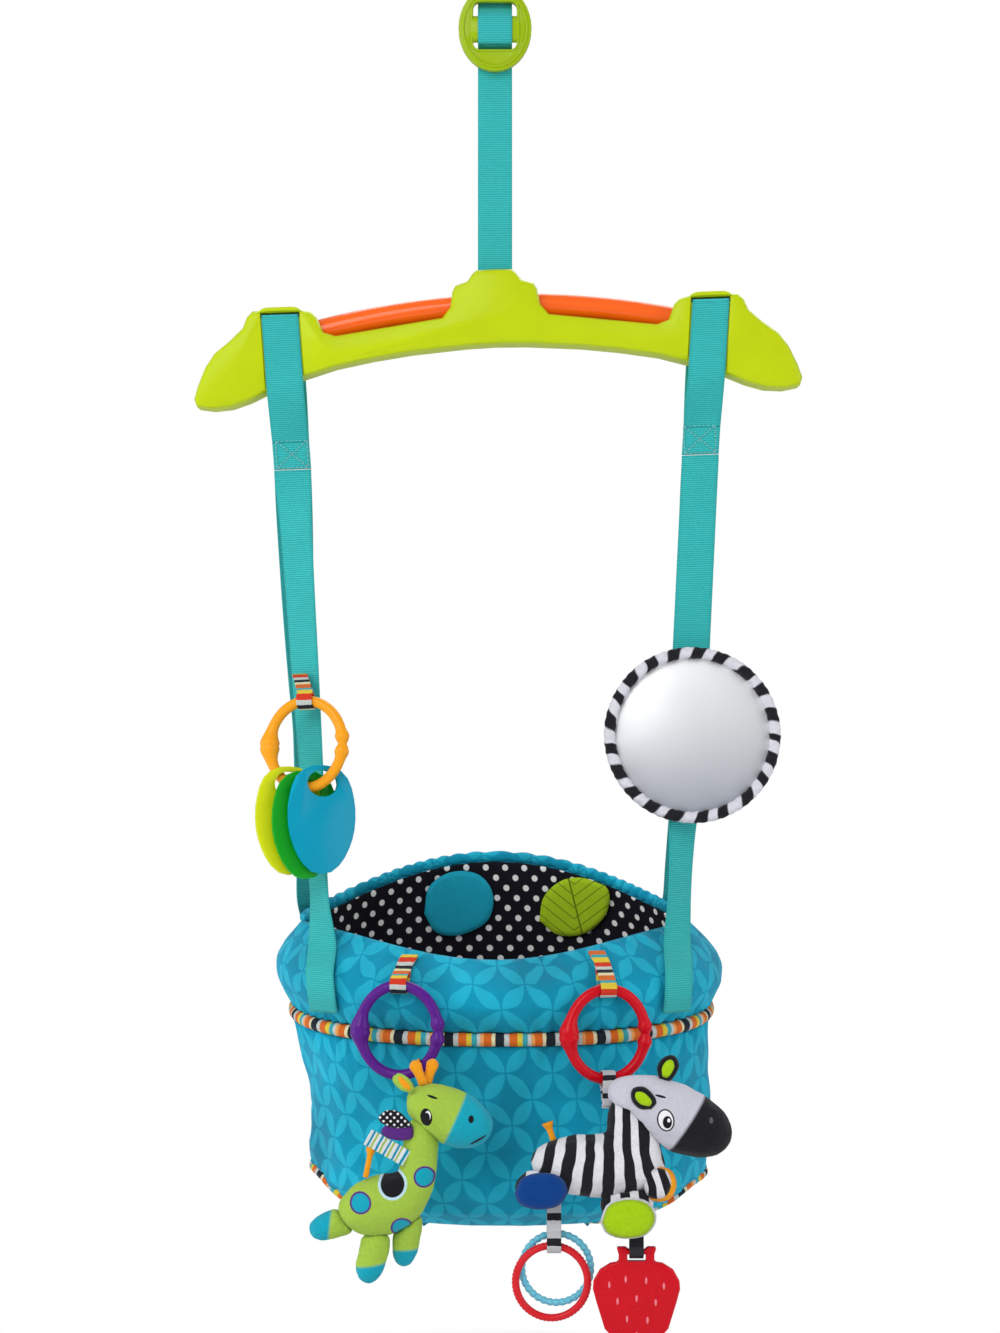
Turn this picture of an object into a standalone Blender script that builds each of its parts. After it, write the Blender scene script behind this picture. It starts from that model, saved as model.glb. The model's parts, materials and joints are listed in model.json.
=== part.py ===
"""Baby doorway jumper: a door clamp, a bounce spring, adjustable webbing, a cross-beam and a fabric seat with toys.

Metres, +Z up, +X to the right, the child faces -Y. The origin is the middle of the door clamp's grip.
Every moving group has an empty on its joint's axis, and its pieces are children of that empty.
"""

import math

import bmesh
import bpy
import numpy as np
from mathutils import Matrix, Vector

RIGHT = Vector((1, 0, 0))
BACK = Vector((0, 1, 0))
UP = Vector((0, 0, 1))
OBJECT_NAME = "baby_doorway_jumper"

# Clearances and overruns that the whole object shares
GAP = 0.0003
HINGE_GAP = 0.00026
OVERRUN = 0.004
WELD = 0.00001

# Door clamp
GRIP_WIDTH = 0.120
PAD_THICKNESS = 0.008
PAD_WIDTH = 0.052
PAD_HEIGHT = 0.044
CLAMP_DROP = 0.140
ARM_THICKNESS = 0.010
ARM_WIDTH = 0.040
ARM_ROUTE_SHARES = [(0.0, -1.0), (0.20, -0.965), (0.45, -0.90), (0.76, -0.765), (0.95, -0.56), (1.0, -0.32), (1.0, 0.17)]
PIN_RADIUS = 0.004
PIN_HEAD_RADIUS = 0.0065
PIN_HEAD_LENGTH = 0.002
KNUCKLE_RADIUS = 0.0095
KNUCKLE_CLEARANCE = 0.002
WEB_REACH_SHARE = 1.3
WEB_LIE = math.radians(17)
ARM_OPENING = math.radians(18)
KNUCKLE_LENGTH = 0.0057
TORSION_WIRE_RADIUS = 0.0009
TORSION_TURNS = 4
TORSION_LEG = 0.016
TORSION_LEG_DROP = 0.0005
TORSION_PITCH_SHARE = 1.95

# Yoke and swivel
YOKE_DROP = 0.034
YOKE_SHEET = 0.004
YOKE_DEPTH = 0.022
STUD_RADIUS = 0.005
NUT_RADIUS = 0.009
NUT_HEIGHT = 0.006

# Bounce spring and its caps
CAP_RADIUS = 0.0225
CAP_HEIGHT = 0.012
CAP_EDGE = 0.0015
SPIGOT_RADIUS = 0.0140
SPIGOT_HEIGHT = 0.012
SPRING_LENGTH = 0.175
SPRING_RADIUS = 0.0178
SPRING_WIRE_RADIUS = 0.0020
SPRING_TURNS = 18
TETHER_RADIUS = 0.002
TETHER_WAVES = 3
TETHER_SWAY = 0.008

# Webbing
WEB_THICKNESS = 0.0016
HANGER_WIDTH = 0.0275
SIDE_WIDTH = 0.0288
BAR_RADIUS = 0.003
EAR_THICKNESS = 0.005
EAR_DEPTH = 0.016
EAR_DROP = 0.021
EAR_FOOT = 0.006

# Strap adjuster
RING_DROP = 0.5007
RING_WIDTH = 0.057
RING_HEIGHT = 0.067
RING_DEPTH = 0.009
RING_ROUNDING = 0.003
OPENING_WIDTH = 0.034
OPENING_HEIGHT = 0.037
OPENING_LIFT = 0.0019
OPENING_CORNER = 0.005
RING_BAR_HALF_HEIGHT = 0.0105
RING_BAR_HALF_DEPTH = 0.004
RING_BAR_FORWARD = 0.002

# Cross-beam, in its own frame with the origin at the hub
HUB_DROP = 0.7121
BEAM_TILT = math.radians(2.1)
BEAM_HALF_LENGTH = 0.236
BEAM_FALL = 0.0784
BEAM_DEPTH = 0.040
BEAM_WALL = 0.003
BEAM_ROUNDING = 0.005
BEAM_OUTLINE_SHARES = [
    (0.0, 0.283), (0.059, 0.278), (0.073, 0.239), (0.089, 0.171), (0.129, 0.133), (0.139, 0.077),
    (0.148, -0.079), (0.175, -0.179), (0.529, -0.319), (0.568, -0.278), (0.588, -0.129), (0.606, -0.074),
    (0.648, -0.042), (0.797, -0.045), (0.817, -0.102), (0.832, -0.209), (0.877, -0.333), (0.927, -0.448),
    (0.959, -0.582), (0.986, -0.765), (1.0, -0.895), (0.991, -0.974), (0.941, -1.0), (0.880, -0.986),
    (0.819, -0.929), (0.751, -0.837), (0.633, -0.712), (0.532, -0.624), (0.406, -0.557), (0.281, -0.508),
    (0.099, -0.466), (0.0, -0.458),
]
POCKET_OUTLINE_SHARES = [
    (0.0, -0.217), (0.169, -0.230), (0.525, -0.364), (0.593, -0.420), (0.636, -0.190), (0.788, -0.190),
    (0.822, -0.290), (0.869, -0.383), (0.911, -0.497), (0.941, -0.625), (0.966, -0.778), (0.972, -0.89),
    (0.941, -0.945), (0.881, -0.935), (0.826, -0.880), (0.754, -0.784), (0.636, -0.663), (0.534, -0.574),
    (0.407, -0.510), (0.280, -0.459), (0.097, -0.421), (0.0, -0.415),
]
GRIP_RADIUS = 0.0093
GRIP_ARCH_FALL = 0.0166
GRIP_TOP_DROP = 0.0043
GRIP_LENGTH_SHARE = 0.60593
HUB_PIN_LIFT = 0.0125
HUB_PIN_HALF_LENGTH = 0.0178
HUB_SLOT_DEPTH = 0.0165
HUB_SLOT_FLOOR = 0.0062
SLOT_X_SHARE = 0.70763
SLOT_FLOOR_DROP = 0.0095
SLOT_HEIGHT = 0.0040
GROOVE_DEPTH = 0.0021
SLOT_SIDE_CLEARANCE = 0.0008
STRAP_LEAVES_SHARE = 0.885
SWING_DROP = 0.1265
LOOP_FOOT_SHARES = {"left": -0.68856, "right": 0.65890}
BOX_STITCH_LENGTH = 0.0235

# Seat
RIM_DROP = 1.199
RIM_BACK_RISE = 0.0410
RIM_BACK_POWER = 1.2
RIM_FRONT_FALL = 0.0229
RIM_FRONT_POWER = 2.0
WAIST_DRIFT = 0.005
SEAT_SETBACK = 0.026
WAIST_DROP = 1.2650
WAIST_TILT = 0.0135
SEAT_BOTTOM_DROP = 1.4330
RIM_HALF_WIDTH = 0.152
RIM_HALF_DEPTH = 0.108
WAIST_HALF_WIDTH = 0.163
WAIST_HALF_DEPTH = 0.123
COLLAR_BULGE = 0.018
COLLAR_THICKNESS = 0.0065
PANEL_THICKNESS = 0.003
LINING_THICKNESS = 0.002
LINING_GAP = 0.001
SEAT_SQUARENESS = 2.4
PANEL_SHARES = [(0.0, 1.0), (0.2, 0.985), (0.42, 0.957), (0.6, 0.966), (0.75, 0.945), (0.86, 0.87), (0.94, 0.70), (0.985, 0.40)]
PANEL_DRIFTS = (0.005, 0.0075, 0.0120, 0.0104, 0.0104, 0.010, 0.009, 0.008)
PIPING_RADIUS = 0.0052
PIPING_INSET = 0.001
BINDING_RADIUS = 0.0042
BINDING_START = math.radians(-8)
LEG_RADIUS = 0.052
LEG_CENTRE = (0.087, -0.010, -1.385)
LEG_AXIS = (0.62, -0.18, -0.76)
LEG_PIPING_RADIUS = 0.0035
LINING_ROWS = (2, 4, 5, 6, 7)
SEAT_COLUMNS = 36
COLLAR_ROWS = 5

# Seat straps
STRAP_LANDING_SHARES = {
    ("left", -1): (-0.82778, -0.77801, -0.76917, -0.79854), ("right", -1): (0.86904, 0.793, 0.77488, 0.79439),
    ("left", 1): (-0.93421, -0.84717, -0.84623, -0.87578), ("right", 1): (0.90789, 0.80683, 0.79201, 0.80567),
}
STRAP_COLLAR_SHARES = (0.12, 0.40, 0.65, 0.88)
STRAP_STAND_OFF = 0.0030
REAR_RIM_STAND_OFF = 0.0080
STRAP_STEPS = 12
FRONT_LEFT_TURN_SHARES = [(0.0, 0), (0.1, 28), (0.26, 36), (0.44, 41), (0.6, 47), (0.85, 58), (0.93, 57)]
FRONT_RIGHT_TURN_SHARES = [(0.0, 0), (0.668, 0), (0.76, 42), (0.88, 53)]
REAR_TURN_SHARES = [(0.0, 0), (0.15, 20), (0.6, 62)]

# Ribbon tabs and toy links
RIBBON_THICKNESS = 0.0011
TAB_WIDTH = 0.0125
LINK_HALF_WIDTH = 0.0295
LINK_HALF_HEIGHT = 0.0335
LINK_ROD_RADIUS = 0.0041
LINK_POINTS = 32
BOSS_SWELL = 1.0
CLASP_SWELL = 0.40
BOSS_ANGLE_WIDTH = 0.26
CLASP_ANGLE_WIDTH = 0.10
CLASP_ANGLES = (0.16, -0.20)
LINK_SPOTS = {
    "purple": {"x": -0.0716, "z": -1.2700, "turn": math.radians(8), "stand_off": 0.0075, "tab_lean": 0.0075},
    "red": {"x": 0.0842, "z": -1.2731, "turn": math.radians(-13), "stand_off": 0.0075, "tab_lean": -0.0075},
}
ORANGE_SPOT = {"x": -0.1440, "z": -1.0575, "turn": math.radians(17), "forward": 0.0260}
ORANGE_TAB_RISE = 0.020
TAB_STAND_OFF = 0.0058
TAB_COLLAR_SHARES = (0.2, 0.1, 0.03)

# Teething discs on the orange link, measured from the hole's centre
DISC_HALF_WIDTH = 0.027
DISC_FALL = 0.0695
DISC_THICKNESS = 0.0032
DISC_TURN = math.radians(24)
DISC_HOLE_WIDTH = 0.0247
DISC_HOLE_HEIGHT = 0.0205
DISC_SPACING = 0.0132
DISC_HOLE_DROPS = (0.0005, 0.0047, 0.0005)
DISC_OUTLINE_SHARES = [
    (0.0, 0.195), (0.42, 0.170), (0.78, 0.05), (0.96, -0.17), (1.0, -0.38), (0.92, -0.60), (0.66, -0.83),
    (0.32, -0.968), (0.0, -1.0),
]

# Toy mirror on the right strap
MIRROR_Z = -1.0525
MIRROR_RADIUS = 0.0680
MIRROR_RIM_WIDTH = 0.0085
GLASS_THICKNESS = 0.002
MIRROR_DEPTH = 0.013
MIRROR_BACK_WALL = 0.003
MIRROR_STAND_OFF = 0.0108
MIRROR_LOOP_HEIGHT = 0.036
MIRROR_LOOP_WALL = 0.0016
MIRROR_LOOP_CLEARANCE = 0.0007
MIRROR_SIDE_SHIFT = 0.003

# Soft toys, whose heads hang clear of the links above them
GIRAFFE_LINK_CLEARANCE = 0.00656
ZEBRA_LINK_CLEARANCE = 0.01059
PLUSH_RINGS = 7
PLUSH_SIDES = 10
SEAM_GAP = 0.0004
GIRAFFE_BLOBS = {
    "rump": {"spine": [(-0.116, -1.401), (-0.085, -1.396), (-0.050, -1.384)], "half": [0.017, 0.023, 0.018], "depth": 0.022},
    "neck": {"spine": [(-0.062, -1.402), (-0.056, -1.365), (-0.053, -1.326)], "half": [0.014, 0.014, 0.0125], "depth": 0.014},
}
GIRAFFE_HEAD = {"spine": [(-0.064, -1.3125), (-0.040, -1.327), (-0.002, -1.3425)], "half": [0.0155, 0.021, 0.0195], "depth": 0.020}
GIRAFFE_LEGS = {
    "rear": {"spine": [(-0.096, -1.404), (-0.118, -1.409), (-0.137, -1.4165)], "half": [0.012, 0.011, 0.0105], "depth": 0.012, "lean": 0.000},
    "middle": {"spine": [(-0.086, -1.408), (-0.089, -1.428), (-0.0955, -1.4525)], "half": [0.013, 0.0115, 0.0115], "depth": 0.0115, "lean": -0.006},
    "front": {"spine": [(-0.062, -1.396), (-0.065, -1.420), (-0.0685, -1.4425)], "half": [0.013, 0.0105, 0.0100], "depth": 0.0105, "lean": 0.007},
}
ZEBRA_BLOBS = {
    "rump": {"spine": [(0.026, -1.362), (0.070, -1.366), (0.126, -1.365)], "half": [0.019, 0.0235, 0.023], "depth": 0.024},
    "neck": {"spine": [(0.110, -1.372), (0.103, -1.345), (0.090, -1.316)], "half": [0.019, 0.018, 0.0145], "depth": 0.0165},
}
ZEBRA_HEAD = {"spine": [(0.083, -1.3075), (0.122, -1.325), (0.174, -1.3490)], "half": [0.018, 0.0245, 0.024], "depth": 0.021}
ZEBRA_LEGS = {
    "rear": {"spine": [(0.0575, -1.374), (0.036, -1.379), (0.0141, -1.3815)], "half": [0.013, 0.0145, 0.0125], "depth": 0.014, "lean": -0.014},
    "front": {"spine": [(0.0965, -1.372), (0.097, -1.392), (0.0985, -1.4145)], "half": [0.018, 0.0205, 0.0155], "depth": 0.015, "lean": -0.015},
}
PLUSH_ROUNDNESS = 3.0
SLING_WIDTH = 0.010
SLING_SLACK = 0.0022
GIRAFFE_LOOP_SHARE = 0.7

# What hangs from the zebra
RIBBON_WIDTH = 0.0105
RINGS_X = 0.0419
RED_RING_Z = -1.4506
RED_RING_RADIUS = 0.0265
RED_ROD_RADIUS = 0.0029
AQUA_RING_Z = -1.4416
AQUA_RING_RADIUS = 0.0254
AQUA_ROD_RADIUS = 0.0027
RINGS_APART = 0.0062
AQUA_SIDE_SHIFT = 0.0035
BERRY_X = 0.1040
BERRY_BAR_Z = -1.4270
BERRY_HALF_WIDTH = 0.0320
BERRY_FALL = 0.0678
BERRY_THICKNESS = 0.007
BERRY_HOLE_WIDTH = 0.0135
BERRY_HOLE_HEIGHT = 0.0050
BERRY_BAR_HEIGHT = 0.0036
BERRY_FORWARD = 0.0116
BERRY_EDGE = 0.0015
BERRY_OUTLINE_SHARES = [
    (0.0, 0.027), (0.19, 0.027), (0.25, 0.052), (0.465, 0.052), (0.41, -0.03), (0.41, -0.11), (0.60, -0.125),
    (0.84, -0.195), (0.985, -0.316), (1.0, -0.405), (0.92, -0.545), (0.73, -0.834), (0.48, -0.965), (0.0, -1.0),
]

# Places that follow from the sizes above
GRIP_HALF_LENGTH = BEAM_HALF_LENGTH * GRIP_LENGTH_SHARE
SLOT_X = BEAM_HALF_LENGTH * SLOT_X_SHARE
LOOP_FOOT_X = {side: BEAM_HALF_LENGTH * share for side, share in LOOP_FOOT_SHARES.items()}
GLASS_RADIUS = MIRROR_RADIUS - MIRROR_RIM_WIDTH
PIN_Z = -CLAMP_DROP
BRIDGE_TOP = PIN_Z - YOKE_DROP
BRIDGE_BOTTOM = BRIDGE_TOP - YOKE_SHEET
CAP_TOP = BRIDGE_BOTTOM - GAP
CAP_BOTTOM = CAP_TOP - CAP_HEIGHT
SPRING_TOP = CAP_BOTTOM - GAP
SPRING_BOTTOM = SPRING_TOP - SPRING_LENGTH
LOWER_CAP_TOP = SPRING_BOTTOM - GAP
LOWER_CAP_BOTTOM = LOWER_CAP_TOP - CAP_HEIGHT
BAR_Z = LOWER_CAP_BOTTOM - EAR_DROP
RING_Z = -RING_DROP
OPENING_Z = RING_Z + OPENING_LIFT
HUB = Vector((0, 0, -HUB_DROP))
BEAM_MATRIX = Matrix.Translation(HUB) @ Matrix.Rotation(-BEAM_TILT, 4, "Y")
SWING_AXIS = BEAM_MATRIX.to_3x3() @ RIGHT


def new_collection(name):
    collection = bpy.data.collections.new(name)
    bpy.context.scene.collection.children.link(collection)
    return collection


for old in list(bpy.data.objects):
    bpy.data.objects.remove(old, do_unlink=True)
PARTS = new_collection(OBJECT_NAME)
CUTTERS = new_collection("cutters")
EMPTIES = {}


def material(name, colour, roughness, metallic=0.0):
    made = bpy.data.materials.new(name)
    made.use_nodes = True
    shader = made.node_tree.nodes["Principled BSDF"]
    shader.inputs["Base Color"].default_value = (*colour, 1.0)
    shader.inputs["Roughness"].default_value = roughness
    shader.inputs["Metallic"].default_value = metallic
    made.diffuse_color = (*colour, 1.0)
    return made


LIME = material("lime_plastic", (0.53, 0.67, 0.01), 0.35)
OLIVE = material("adjuster_plastic", (0.37, 0.52, 0.01), 0.35)
ORANGE = material("orange_grip", (1.0, 0.15, 0.01), 0.4)
WEBBING = material("turquoise_webbing", (0.05, 0.47, 0.50), 0.8)
SEAT_FABRIC = material("turquoise_print", (0.0, 0.30, 0.47), 0.85)
LINING = material("spotted_lining", (0.012, 0.010, 0.016), 0.9)
STRIPES = material("striped_ribbon", (0.80, 0.35, 0.08), 0.8)
STEEL = material("steel", (0.55, 0.56, 0.58), 0.3, 1.0)
GREY = material("grey_plastic", (0.20, 0.21, 0.22), 0.45)
RUBBER = material("black_rubber", (0.03, 0.03, 0.03), 0.9)
LINK_ORANGE = material("orange_plastic", (0.90, 0.36, 0.01), 0.35)
LINK_PURPLE = material("purple_plastic", (0.11, 0.01, 0.27), 0.35)
RED = material("red_plastic", (0.65, 0.005, 0.015), 0.35)
YELLOW = material("yellow_plastic", (0.65, 0.71, 0.01), 0.35)
GREEN = material("green_plastic", (0.01, 0.35, 0.015), 0.35)
BLUE = material("blue_plastic", (0.0, 0.31, 0.47), 0.35)
AQUA = material("aqua_plastic", (0.11, 0.57, 0.73), 0.25)
MIRROR_GLASS = material("mirror_film", (0.85, 0.86, 0.88), 0.05, 1.0)
PLUSH_LIME = material("lime_plush", (0.39, 0.58, 0.07), 0.95)
PLUSH_WHITE = material("white_plush", (0.79, 0.79, 0.82), 0.95)


def smooth_shaded(obj):
    obj.data.shade_smooth()
    obj.data.set_sharp_from_angle(angle=math.radians(40))
    return obj


def link(name, data, finish, collection=PARTS):
    obj = bpy.data.objects.new(name, data)
    collection.objects.link(obj)
    if finish:
        data.materials.append(finish)
    return obj


def from_bmesh(name, bm, finish):
    bmesh.ops.recalc_face_normals(bm, faces=bm.faces)
    mesh = bpy.data.meshes.new(name)
    bm.to_mesh(mesh)
    bm.free()
    return smooth_shaded(link(name, mesh, finish))


def loft(name, rings, finish, closed=False):
    """A skin through rings of points. A ring of one point is a pole, and flat rings close the two ends."""
    bm = bmesh.new()
    rows = [[bm.verts.new(point) for point in ring] for ring in rings]
    pairs = list(zip(rows, rows[1:] + rows[:1])) if closed else list(zip(rows, rows[1:]))
    for first, second in pairs:
        count = max(len(first), len(second))
        for i in range(count):
            j = (i + 1) % count
            if len(first) == 1:
                bm.faces.new((first[0], second[i], second[j]))
            elif len(second) == 1:
                bm.faces.new((first[i], second[0], first[j]))
            else:
                bm.faces.new((first[i], second[i], second[j], first[j]))
    if not closed:
        for row in (rows[0], rows[-1]):
            if len(row) > 1:
                bm.faces.new(row)
    return from_bmesh(name, bm, finish)


def smooth_path(points, count):
    """Points spread evenly along a smooth curve through the given ones, in any number of dimensions."""
    points = np.array(points, float)
    padded = np.vstack([2 * points[0] - points[1], points, 2 * points[-1] - points[-2]])
    fine = []
    for i in range(1, len(padded) - 2):
        before, start, end, after = padded[i - 1 : i + 3]
        for t in np.linspace(0, 1, 16, endpoint=False):
            fine.append(
                start
                + 0.5 * t * (end - before)
                + t * t * (before - 2.5 * start + 2 * end - 0.5 * after)
                + t**3 * (1.5 * (start - end) + 0.5 * (after - before))
            )
    fine.append(padded[-2])
    fine = np.array(fine)
    steps = np.concatenate([[0], np.cumsum(np.linalg.norm(np.diff(fine, axis=0), axis=1))])
    even = np.linspace(0, steps[-1], count)
    return np.array([np.interp(even, steps, column) for column in fine.T]).T


def webbing(name, centres, width, thickness, finish, sides=None):
    """A flat strap along the centres. Each side vector says which way its width lies."""
    centres = [Vector(c) for c in centres]
    sides = [Vector(s) for s in sides] if sides is not None else [RIGHT] * len(centres)
    rings = []
    for i, (centre, side) in enumerate(zip(centres, sides)):
        along = (centres[min(i + 1, len(centres) - 1)] - centres[max(i - 1, 0)]).normalized()
        across = side.normalized() * (width / 2)
        normal = along.cross(across).normalized() * (thickness / 2)
        rings.append([centre - across - normal, centre + across - normal, centre + across + normal, centre - across + normal])
    bm = bmesh.new()
    rows = [[bm.verts.new(point) for point in ring] for ring in rings]
    for first, second in zip(rows, rows[1:]):
        # Both wide faces are split along the same diagonal, so a twisted strap keeps its thickness
        bm.faces.new((first[0], second[0], second[1]))
        bm.faces.new((first[0], second[1], first[1]))
        bm.faces.new((first[2], second[2], first[3]))
        bm.faces.new((second[2], second[3], first[3]))
        for i, j in ((1, 2), (3, 0)):
            bm.faces.new((first[i], second[i], second[j], first[j]))
    for row in (rows[0], rows[-1]):
        bm.faces.new(row)
    return from_bmesh(name, bm, finish)


def tube(name, points, radius, finish, cyclic=False, radii=None, resolution=1):
    curve = bpy.data.curves.new(name, "CURVE")
    curve.dimensions = "3D"
    curve.bevel_depth = radius
    curve.bevel_resolution = resolution
    curve.use_fill_caps = True
    curve.twist_mode = "Z_UP" if cyclic else "MINIMUM"
    spline = curve.splines.new("POLY")
    spline.points.add(len(points) - 1)
    for i, point in enumerate(points):
        spline.points[i].co = (*point, 1)
        spline.points[i].radius = radii[i] if radii is not None else 1
    spline.use_cyclic_u = cyclic
    return link(name, curve, finish)


def as_mesh(obj):
    """The same object with its curve turned into a mesh whose caps are welded on."""
    name, finish, matrix = obj.name, obj.data.materials[0] if obj.data.materials else None, obj.matrix_world.copy()
    bpy.context.view_layer.update()
    mesh = bpy.data.meshes.new_from_object(obj.evaluated_get(bpy.context.evaluated_depsgraph_get()))
    bpy.data.objects.remove(obj, do_unlink=True)
    bm = bmesh.new()
    bm.from_mesh(mesh)
    bmesh.ops.remove_doubles(bm, verts=bm.verts, dist=WELD)
    bmesh.ops.recalc_face_normals(bm, faces=bm.faces)
    bm.to_mesh(mesh)
    bm.free()
    mesh.materials.clear()
    made = link(name, mesh, finish)
    made.matrix_world = matrix
    return smooth_shaded(made)


def plate(name, outline, thickness, finish):
    """A flat outline in X and Z, as thick as given along Y, about the plane y = 0."""
    curve = bpy.data.curves.new(name, "CURVE")
    curve.dimensions = "2D"
    curve.fill_mode = "BOTH"
    curve.extrude = thickness / 2
    spline = curve.splines.new("POLY")
    spline.points.add(len(outline) - 1)
    for i, (x, z) in enumerate(outline):
        spline.points[i].co = (x, z, 0, 1)
    spline.use_cyclic_u = True
    made = as_mesh(link(name, curve, finish))
    made.data.transform(Matrix.Rotation(math.pi / 2, 4, "X"))
    return made


def mirrored(half):
    """A closed outline from its right half, whose first and last points lie on the middle line."""
    return list(half) + [(-x, z) for x, z in reversed(half[1:-1])]


def ellipse(half_width, half_height, count):
    return [
        (half_width * math.cos(2 * math.pi * i / count), half_height * math.sin(2 * math.pi * i / count))
        for i in range(count)
    ]


def rounded_rectangle(width, height, corner, steps=4):
    points = []
    for quarter, (sx, sz) in enumerate(((1, 1), (-1, 1), (-1, -1), (1, -1))):
        centre = (sx * (width / 2 - corner), sz * (height / 2 - corner))
        for i in range(steps + 1):
            angle = math.pi / 2 * (quarter + i / steps)
            points.append((centre[0] + corner * math.cos(angle), centre[1] + corner * math.sin(angle)))
    return points


def cylinder(name, radius, start, end, finish=None, segments=20):
    """A round bar from one point to the other."""
    start, end = Vector(start), Vector(end)
    bm = bmesh.new()
    turn = UP.rotation_difference(end - start).to_matrix().to_4x4()
    bmesh.ops.create_cone(
        bm, cap_ends=True, segments=segments, radius1=radius, radius2=radius, depth=(end - start).length,
        matrix=Matrix.Translation((start + end) / 2) @ turn,
    )
    return from_bmesh(name, bm, finish)


def box(name, low, high, finish=None):
    low, high = Vector(low), Vector(high)
    bm = bmesh.new()
    size = high - low
    bmesh.ops.create_cube(bm, size=1, matrix=Matrix.Translation((low + high) / 2) @ Matrix.Diagonal((*size, 1)))
    return from_bmesh(name, bm, finish)


def turned(name, profile, finish, steps=24):
    """A profile of (radius, height) from the axis back to the axis, down its outer side, turned about Z."""
    mesh = bpy.data.meshes.new(name)
    points = [(radius, 0, height) for radius, height in profile]
    mesh.from_pydata(points, [(i, i + 1) for i in range(len(points) - 1)], [])
    obj = link(name, mesh, finish)
    screw = obj.modifiers.new("turn", "SCREW")
    screw.steps = steps
    screw.render_steps = steps
    screw.use_merge_vertices = True
    screw.merge_threshold = WELD
    screw.use_smooth_shade = True
    return obj


def as_cutter(obj):
    for collection in list(obj.users_collection):
        collection.objects.unlink(obj)
    CUTTERS.objects.link(obj)
    obj.hide_render = True
    obj.display_type = "WIRE"
    return obj


def combine(obj, other, operation="DIFFERENCE"):
    if other.name not in CUTTERS.objects:
        as_cutter(other)
    modifier = obj.modifiers.new(operation.lower(), "BOOLEAN")
    modifier.operation = operation
    modifier.object = other
    modifier.solver = "EXACT"
    return obj


def rounded(obj, width, segments=2, angle=40):
    modifier = obj.modifiers.new("round", "BEVEL")
    modifier.width = width
    modifier.segments = segments
    modifier.limit_method = "ANGLE"
    modifier.angle_limit = math.radians(angle)
    return obj


def group(name, matrix, parent=None):
    """An empty on a joint's axis, which carries the pieces that move together."""
    empty = bpy.data.objects.new("axis_" + name, None)
    PARTS.objects.link(empty)
    empty.matrix_world = matrix
    if parent:
        empty.parent = EMPTIES[parent][0]
        empty.matrix_parent_inverse = EMPTIES[parent][1].inverted()
    EMPTIES[name] = (empty, matrix.copy())
    return empty


def carry(name, *pieces, local=False):
    """Makes pieces children of a group. A local piece was made in the group's own frame."""
    empty, matrix = EMPTIES[name]
    for piece in pieces:
        piece.parent = empty
        piece.matrix_parent_inverse = Matrix.Identity(4) if local else matrix.inverted()


def least_gap(points, radius, skip):
    """The least distance between two stretches of one tube that are more than skip points apart."""
    points = np.array(points)
    apart = np.linalg.norm(points[:, None] - points[None], axis=2)
    index = np.arange(len(points))
    apart[np.abs(index[:, None] - index[None]) <= skip] = np.inf
    return apart.min() - 2 * radius


# Door clamp


def arm_outline(side):
    """Outline of one arm in Y and Z: a band of even thickness along its route, from the pin to the pad."""
    reach = GRIP_WIDTH / 2 + PAD_THICKNESS + GAP + ARM_THICKNESS / 2
    route = [(side * reach * along, CLAMP_DROP * down) for along, down in ARM_ROUTE_SHARES]
    line = smooth_path(route, 12)
    ahead = np.gradient(line, axis=0)
    ahead /= np.linalg.norm(ahead, axis=1)[:, None]
    normal = np.stack([-ahead[:, 1], ahead[:, 0]], axis=1) * (ARM_THICKNESS / 2)
    return [tuple(p) for p in np.vstack([line + normal, (line - normal)[::-1]])]


def pin_bar(name, radius, half_length, finish=None, centre_x=0.0):
    return cylinder(name, radius, (centre_x - half_length, 0, PIN_Z), (centre_x + half_length, 0, PIN_Z), finish)


def clamp_arm(name, side):
    """One arm. The front arm's knuckles are outside, and the rear arm's are between them and the spring."""
    arm = plate(name, arm_outline(side), ARM_WIDTH, LIME)
    arm.data.transform(Matrix.Rotation(math.pi / 2, 4, "Z"))
    half = ARM_WIDTH / 2
    inner_end = half - KNUCKLE_LENGTH
    middle_end = inner_end - GAP - KNUCKLE_LENGTH
    knuckle_room = KNUCKLE_RADIUS + KNUCKLE_CLEARANCE
    spans = [(inner_end, half)] if side < 0 else [(middle_end, inner_end - GAP)]
    combine(arm, pin_bar(name + "_room", knuckle_room, half + OVERRUN))
    for sign in (-1, 1):
        for low, high in spans:
            middle = sign * (low + high) / 2
            combine(arm, pin_bar(f"{name}_knuckle_{sign}", KNUCKLE_RADIUS, (high - low) / 2, None, middle), "UNION")
            web = box(
                f"{name}_web_{sign}",
                (min(sign * low, sign * high), min(0, side * knuckle_room * WEB_REACH_SHARE), PIN_Z - ARM_THICKNESS / 2),
                (max(sign * low, sign * high), max(0, side * knuckle_room * WEB_REACH_SHARE), PIN_Z + ARM_THICKNESS / 2),
            )
            at_pin = Matrix.Translation((0, 0, PIN_Z))
            web.data.transform(at_pin @ Matrix.Rotation(side * WEB_LIE, 4, "X") @ at_pin.inverted())
            combine(arm, web, "UNION")
    combine(arm, pin_bar(name + "_bore", PIN_RADIUS + GAP, half + OVERRUN))
    return arm


def clamp_pad(name, side):
    near, far = side * GRIP_WIDTH / 2, side * (GRIP_WIDTH / 2 + PAD_THICKNESS)
    pad = box(
        name, (-PAD_WIDTH / 2, min(near, far), -PAD_HEIGHT / 2), (PAD_WIDTH / 2, max(near, far), PAD_HEIGHT / 2), RUBBER
    )
    return rounded(pad, CAP_EDGE, 1)


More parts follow.
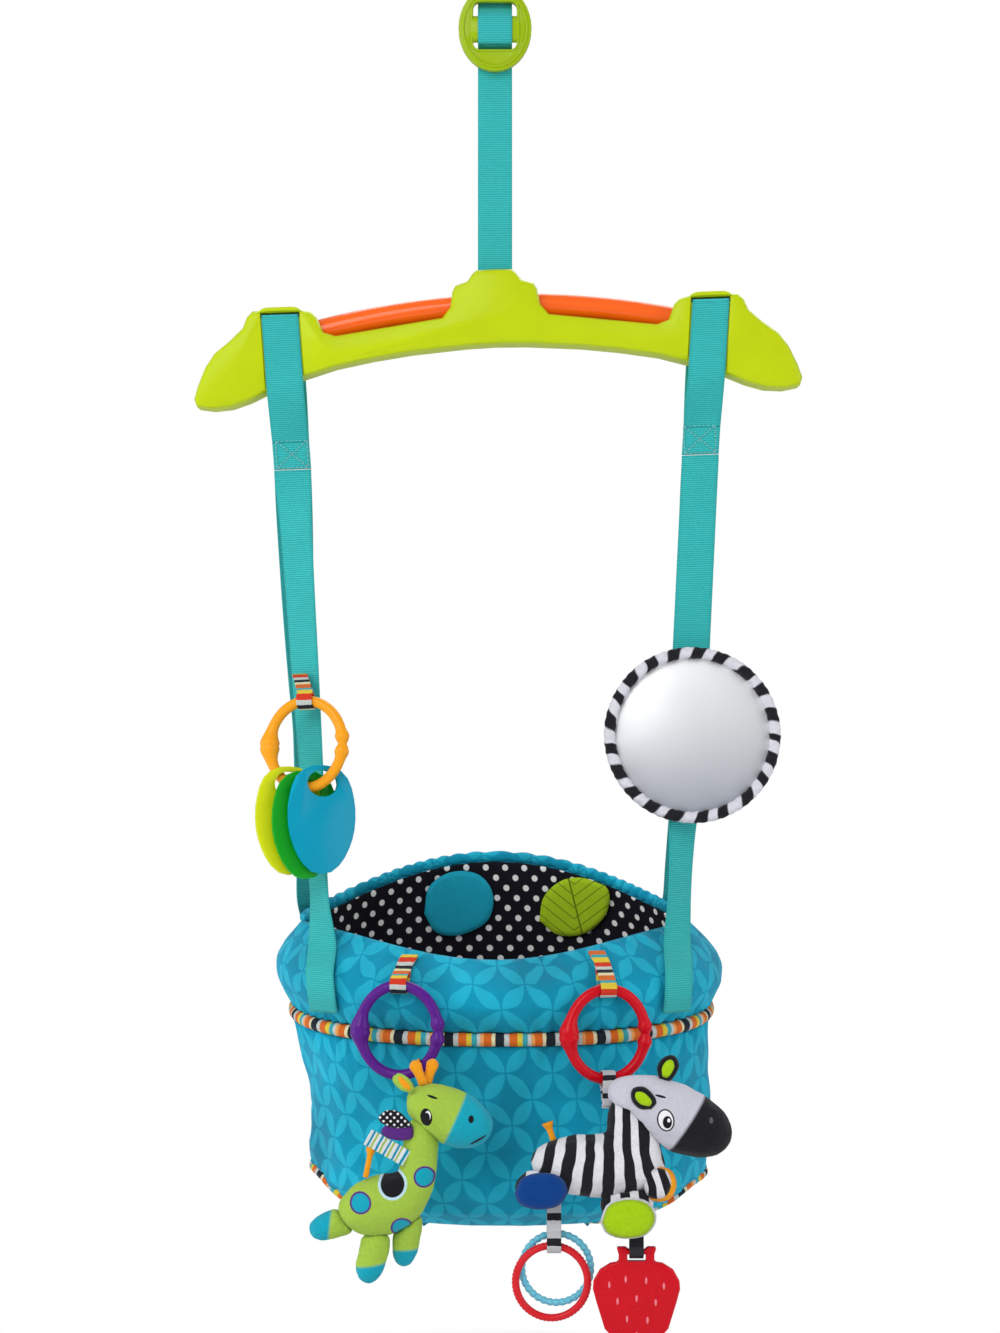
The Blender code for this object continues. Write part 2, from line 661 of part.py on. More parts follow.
def torsion_spring():
    """Turns round the pin, and two legs that lie under the arms."""
    mean = KNUCKLE_RADIUS - 2 * TORSION_WIRE_RADIUS
    pitch = 2 * TORSION_WIRE_RADIUS * TORSION_PITCH_SHARE
    lie = WEB_LIE
    first, last = math.pi * 1.5 + lie, math.pi * 1.5 - lie
    sweep = 2 * math.pi * TORSION_TURNS + (last - first)
    count = TORSION_TURNS * 9
    length = pitch * TORSION_TURNS
    points = []
    for i in range(count + 1):
        angle = first + sweep * i / count
        points.append((length * (i / count - 0.5), mean * math.cos(angle), PIN_Z + mean * math.sin(angle)))
    start, end = np.array(points[0]), np.array(points[-1])
    opened = lie - ARM_OPENING
    start_leg = start + np.array([0, -math.cos(opened), math.sin(opened)]) * TORSION_LEG
    end_leg = end + np.array([0, math.cos(lie), math.sin(lie)]) * TORSION_LEG + np.array([0, 0, -TORSION_LEG_DROP])
    points = [start_leg, (start + start_leg) / 2] + points + [(end + end_leg) / 2, end_leg]
    print("clamp_spring least gap to itself, mm:", round(1000 * least_gap(points, TORSION_WIRE_RADIUS, 6), 2))
    return tube("clamp_spring", points, TORSION_WIRE_RADIUS, STEEL)


def make_clamp():
    group("clamp", Matrix.Identity(4))
    pin_matrix = Matrix.Translation((0, 0, PIN_Z))
    group("clamp_front", pin_matrix, "clamp")
    half = ARM_WIDTH / 2 + GAP + YOKE_SHEET + GAP
    pin = pin_bar("clamp_pin", PIN_RADIUS, half, STEEL)
    for sign in (-1, 1):
        middle = sign * (half + PIN_HEAD_LENGTH / 2)
        head = pin_bar(f"clamp_pin_head_{sign}", PIN_HEAD_RADIUS, PIN_HEAD_LENGTH / 2, None, middle)
        combine(pin, head, "UNION")
    carry("clamp", clamp_arm("clamp_arm_back", 1), clamp_pad("clamp_pad_back", 1), pin, torsion_spring())
    carry("clamp_front", clamp_arm("clamp_arm_front", -1), clamp_pad("clamp_pad_front", -1))


# Yoke, swivel, spring and caps


def make_yoke():
    group("yoke", Matrix.Translation((0, 0, PIN_Z)), "clamp")
    inner = ARM_WIDTH / 2 + GAP
    outer = inner + YOKE_SHEET
    top = PIN_Z + YOKE_DEPTH / 2
    outline = [
        (-outer, BRIDGE_BOTTOM), (outer, BRIDGE_BOTTOM), (outer, top), (inner, top), (inner, BRIDGE_TOP),
        (-inner, BRIDGE_TOP), (-inner, top), (-outer, top),
    ]
    yoke = rounded(plate("clamp_yoke", outline, YOKE_DEPTH, STEEL), CAP_EDGE / 2, 1)
    combine(yoke, pin_bar("yoke_bore", PIN_RADIUS + GAP, outer + OVERRUN))
    combine(yoke, cylinder("yoke_stud_bore", STUD_RADIUS + GAP, (0, 0, BRIDGE_BOTTOM - OVERRUN), (0, 0, BRIDGE_TOP + OVERRUN)))
    carry("yoke", yoke)


def spring_points():
    straight = 2 * SPRING_WIRE_RADIUS
    per_turn = 8
    count = SPRING_TURNS * per_turn
    top, bottom = SPRING_TOP - straight, SPRING_BOTTOM + straight
    points = [(SPRING_RADIUS, 0, SPRING_TOP)]
    for i in range(count + 1):
        angle = 2 * math.pi * i / per_turn
        points.append((SPRING_RADIUS * math.cos(angle), SPRING_RADIUS * math.sin(angle), top + (bottom - top) * i / count))
    points.append((SPRING_RADIUS, 0, SPRING_BOTTOM))
    print("bounce_spring least gap to itself, mm:", round(1000 * least_gap(points[1:-1], SPRING_WIRE_RADIUS, 4), 2))
    return points


def tether_points():
    top, bottom = CAP_BOTTOM - SPIGOT_HEIGHT - GAP, LOWER_CAP_TOP + SPIGOT_HEIGHT + GAP
    lead = 2 * TETHER_RADIUS
    points = [(0, 0, top)]
    for i in range(19):
        share = i / 18
        sway = TETHER_SWAY * math.sin(math.pi * share) * math.sin(2 * math.pi * TETHER_WAVES * share)
        points.append((sway, 0, top - lead + (bottom - top + 2 * lead) * share))
    points.append((0, 0, bottom))
    return points


def make_spring():
    group("swivel", Matrix.Translation((0, 0, BRIDGE_TOP)), "yoke")
    group("carrier", Matrix.Translation((0, 0, LOWER_CAP_TOP)), "swivel")
    stud_top = BRIDGE_TOP + GAP + NUT_HEIGHT + CAP_EDGE
    top_cap = turned(
        "spring_top_cap",
        [
            (0, stud_top), (STUD_RADIUS, stud_top), (STUD_RADIUS, CAP_TOP), (CAP_RADIUS - CAP_EDGE, CAP_TOP),
            (CAP_RADIUS, CAP_TOP - CAP_EDGE), (CAP_RADIUS, CAP_BOTTOM + CAP_EDGE), (CAP_RADIUS - CAP_EDGE, CAP_BOTTOM),
            (SPIGOT_RADIUS, CAP_BOTTOM), (SPIGOT_RADIUS, CAP_BOTTOM - SPIGOT_HEIGHT), (0, CAP_BOTTOM - SPIGOT_HEIGHT),
        ],
        GREY,
    )
    nut = cylinder("swivel_nut", NUT_RADIUS, (0, 0, BRIDGE_TOP + GAP), (0, 0, BRIDGE_TOP + GAP + NUT_HEIGHT), STEEL, 6)
    combine(nut, cylinder("nut_bore", STUD_RADIUS + GAP, (0, 0, BRIDGE_TOP - OVERRUN), (0, 0, stud_top + OVERRUN)))
    spring = tube("bounce_spring", spring_points(), SPRING_WIRE_RADIUS, STEEL)
    tether = tube("safety_tether", tether_points(), TETHER_RADIUS, WEBBING)
    carry("swivel", top_cap, nut, spring, tether)
    lower_cap = turned(
        "spring_bottom_cap",
        [
            (0, LOWER_CAP_TOP + SPIGOT_HEIGHT), (SPIGOT_RADIUS, LOWER_CAP_TOP + SPIGOT_HEIGHT), (SPIGOT_RADIUS, LOWER_CAP_TOP),
            (CAP_RADIUS - CAP_EDGE, LOWER_CAP_TOP), (CAP_RADIUS, LOWER_CAP_TOP - CAP_EDGE),
            (CAP_RADIUS, LOWER_CAP_BOTTOM + CAP_EDGE), (CAP_RADIUS - CAP_EDGE, LOWER_CAP_BOTTOM), (0, LOWER_CAP_BOTTOM),
        ],
        GREY,
    )
    ear_inner = HANGER_WIDTH / 2 + 2 * EAR_FOOT / 3
    ear_outer = ear_inner + EAR_THICKNESS
    for sign in (-1, 1):
        xs = sorted((sign * ear_inner, sign * ear_outer))
        ear = box(
            f"ear_{sign}", (xs[0], -EAR_DEPTH / 2, BAR_Z - EAR_FOOT), (xs[1], EAR_DEPTH / 2, LOWER_CAP_BOTTOM + CAP_HEIGHT / 3)
        )
        combine(lower_cap, ear, "UNION")
    bar_end = ear_outer + GAP
    combine(lower_cap, cylinder("bar_bore", BAR_RADIUS + GAP, (-bar_end - OVERRUN, 0, BAR_Z), (bar_end + OVERRUN, 0, BAR_Z)))
    loop_bar = cylinder("loop_bar", BAR_RADIUS, (-bar_end, 0, BAR_Z), (bar_end, 0, BAR_Z), STEEL)
    carry("carrier", lower_cap, loop_bar)


# Hanging webbing and its adjuster


def arc(centre, radius, start, end, count):
    """Points in Y and Z round a centre, angles in degrees from +Y towards +Z."""
    angles = np.radians(np.linspace(start, end, count))
    return [(centre[0] + radius * math.cos(a), centre[1] + radius * math.sin(a)) for a in angles]


def in_yz(points, x=0.0):
    return [Vector((x, y, z)) for y, z in points]


def make_hanger():
    group("adjuster", Matrix.Translation((0, 0, RING_Z)), "carrier")
    group("hanger", Matrix.Translation(HUB), "adjuster")
    ring = plate("adjuster_ring", ellipse(RING_WIDTH / 2, RING_HEIGHT / 2, 36), RING_DEPTH, OLIVE)
    ring.data.transform(Matrix.Translation((0, 0, RING_Z)))
    rounded(ring, RING_ROUNDING, 1, 60)
    opening = plate("adjuster_opening", rounded_rectangle(OPENING_WIDTH, OPENING_HEIGHT, OPENING_CORNER), RING_DEPTH + 2 * OVERRUN, None)
    opening.data.transform(Matrix.Translation((0, 0, OPENING_Z)))
    combine(ring, opening)
    bar_z = OPENING_Z + GAP - OPENING_HEIGHT / 2 + WEB_THICKNESS + 5 * GAP + RING_BAR_HALF_HEIGHT + RING_BAR_HALF_DEPTH / 2
    bar_outline = [(y, z) for y, z in ellipse(RING_BAR_HALF_DEPTH, RING_BAR_HALF_HEIGHT, 16)]
    bar = plate("adjuster_bar", bar_outline, OPENING_WIDTH + OVERRUN, None)
    bar.data.transform(Matrix.Translation((0, -RING_BAR_FORWARD, bar_z)) @ Matrix.Rotation(math.pi / 2, 4, "Z"))
    combine(ring, bar, "UNION")
    carry("adjuster", ring)

    half = WEB_THICKNESS / 2
    behind = RING_DEPTH / 2 + GAP + half
    further = behind + WEB_THICKNESS + GAP
    over_bar = BAR_RADIUS + GAP + half
    wrap_depth = RING_BAR_HALF_DEPTH + GAP + half
    wrap_height = RING_BAR_HALF_HEIGHT + GAP + half
    rim_top = RING_Z + RING_HEIGHT / 2
    opening_top = OPENING_Z + OPENING_HEIGHT / 2
    opening_bottom = OPENING_Z - OPENING_HEIGHT / 2
    bar_top = bar_z + RING_BAR_HALF_HEIGHT
    wrap = [
        (-RING_BAR_FORWARD - wrap_depth * math.cos(a), bar_z + wrap_height * math.sin(a))
        for a in np.radians(np.linspace(72, -82, 9))
    ]
    sewn_y = -RING_BAR_FORWARD + wrap_depth + GAP
    back_layer = [
        (sewn_y, bar_z), (sewn_y + GAP, bar_z + RING_BAR_HALF_HEIGHT / 2), (behind, bar_top + 2 * GAP),
        (further, opening_top), (further, rim_top),
    ]
    front_layer = [
        (behind, rim_top), (behind, opening_top - 3 * GAP), ((behind - RING_BAR_FORWARD) / 4, (opening_top + bar_top) / 2 - GAP)
    ]
    path = back_layer + arc((0, BAR_Z), over_bar, 0, 180, 7) + front_layer + wrap
    loop_strap = webbing("loop_strap", in_yz(path), HANGER_WIDTH, WEB_THICKNESS, WEBBING)
    carry("carrier", loop_strap)

    pin_z = HUB.z + HUB_PIN_LIFT
    foot_top = HUB.z + BEAM_OUTLINE_SHARES[0][1] * BEAM_FALL
    start = (wrap[-1][0] + WEB_THICKNESS + GAP, wrap[-1][1] - GAP)
    down = [
        start, (behind, opening_bottom + 3 * GAP), (behind, opening_bottom - 2 * RING_ROUNDING), (behind, RING_Z - RING_HEIGHT / 2),
        (0, foot_top + HUB_SLOT_DEPTH), (-over_bar, foot_top),
    ]
    foot = arc((0, pin_z), over_bar + GAP, 180, 360, 7) + [(over_bar + GAP, foot_top - CAP_EDGE)]
    sides = [RIGHT] * (len(down) - 1) + [SWING_AXIS] * (len(foot) + 1)
    hanger_strap = webbing("hanger_strap", in_yz(down + foot), HANGER_WIDTH, WEB_THICKNESS, WEBBING, sides)
    carry("hanger", hanger_strap)


# Cross-beam, made in its own frame


def beam_shell(name, side):
    """Half of the moulding, rounded along its face and hollowed from the joint between the two halves."""
    half = [(x * BEAM_HALF_LENGTH, z * BEAM_FALL) for x, z in BEAM_OUTLINE_SHARES]
    shell = plate(name, mirrored(half), BEAM_DEPTH / 2 - GAP / 2, LIME)
    shell.data.transform(Matrix.Translation((0, side * (BEAM_DEPTH / 4 + GAP / 4), 0)))
    bm = bmesh.new()
    bm.from_mesh(shell.data)
    for inner in (True, False):
        bm.normal_update()
        flat = [f for f in bm.faces if abs(f.normal.y) > 0.9 and (abs(f.calc_center_median().y) < BEAM_DEPTH / 4) == inner]
        bmesh.ops.dissolve_faces(bm, faces=flat)
    bm.normal_update()
    front = [f for f in bm.faces if abs(f.normal.y) > 0.9 and abs(f.calc_center_median().y) > BEAM_DEPTH / 4]
    edges = [e for f in front for e in f.edges]
    bmesh.ops.bevel(bm, geom=edges, offset=BEAM_ROUNDING, segments=2, profile=0.5, affect="EDGES", clamp_overlap=True)
    bmesh.ops.remove_doubles(bm, verts=bm.verts, dist=WELD)
    bm.to_mesh(shell.data)
    bm.free()
    pocket_half = [(x * BEAM_HALF_LENGTH, z * BEAM_FALL) for x, z in POCKET_OUTLINE_SHARES]
    pocket = plate(name + "_pocket", mirrored(pocket_half), BEAM_DEPTH / 2, None)
    pocket.data.transform(Matrix.Translation((0, side * (BEAM_DEPTH / 4 - BEAM_WALL), 0)))
    return combine(smooth_shaded(shell), pocket), pocket


def grip_points(half_length, count=15):
    xs = np.linspace(-half_length, half_length, count)
    return [(x, 0, -GRIP_TOP_DROP - GRIP_ARCH_FALL * (x / GRIP_HALF_LENGTH) ** 2) for x in xs]


def side_loop(name, side):
    """Webbing through the beam's end slot, in the grooves of both faces, down to the box stitch."""
    sign = -1 if side == "left" else 1
    top_x, foot_x = sign * SLOT_X, LOOP_FOOT_X[side]
    half = WEB_THICKNESS / 2
    floor_y = BEAM_DEPTH / 2 - GROOVE_DEPTH
    turn_radius = GAP + half + GAP / 2
    block_bottom = BEAM_FALL * STRAP_LEAVES_SHARE
    join = -SWING_DROP + HINGE_GAP
    stitch_top = -SWING_DROP + BOX_STITCH_LENGTH
    layer = half + GAP / 2
    groove_y = floor_y + turn_radius
    down = [(-groove_y, -SLOT_FLOOR_DROP * 2), (-groove_y, -block_bottom), (-layer * 2, stitch_top), (-layer, stitch_top - OVERRUN), (-layer, join)]
    front = arc((-floor_y, -SLOT_FLOOR_DROP), turn_radius, 90, 180, 4) + down
    back = [(-y, z) for y, z in reversed(front)]
    path = back + front
    centres = []
    for y, z in path:
        share = min(1, max(0, (-z - SLOT_FLOOR_DROP) / (SWING_DROP - SLOT_FLOOR_DROP)))
        centres.append((top_x + (foot_x - top_x) * share, y, z))
    return webbing(name, centres, SIDE_WIDTH, WEB_THICKNESS, WEBBING)


def make_beam():
    group("beam", BEAM_MATRIX, "hanger")
    grip = as_mesh(tube("grip_bar", grip_points(GRIP_HALF_LENGTH), GRIP_RADIUS, ORANGE, resolution=2))
    grip_room = as_cutter(
        as_mesh(tube("grip_room", grip_points(GRIP_HALF_LENGTH + GAP), GRIP_RADIUS + GAP, None, resolution=2))
    )
    pin_end = Vector((HUB_PIN_HALF_LENGTH, 0, HUB_PIN_LIFT))
    pin_start = Vector((-HUB_PIN_HALF_LENGTH, 0, HUB_PIN_LIFT))
    pin = cylinder("hub_pin", BAR_RADIUS, pin_start, pin_end, STEEL)
    pin_room = as_cutter(cylinder("hub_pin_room", BAR_RADIUS + GAP, pin_start - RIGHT * GAP, pin_end + RIGHT * GAP))
    hub_top = BEAM_OUTLINE_SHARES[0][1] * BEAM_FALL
    slot_half = HANGER_WIDTH / 2 + SLOT_SIDE_CLEARANCE
    hub_slot = as_cutter(
        box("hub_slot", (-slot_half, -HUB_SLOT_DEPTH / 2, HUB_SLOT_FLOOR), (slot_half, HUB_SLOT_DEPTH / 2, hub_top + OVERRUN))
    )
    rooms = [grip_room, pin_room, hub_slot]
    slot_half = SIDE_WIDTH / 2 + SLOT_SIDE_CLEARANCE
    for sign in (-1, 1):
        x = sign * SLOT_X
        slot = box(
            f"end_slot_{sign}", (x - slot_half, -BEAM_DEPTH, -SLOT_FLOOR_DROP), (x + slot_half, BEAM_DEPTH, -SLOT_FLOOR_DROP + SLOT_HEIGHT)
        )
        rooms.append(as_cutter(slot))
        low_x = x + (LOOP_FOOT_X["left" if sign < 0 else "right"] - x) * (BEAM_FALL - SLOT_FLOOR_DROP) / (SWING_DROP - SLOT_FLOOR_DROP)
        low_z = -BEAM_FALL - OVERRUN
        high_z = -SLOT_FLOOR_DROP + SLOT_HEIGHT + 3 * GAP
        wide = slot_half + GAP
        outline = [(x - wide, high_z), (low_x - wide, low_z), (low_x + wide, low_z), (x + wide, high_z)]
        for face in (-1, 1):
            groove = plate(f"groove_{sign}_{face}", outline, BEAM_DEPTH, None)
            groove.data.transform(Matrix.Translation((0, face * (BEAM_DEPTH - GROOVE_DEPTH), 0)))
            rooms.append(as_cutter(groove))
    made = [beam_shell("beam_shell_front", -1), beam_shell("beam_shell_rear", 1)]
    shells = [shell for shell, _ in made]
    for shell in shells:
        for room in rooms:
            combine(shell, room)
    rooms += [pocket for _, pocket in made]
    loops = [side_loop("side_loop_left", "left"), side_loop("side_loop_right", "right")]
    carry("beam", *shells, *loops, grip, pin, *rooms, local=True)


# Seat


def on_oval(half_width, half_depth, angle):
    """A point of the seat's rounded-square plan: angle 0 is the right side, 90 degrees the back."""
    power = 2 / SEAT_SQUARENESS
    c, s = math.cos(angle), math.sin(angle)
    return math.copysign(abs(c) ** power, c) * half_width, math.copysign(abs(s) ** power, s) * half_depth


def rim_z(angle):
    """Height of the rim, which rises to a hump at the back and dips at the front."""
    across = on_oval(1, 1, angle)[0]
    if math.sin(angle) > 0:
        return -RIM_DROP + RIM_BACK_RISE * (1 - across**2) ** RIM_BACK_POWER
    return -RIM_DROP - RIM_FRONT_FALL * (1 - across**2) ** RIM_FRONT_POWER


def waist_z(angle):
    return -WAIST_DROP + WAIST_TILT * math.sin(angle)


def collar_point(angle, share, inset=0.0, bulge=COLLAR_BULGE):
    """On the collar's outer skin, from the rim at share 0 to the waist at share 1, moved in by the inset."""
    swell = bulge * math.sin(math.pi * share) - inset
    x, y = on_oval(
        RIM_HALF_WIDTH + (WAIST_HALF_WIDTH - RIM_HALF_WIDTH) * share + swell,
        RIM_HALF_DEPTH + (WAIST_HALF_DEPTH - RIM_HALF_DEPTH) * share + swell,
        angle,
    )
    top, bottom = rim_z(angle), waist_z(angle) + PIPING_RADIUS + GAP
    return Vector((x + WAIST_DRIFT * share, y + SEAT_SETBACK, top + (bottom - top) * share))


def strap_x(side, face, step):
    """Where a strap's middle crosses the collar, at a step of its landing."""
    share = 0.0 if face > 0 and step == 0 else STRAP_COLLAR_SHARES[step]
    half_width = RIM_HALF_WIDTH + (WAIST_HALF_WIDTH - RIM_HALF_WIDTH) * share + COLLAR_BULGE * math.sin(math.pi * share)
    return WAIST_DRIFT * share + half_width * STRAP_LANDING_SHARES[side, face][step]


def collar_at(x, share, face, inset=0.0):
    """The point of the collar's front or back at this x and share of its height."""
    low, high = 0.0, math.pi
    for _ in range(40):
        middle = (low + high) / 2
        if collar_point(face * middle, share, inset).x > x:
            low = middle
        else:
            high = middle
    return collar_point(face * low, share, inset)


def panel_point(angle, row, inset=0.0):
    """On the lower panel's outer skin at a row of its table, moved in by the inset."""
    fall, width = PANEL_SHARES[row]
    x, y = on_oval(WAIST_HALF_WIDTH * width - inset, WAIST_HALF_DEPTH * width - inset, angle)
    top = waist_z(angle) - PIPING_RADIUS - GAP
    return Vector((x + PANEL_DRIFTS[row], y + SEAT_SETBACK, top + (-SEAT_BOTTOM_DROP + inset - top) * fall))


def seat_angles():
    return [2 * math.pi * i / SEAT_COLUMNS for i in range(SEAT_COLUMNS)]


def open_skin(name, rows, pole, thickness, finish):
    """Rows of points from the top down to a pole, thickened inwards."""
    bm = bmesh.new()
    grid = [[bm.verts.new(point) for point in row] for row in rows]
    foot = bm.verts.new(pole)
    for first, second in zip(grid, grid[1:]):
        for i in range(len(first)):
            j = (i + 1) % len(first)
            bm.faces.new((first[i], second[i], second[j], first[j]))
    for i in range(len(grid[-1])):
        bm.faces.new((grid[-1][i], foot, grid[-1][(i + 1) % len(grid[-1])]))
    bm.normal_update()
    mesh = bpy.data.meshes.new(name)
    bm.to_mesh(mesh)
    bm.free()
    skin = smooth_shaded(link(name, mesh, finish))
    centre = Vector((0, SEAT_SETBACK, -WAIST_DROP))
    face = mesh.polygons[0]
    outward = face.normal.dot(face.center - centre) > 0
    if not outward:
        mesh.flip_normals()
    solid = skin.modifiers.new("cloth", "SOLIDIFY")
    solid.thickness = thickness
    solid.offset = -1
    solid.use_even_offset = True
    return skin


def leg_frame(sign):
    centre = Vector((sign * LEG_CENTRE[0] + PANEL_DRIFTS[-2], LEG_CENTRE[1] + SEAT_SETBACK, LEG_CENTRE[2]))
    axis = Vector((sign * LEG_AXIS[0], LEG_AXIS[1], LEG_AXIS[2])).normalized()
    side = axis.cross(BACK).normalized()
    return centre, axis, side, axis.cross(side).normalized()


def inside_panel(point, inset):
    """Whether a point lies within the panel's outer skin, moved in by the inset."""
    top = -WAIST_DROP
    fall = (top - point.z) / (SEAT_BOTTOM_DROP - WAIST_DROP - inset)
    if fall >= 1:
        return False
    falls = [share[0] for share in PANEL_SHARES] + [1.0]
    widths = [share[1] for share in PANEL_SHARES] + [0.0]
    width = float(np.interp(fall, falls, widths))
    drift = float(np.interp(fall, falls, [*PANEL_DRIFTS, PANEL_DRIFTS[-1]]))
    half_width = max(WELD, WAIST_HALF_WIDTH * width - inset)
    half_depth = max(WELD, WAIST_HALF_DEPTH * width - inset)
    across, deep = abs((point.x - drift) / half_width), abs((point.y - SEAT_SETBACK) / half_depth)
    return across**SEAT_SQUARENESS + deep**SEAT_SQUARENESS < 1


def leg_edge(sign, radius, inset, count=24):
    """The curve where a round cutter of this radius leaves the panel."""
    centre, axis, side, other = leg_frame(sign)
    points = []
    for i in range(count):
        angle = 2 * math.pi * i / count
        base = centre + (side * math.cos(angle) + other * math.sin(angle)) * radius
        low, high = -LEG_RADIUS, 3 * LEG_RADIUS
        for _ in range(30):
            middle = (low + high) / 2
            if inside_panel(base + axis * middle, inset):
                low = middle
            else:
                high = middle
        points.append(base + axis * low)
    return points


def make_seat():
    group("seat", BEAM_MATRIX @ Matrix.Translation((0, 0, -SWING_DROP)), "beam")
    angles = seat_angles()
    shares = [i / COLLAR_ROWS for i in range(COLLAR_ROWS + 1)]
    sections = []
    for angle in angles:
        outer = [collar_point(angle, share) for share in shares]
        inner = [collar_point(angle, share, COLLAR_THICKNESS, 0.0) for share in (1.0, 0.0)]
        sections.append(outer + inner)
    collar = loft("seat_collar", sections, SEAT_FABRIC, closed=True)

    rows = [[panel_point(angle, row) for angle in angles] for row in range(len(PANEL_SHARES))]
    panel = open_skin("seat_panel", rows, (PANEL_DRIFTS[-1], SEAT_SETBACK, -SEAT_BOTTOM_DROP), PANEL_THICKNESS, SEAT_FABRIC)
    inset = COLLAR_THICKNESS + LINING_GAP
    rows = [[collar_point(angle, share, inset, 0.0) for angle in angles] for share in (0.0, 1.0)]
    rows += [[panel_point(angle, row, inset) for angle in angles] for row in LINING_ROWS]
    foot = (PANEL_DRIFTS[-1], SEAT_SETBACK, -SEAT_BOTTOM_DROP + inset)
    lining = open_skin("seat_lining", rows, foot, LINING_THICKNESS, LINING)
    for sign, side in ((-1, "left"), (1, "right")):
        centre, axis, _, _ = leg_frame(sign)
        hole = as_cutter(cylinder(f"leg_hole_{side}", LEG_RADIUS, centre, centre + axis * 3 * LEG_RADIUS, segments=28))
        combine(panel, hole)
        combine(lining, hole)
        edge = leg_edge(sign, LEG_RADIUS - LEG_PIPING_RADIUS - 2 * GAP, PANEL_THICKNESS / 2)
        carry("seat", tube(f"leg_piping_{side}", edge, LEG_PIPING_RADIUS, STRIPES, cyclic=True))

    waist = []
    for i in range(44):
        angle = 2 * math.pi * i / 44
        x, y = on_oval(WAIST_HALF_WIDTH - PIPING_INSET, WAIST_HALF_DEPTH - PIPING_INSET, angle)
        waist.append((x + WAIST_DRIFT, y + SEAT_SETBACK, waist_z(angle)))
    piping = tube("waist_piping", waist, PIPING_RADIUS, STRIPES, cyclic=True)
    binding_line = []
    for i in range(29):
        angle = BINDING_START + (math.pi - 2 * BINDING_START) * i / 28
        point = collar_point(angle, 0.0, COLLAR_THICKNESS / 2)
        binding_line.append(point + UP * (BINDING_RADIUS + GAP))
    binding = tube("rim_binding", binding_line, BINDING_RADIUS, SEAT_FABRIC)
    carry("seat", collar, panel, lining, piping, binding)


# Seat straps


def strap_line(side, face):
    """Centres and width directions of one seat strap, from the box stitch to the waist piping."""
    sign = -1 if side == "left" else 1
    join = BEAM_MATRIX @ Vector((LOOP_FOOT_X[side], face * (WEB_THICKNESS + GAP) / 2, -SWING_DROP - HINGE_GAP))
    xs = [strap_x(side, face, step) for step in range(len(STRAP_COLLAR_SHARES))]
    landing = [collar_at(x, share, face, -STRAP_STAND_OFF) for x, share in zip(xs, STRAP_COLLAR_SHARES)]
    if face > 0:
        landing[0] = collar_at(xs[0], 0.0, face, -REAR_RIM_STAND_OFF) + UP * REAR_RIM_STAND_OFF
    x, share = xs[1], STRAP_COLLAR_SHARES[1]
    tangent = collar_at(x + OVERRUN, share, face) - collar_at(x - OVERRUN, share, face)
    last_turn = math.degrees(math.atan(abs(tangent.y / tangent.x)))
    table = REAR_TURN_SHARES
    if face < 0:
        table = FRONT_LEFT_TURN_SHARES if side == "left" else FRONT_RIGHT_TURN_SHARES
    table = table + [(1.0, last_turn)]
    lead = join - UP * 2 * WEB_THICKNESS
    centres, sides = [join], [SWING_AXIS]
    for i in range(STRAP_STEPS):
        share = i / STRAP_STEPS
        centres.append(lead.lerp(landing[0], share))
        bend = math.radians(np.interp(share, [t[0] for t in table], [t[1] for t in table]))
        sides.append(Vector((math.cos(bend), -face * sign * math.sin(bend), SWING_AXIS.z * (1 - share))))
    bend = math.radians(last_turn)
    sides += [Vector((math.cos(bend), -face * sign * math.sin(bend), 0))] * len(landing)
    return centres + landing, sides


def make_straps():
    for side in ("left", "right"):
        for face, label in ((-1, "front"), (1, "rear")):
            centres, sides = strap_line(side, face)
            carry("seat", webbing(f"strap_{label}_{side}", centres, SIDE_WIDTH, WEB_THICKNESS, WEBBING, sides))


# Toy links with their tabs


def rod_crown(width):
    """How far a link's rod curves away across this width of ribbon."""
    return width**2 * LINK_HALF_HEIGHT / (8 * LINK_HALF_WIDTH**2)


def sling_layer(rod, reach, slack, route, width_way, thickness):
    """Centres of a ribbon that comes along the route, goes round the rod and goes back beside itself.

    The fold lies close to the rod on the side that pulls, and stands off it by the slack on the others.
    """
    rod = Vector(rod)
    route = [Vector(point) for point in route]
    across = width_way.normalized()
    towards = route[0] - rod
    towards = (towards - across * towards.dot(across)).normalized()
    normal = across.cross(towards)
    radius = reach + slack + GAP + thickness / 2
    apart = (thickness + GAP) / 2
    fold = []
    for i in range(7):
        angle = math.radians(-100 + 200 * i / 6)
        fold.append(rod + towards * slack + (-towards * math.cos(angle) + normal * math.sin(angle)) * radius)
    offsets = []
    for i, point in enumerate(route):
        ahead = (route[min(i + 1, len(route) - 1)] - (route[i - 1] if i else rod)).normalized()
        offsets.append(across.cross(ahead).normalized() * apart)
    far = [point - offset for point, offset in zip(route, offsets)]
    near = [point + offset for point, offset in zip(route, offsets)]
    return far[::-1] + fold + near, across


def sling(name, rod, reach, slack, route, width, finish, width_way=RIGHT, thickness=RIBBON_THICKNESS):
    """A ribbon folded round a rod, both of its ends side by side at the end of the route."""
    points, across = sling_layer(rod, reach, slack, route, width_way, thickness)
    return webbing(name, points, width, thickness, finish, [across] * len(points))


def link_matrix(top, turn, lean=0.0):
    """Places a link whose rod's top is at the origin of its own frame."""
    return Matrix.Translation(top) @ Matrix.Rotation(-lean, 4, "X") @ Matrix.Rotation(-turn, 4, "Z")


def link_point(angle):
    return Vector((LINK_HALF_WIDTH * math.cos(angle), 0, LINK_HALF_HEIGHT * math.sin(angle) - LINK_HALF_HEIGHT))


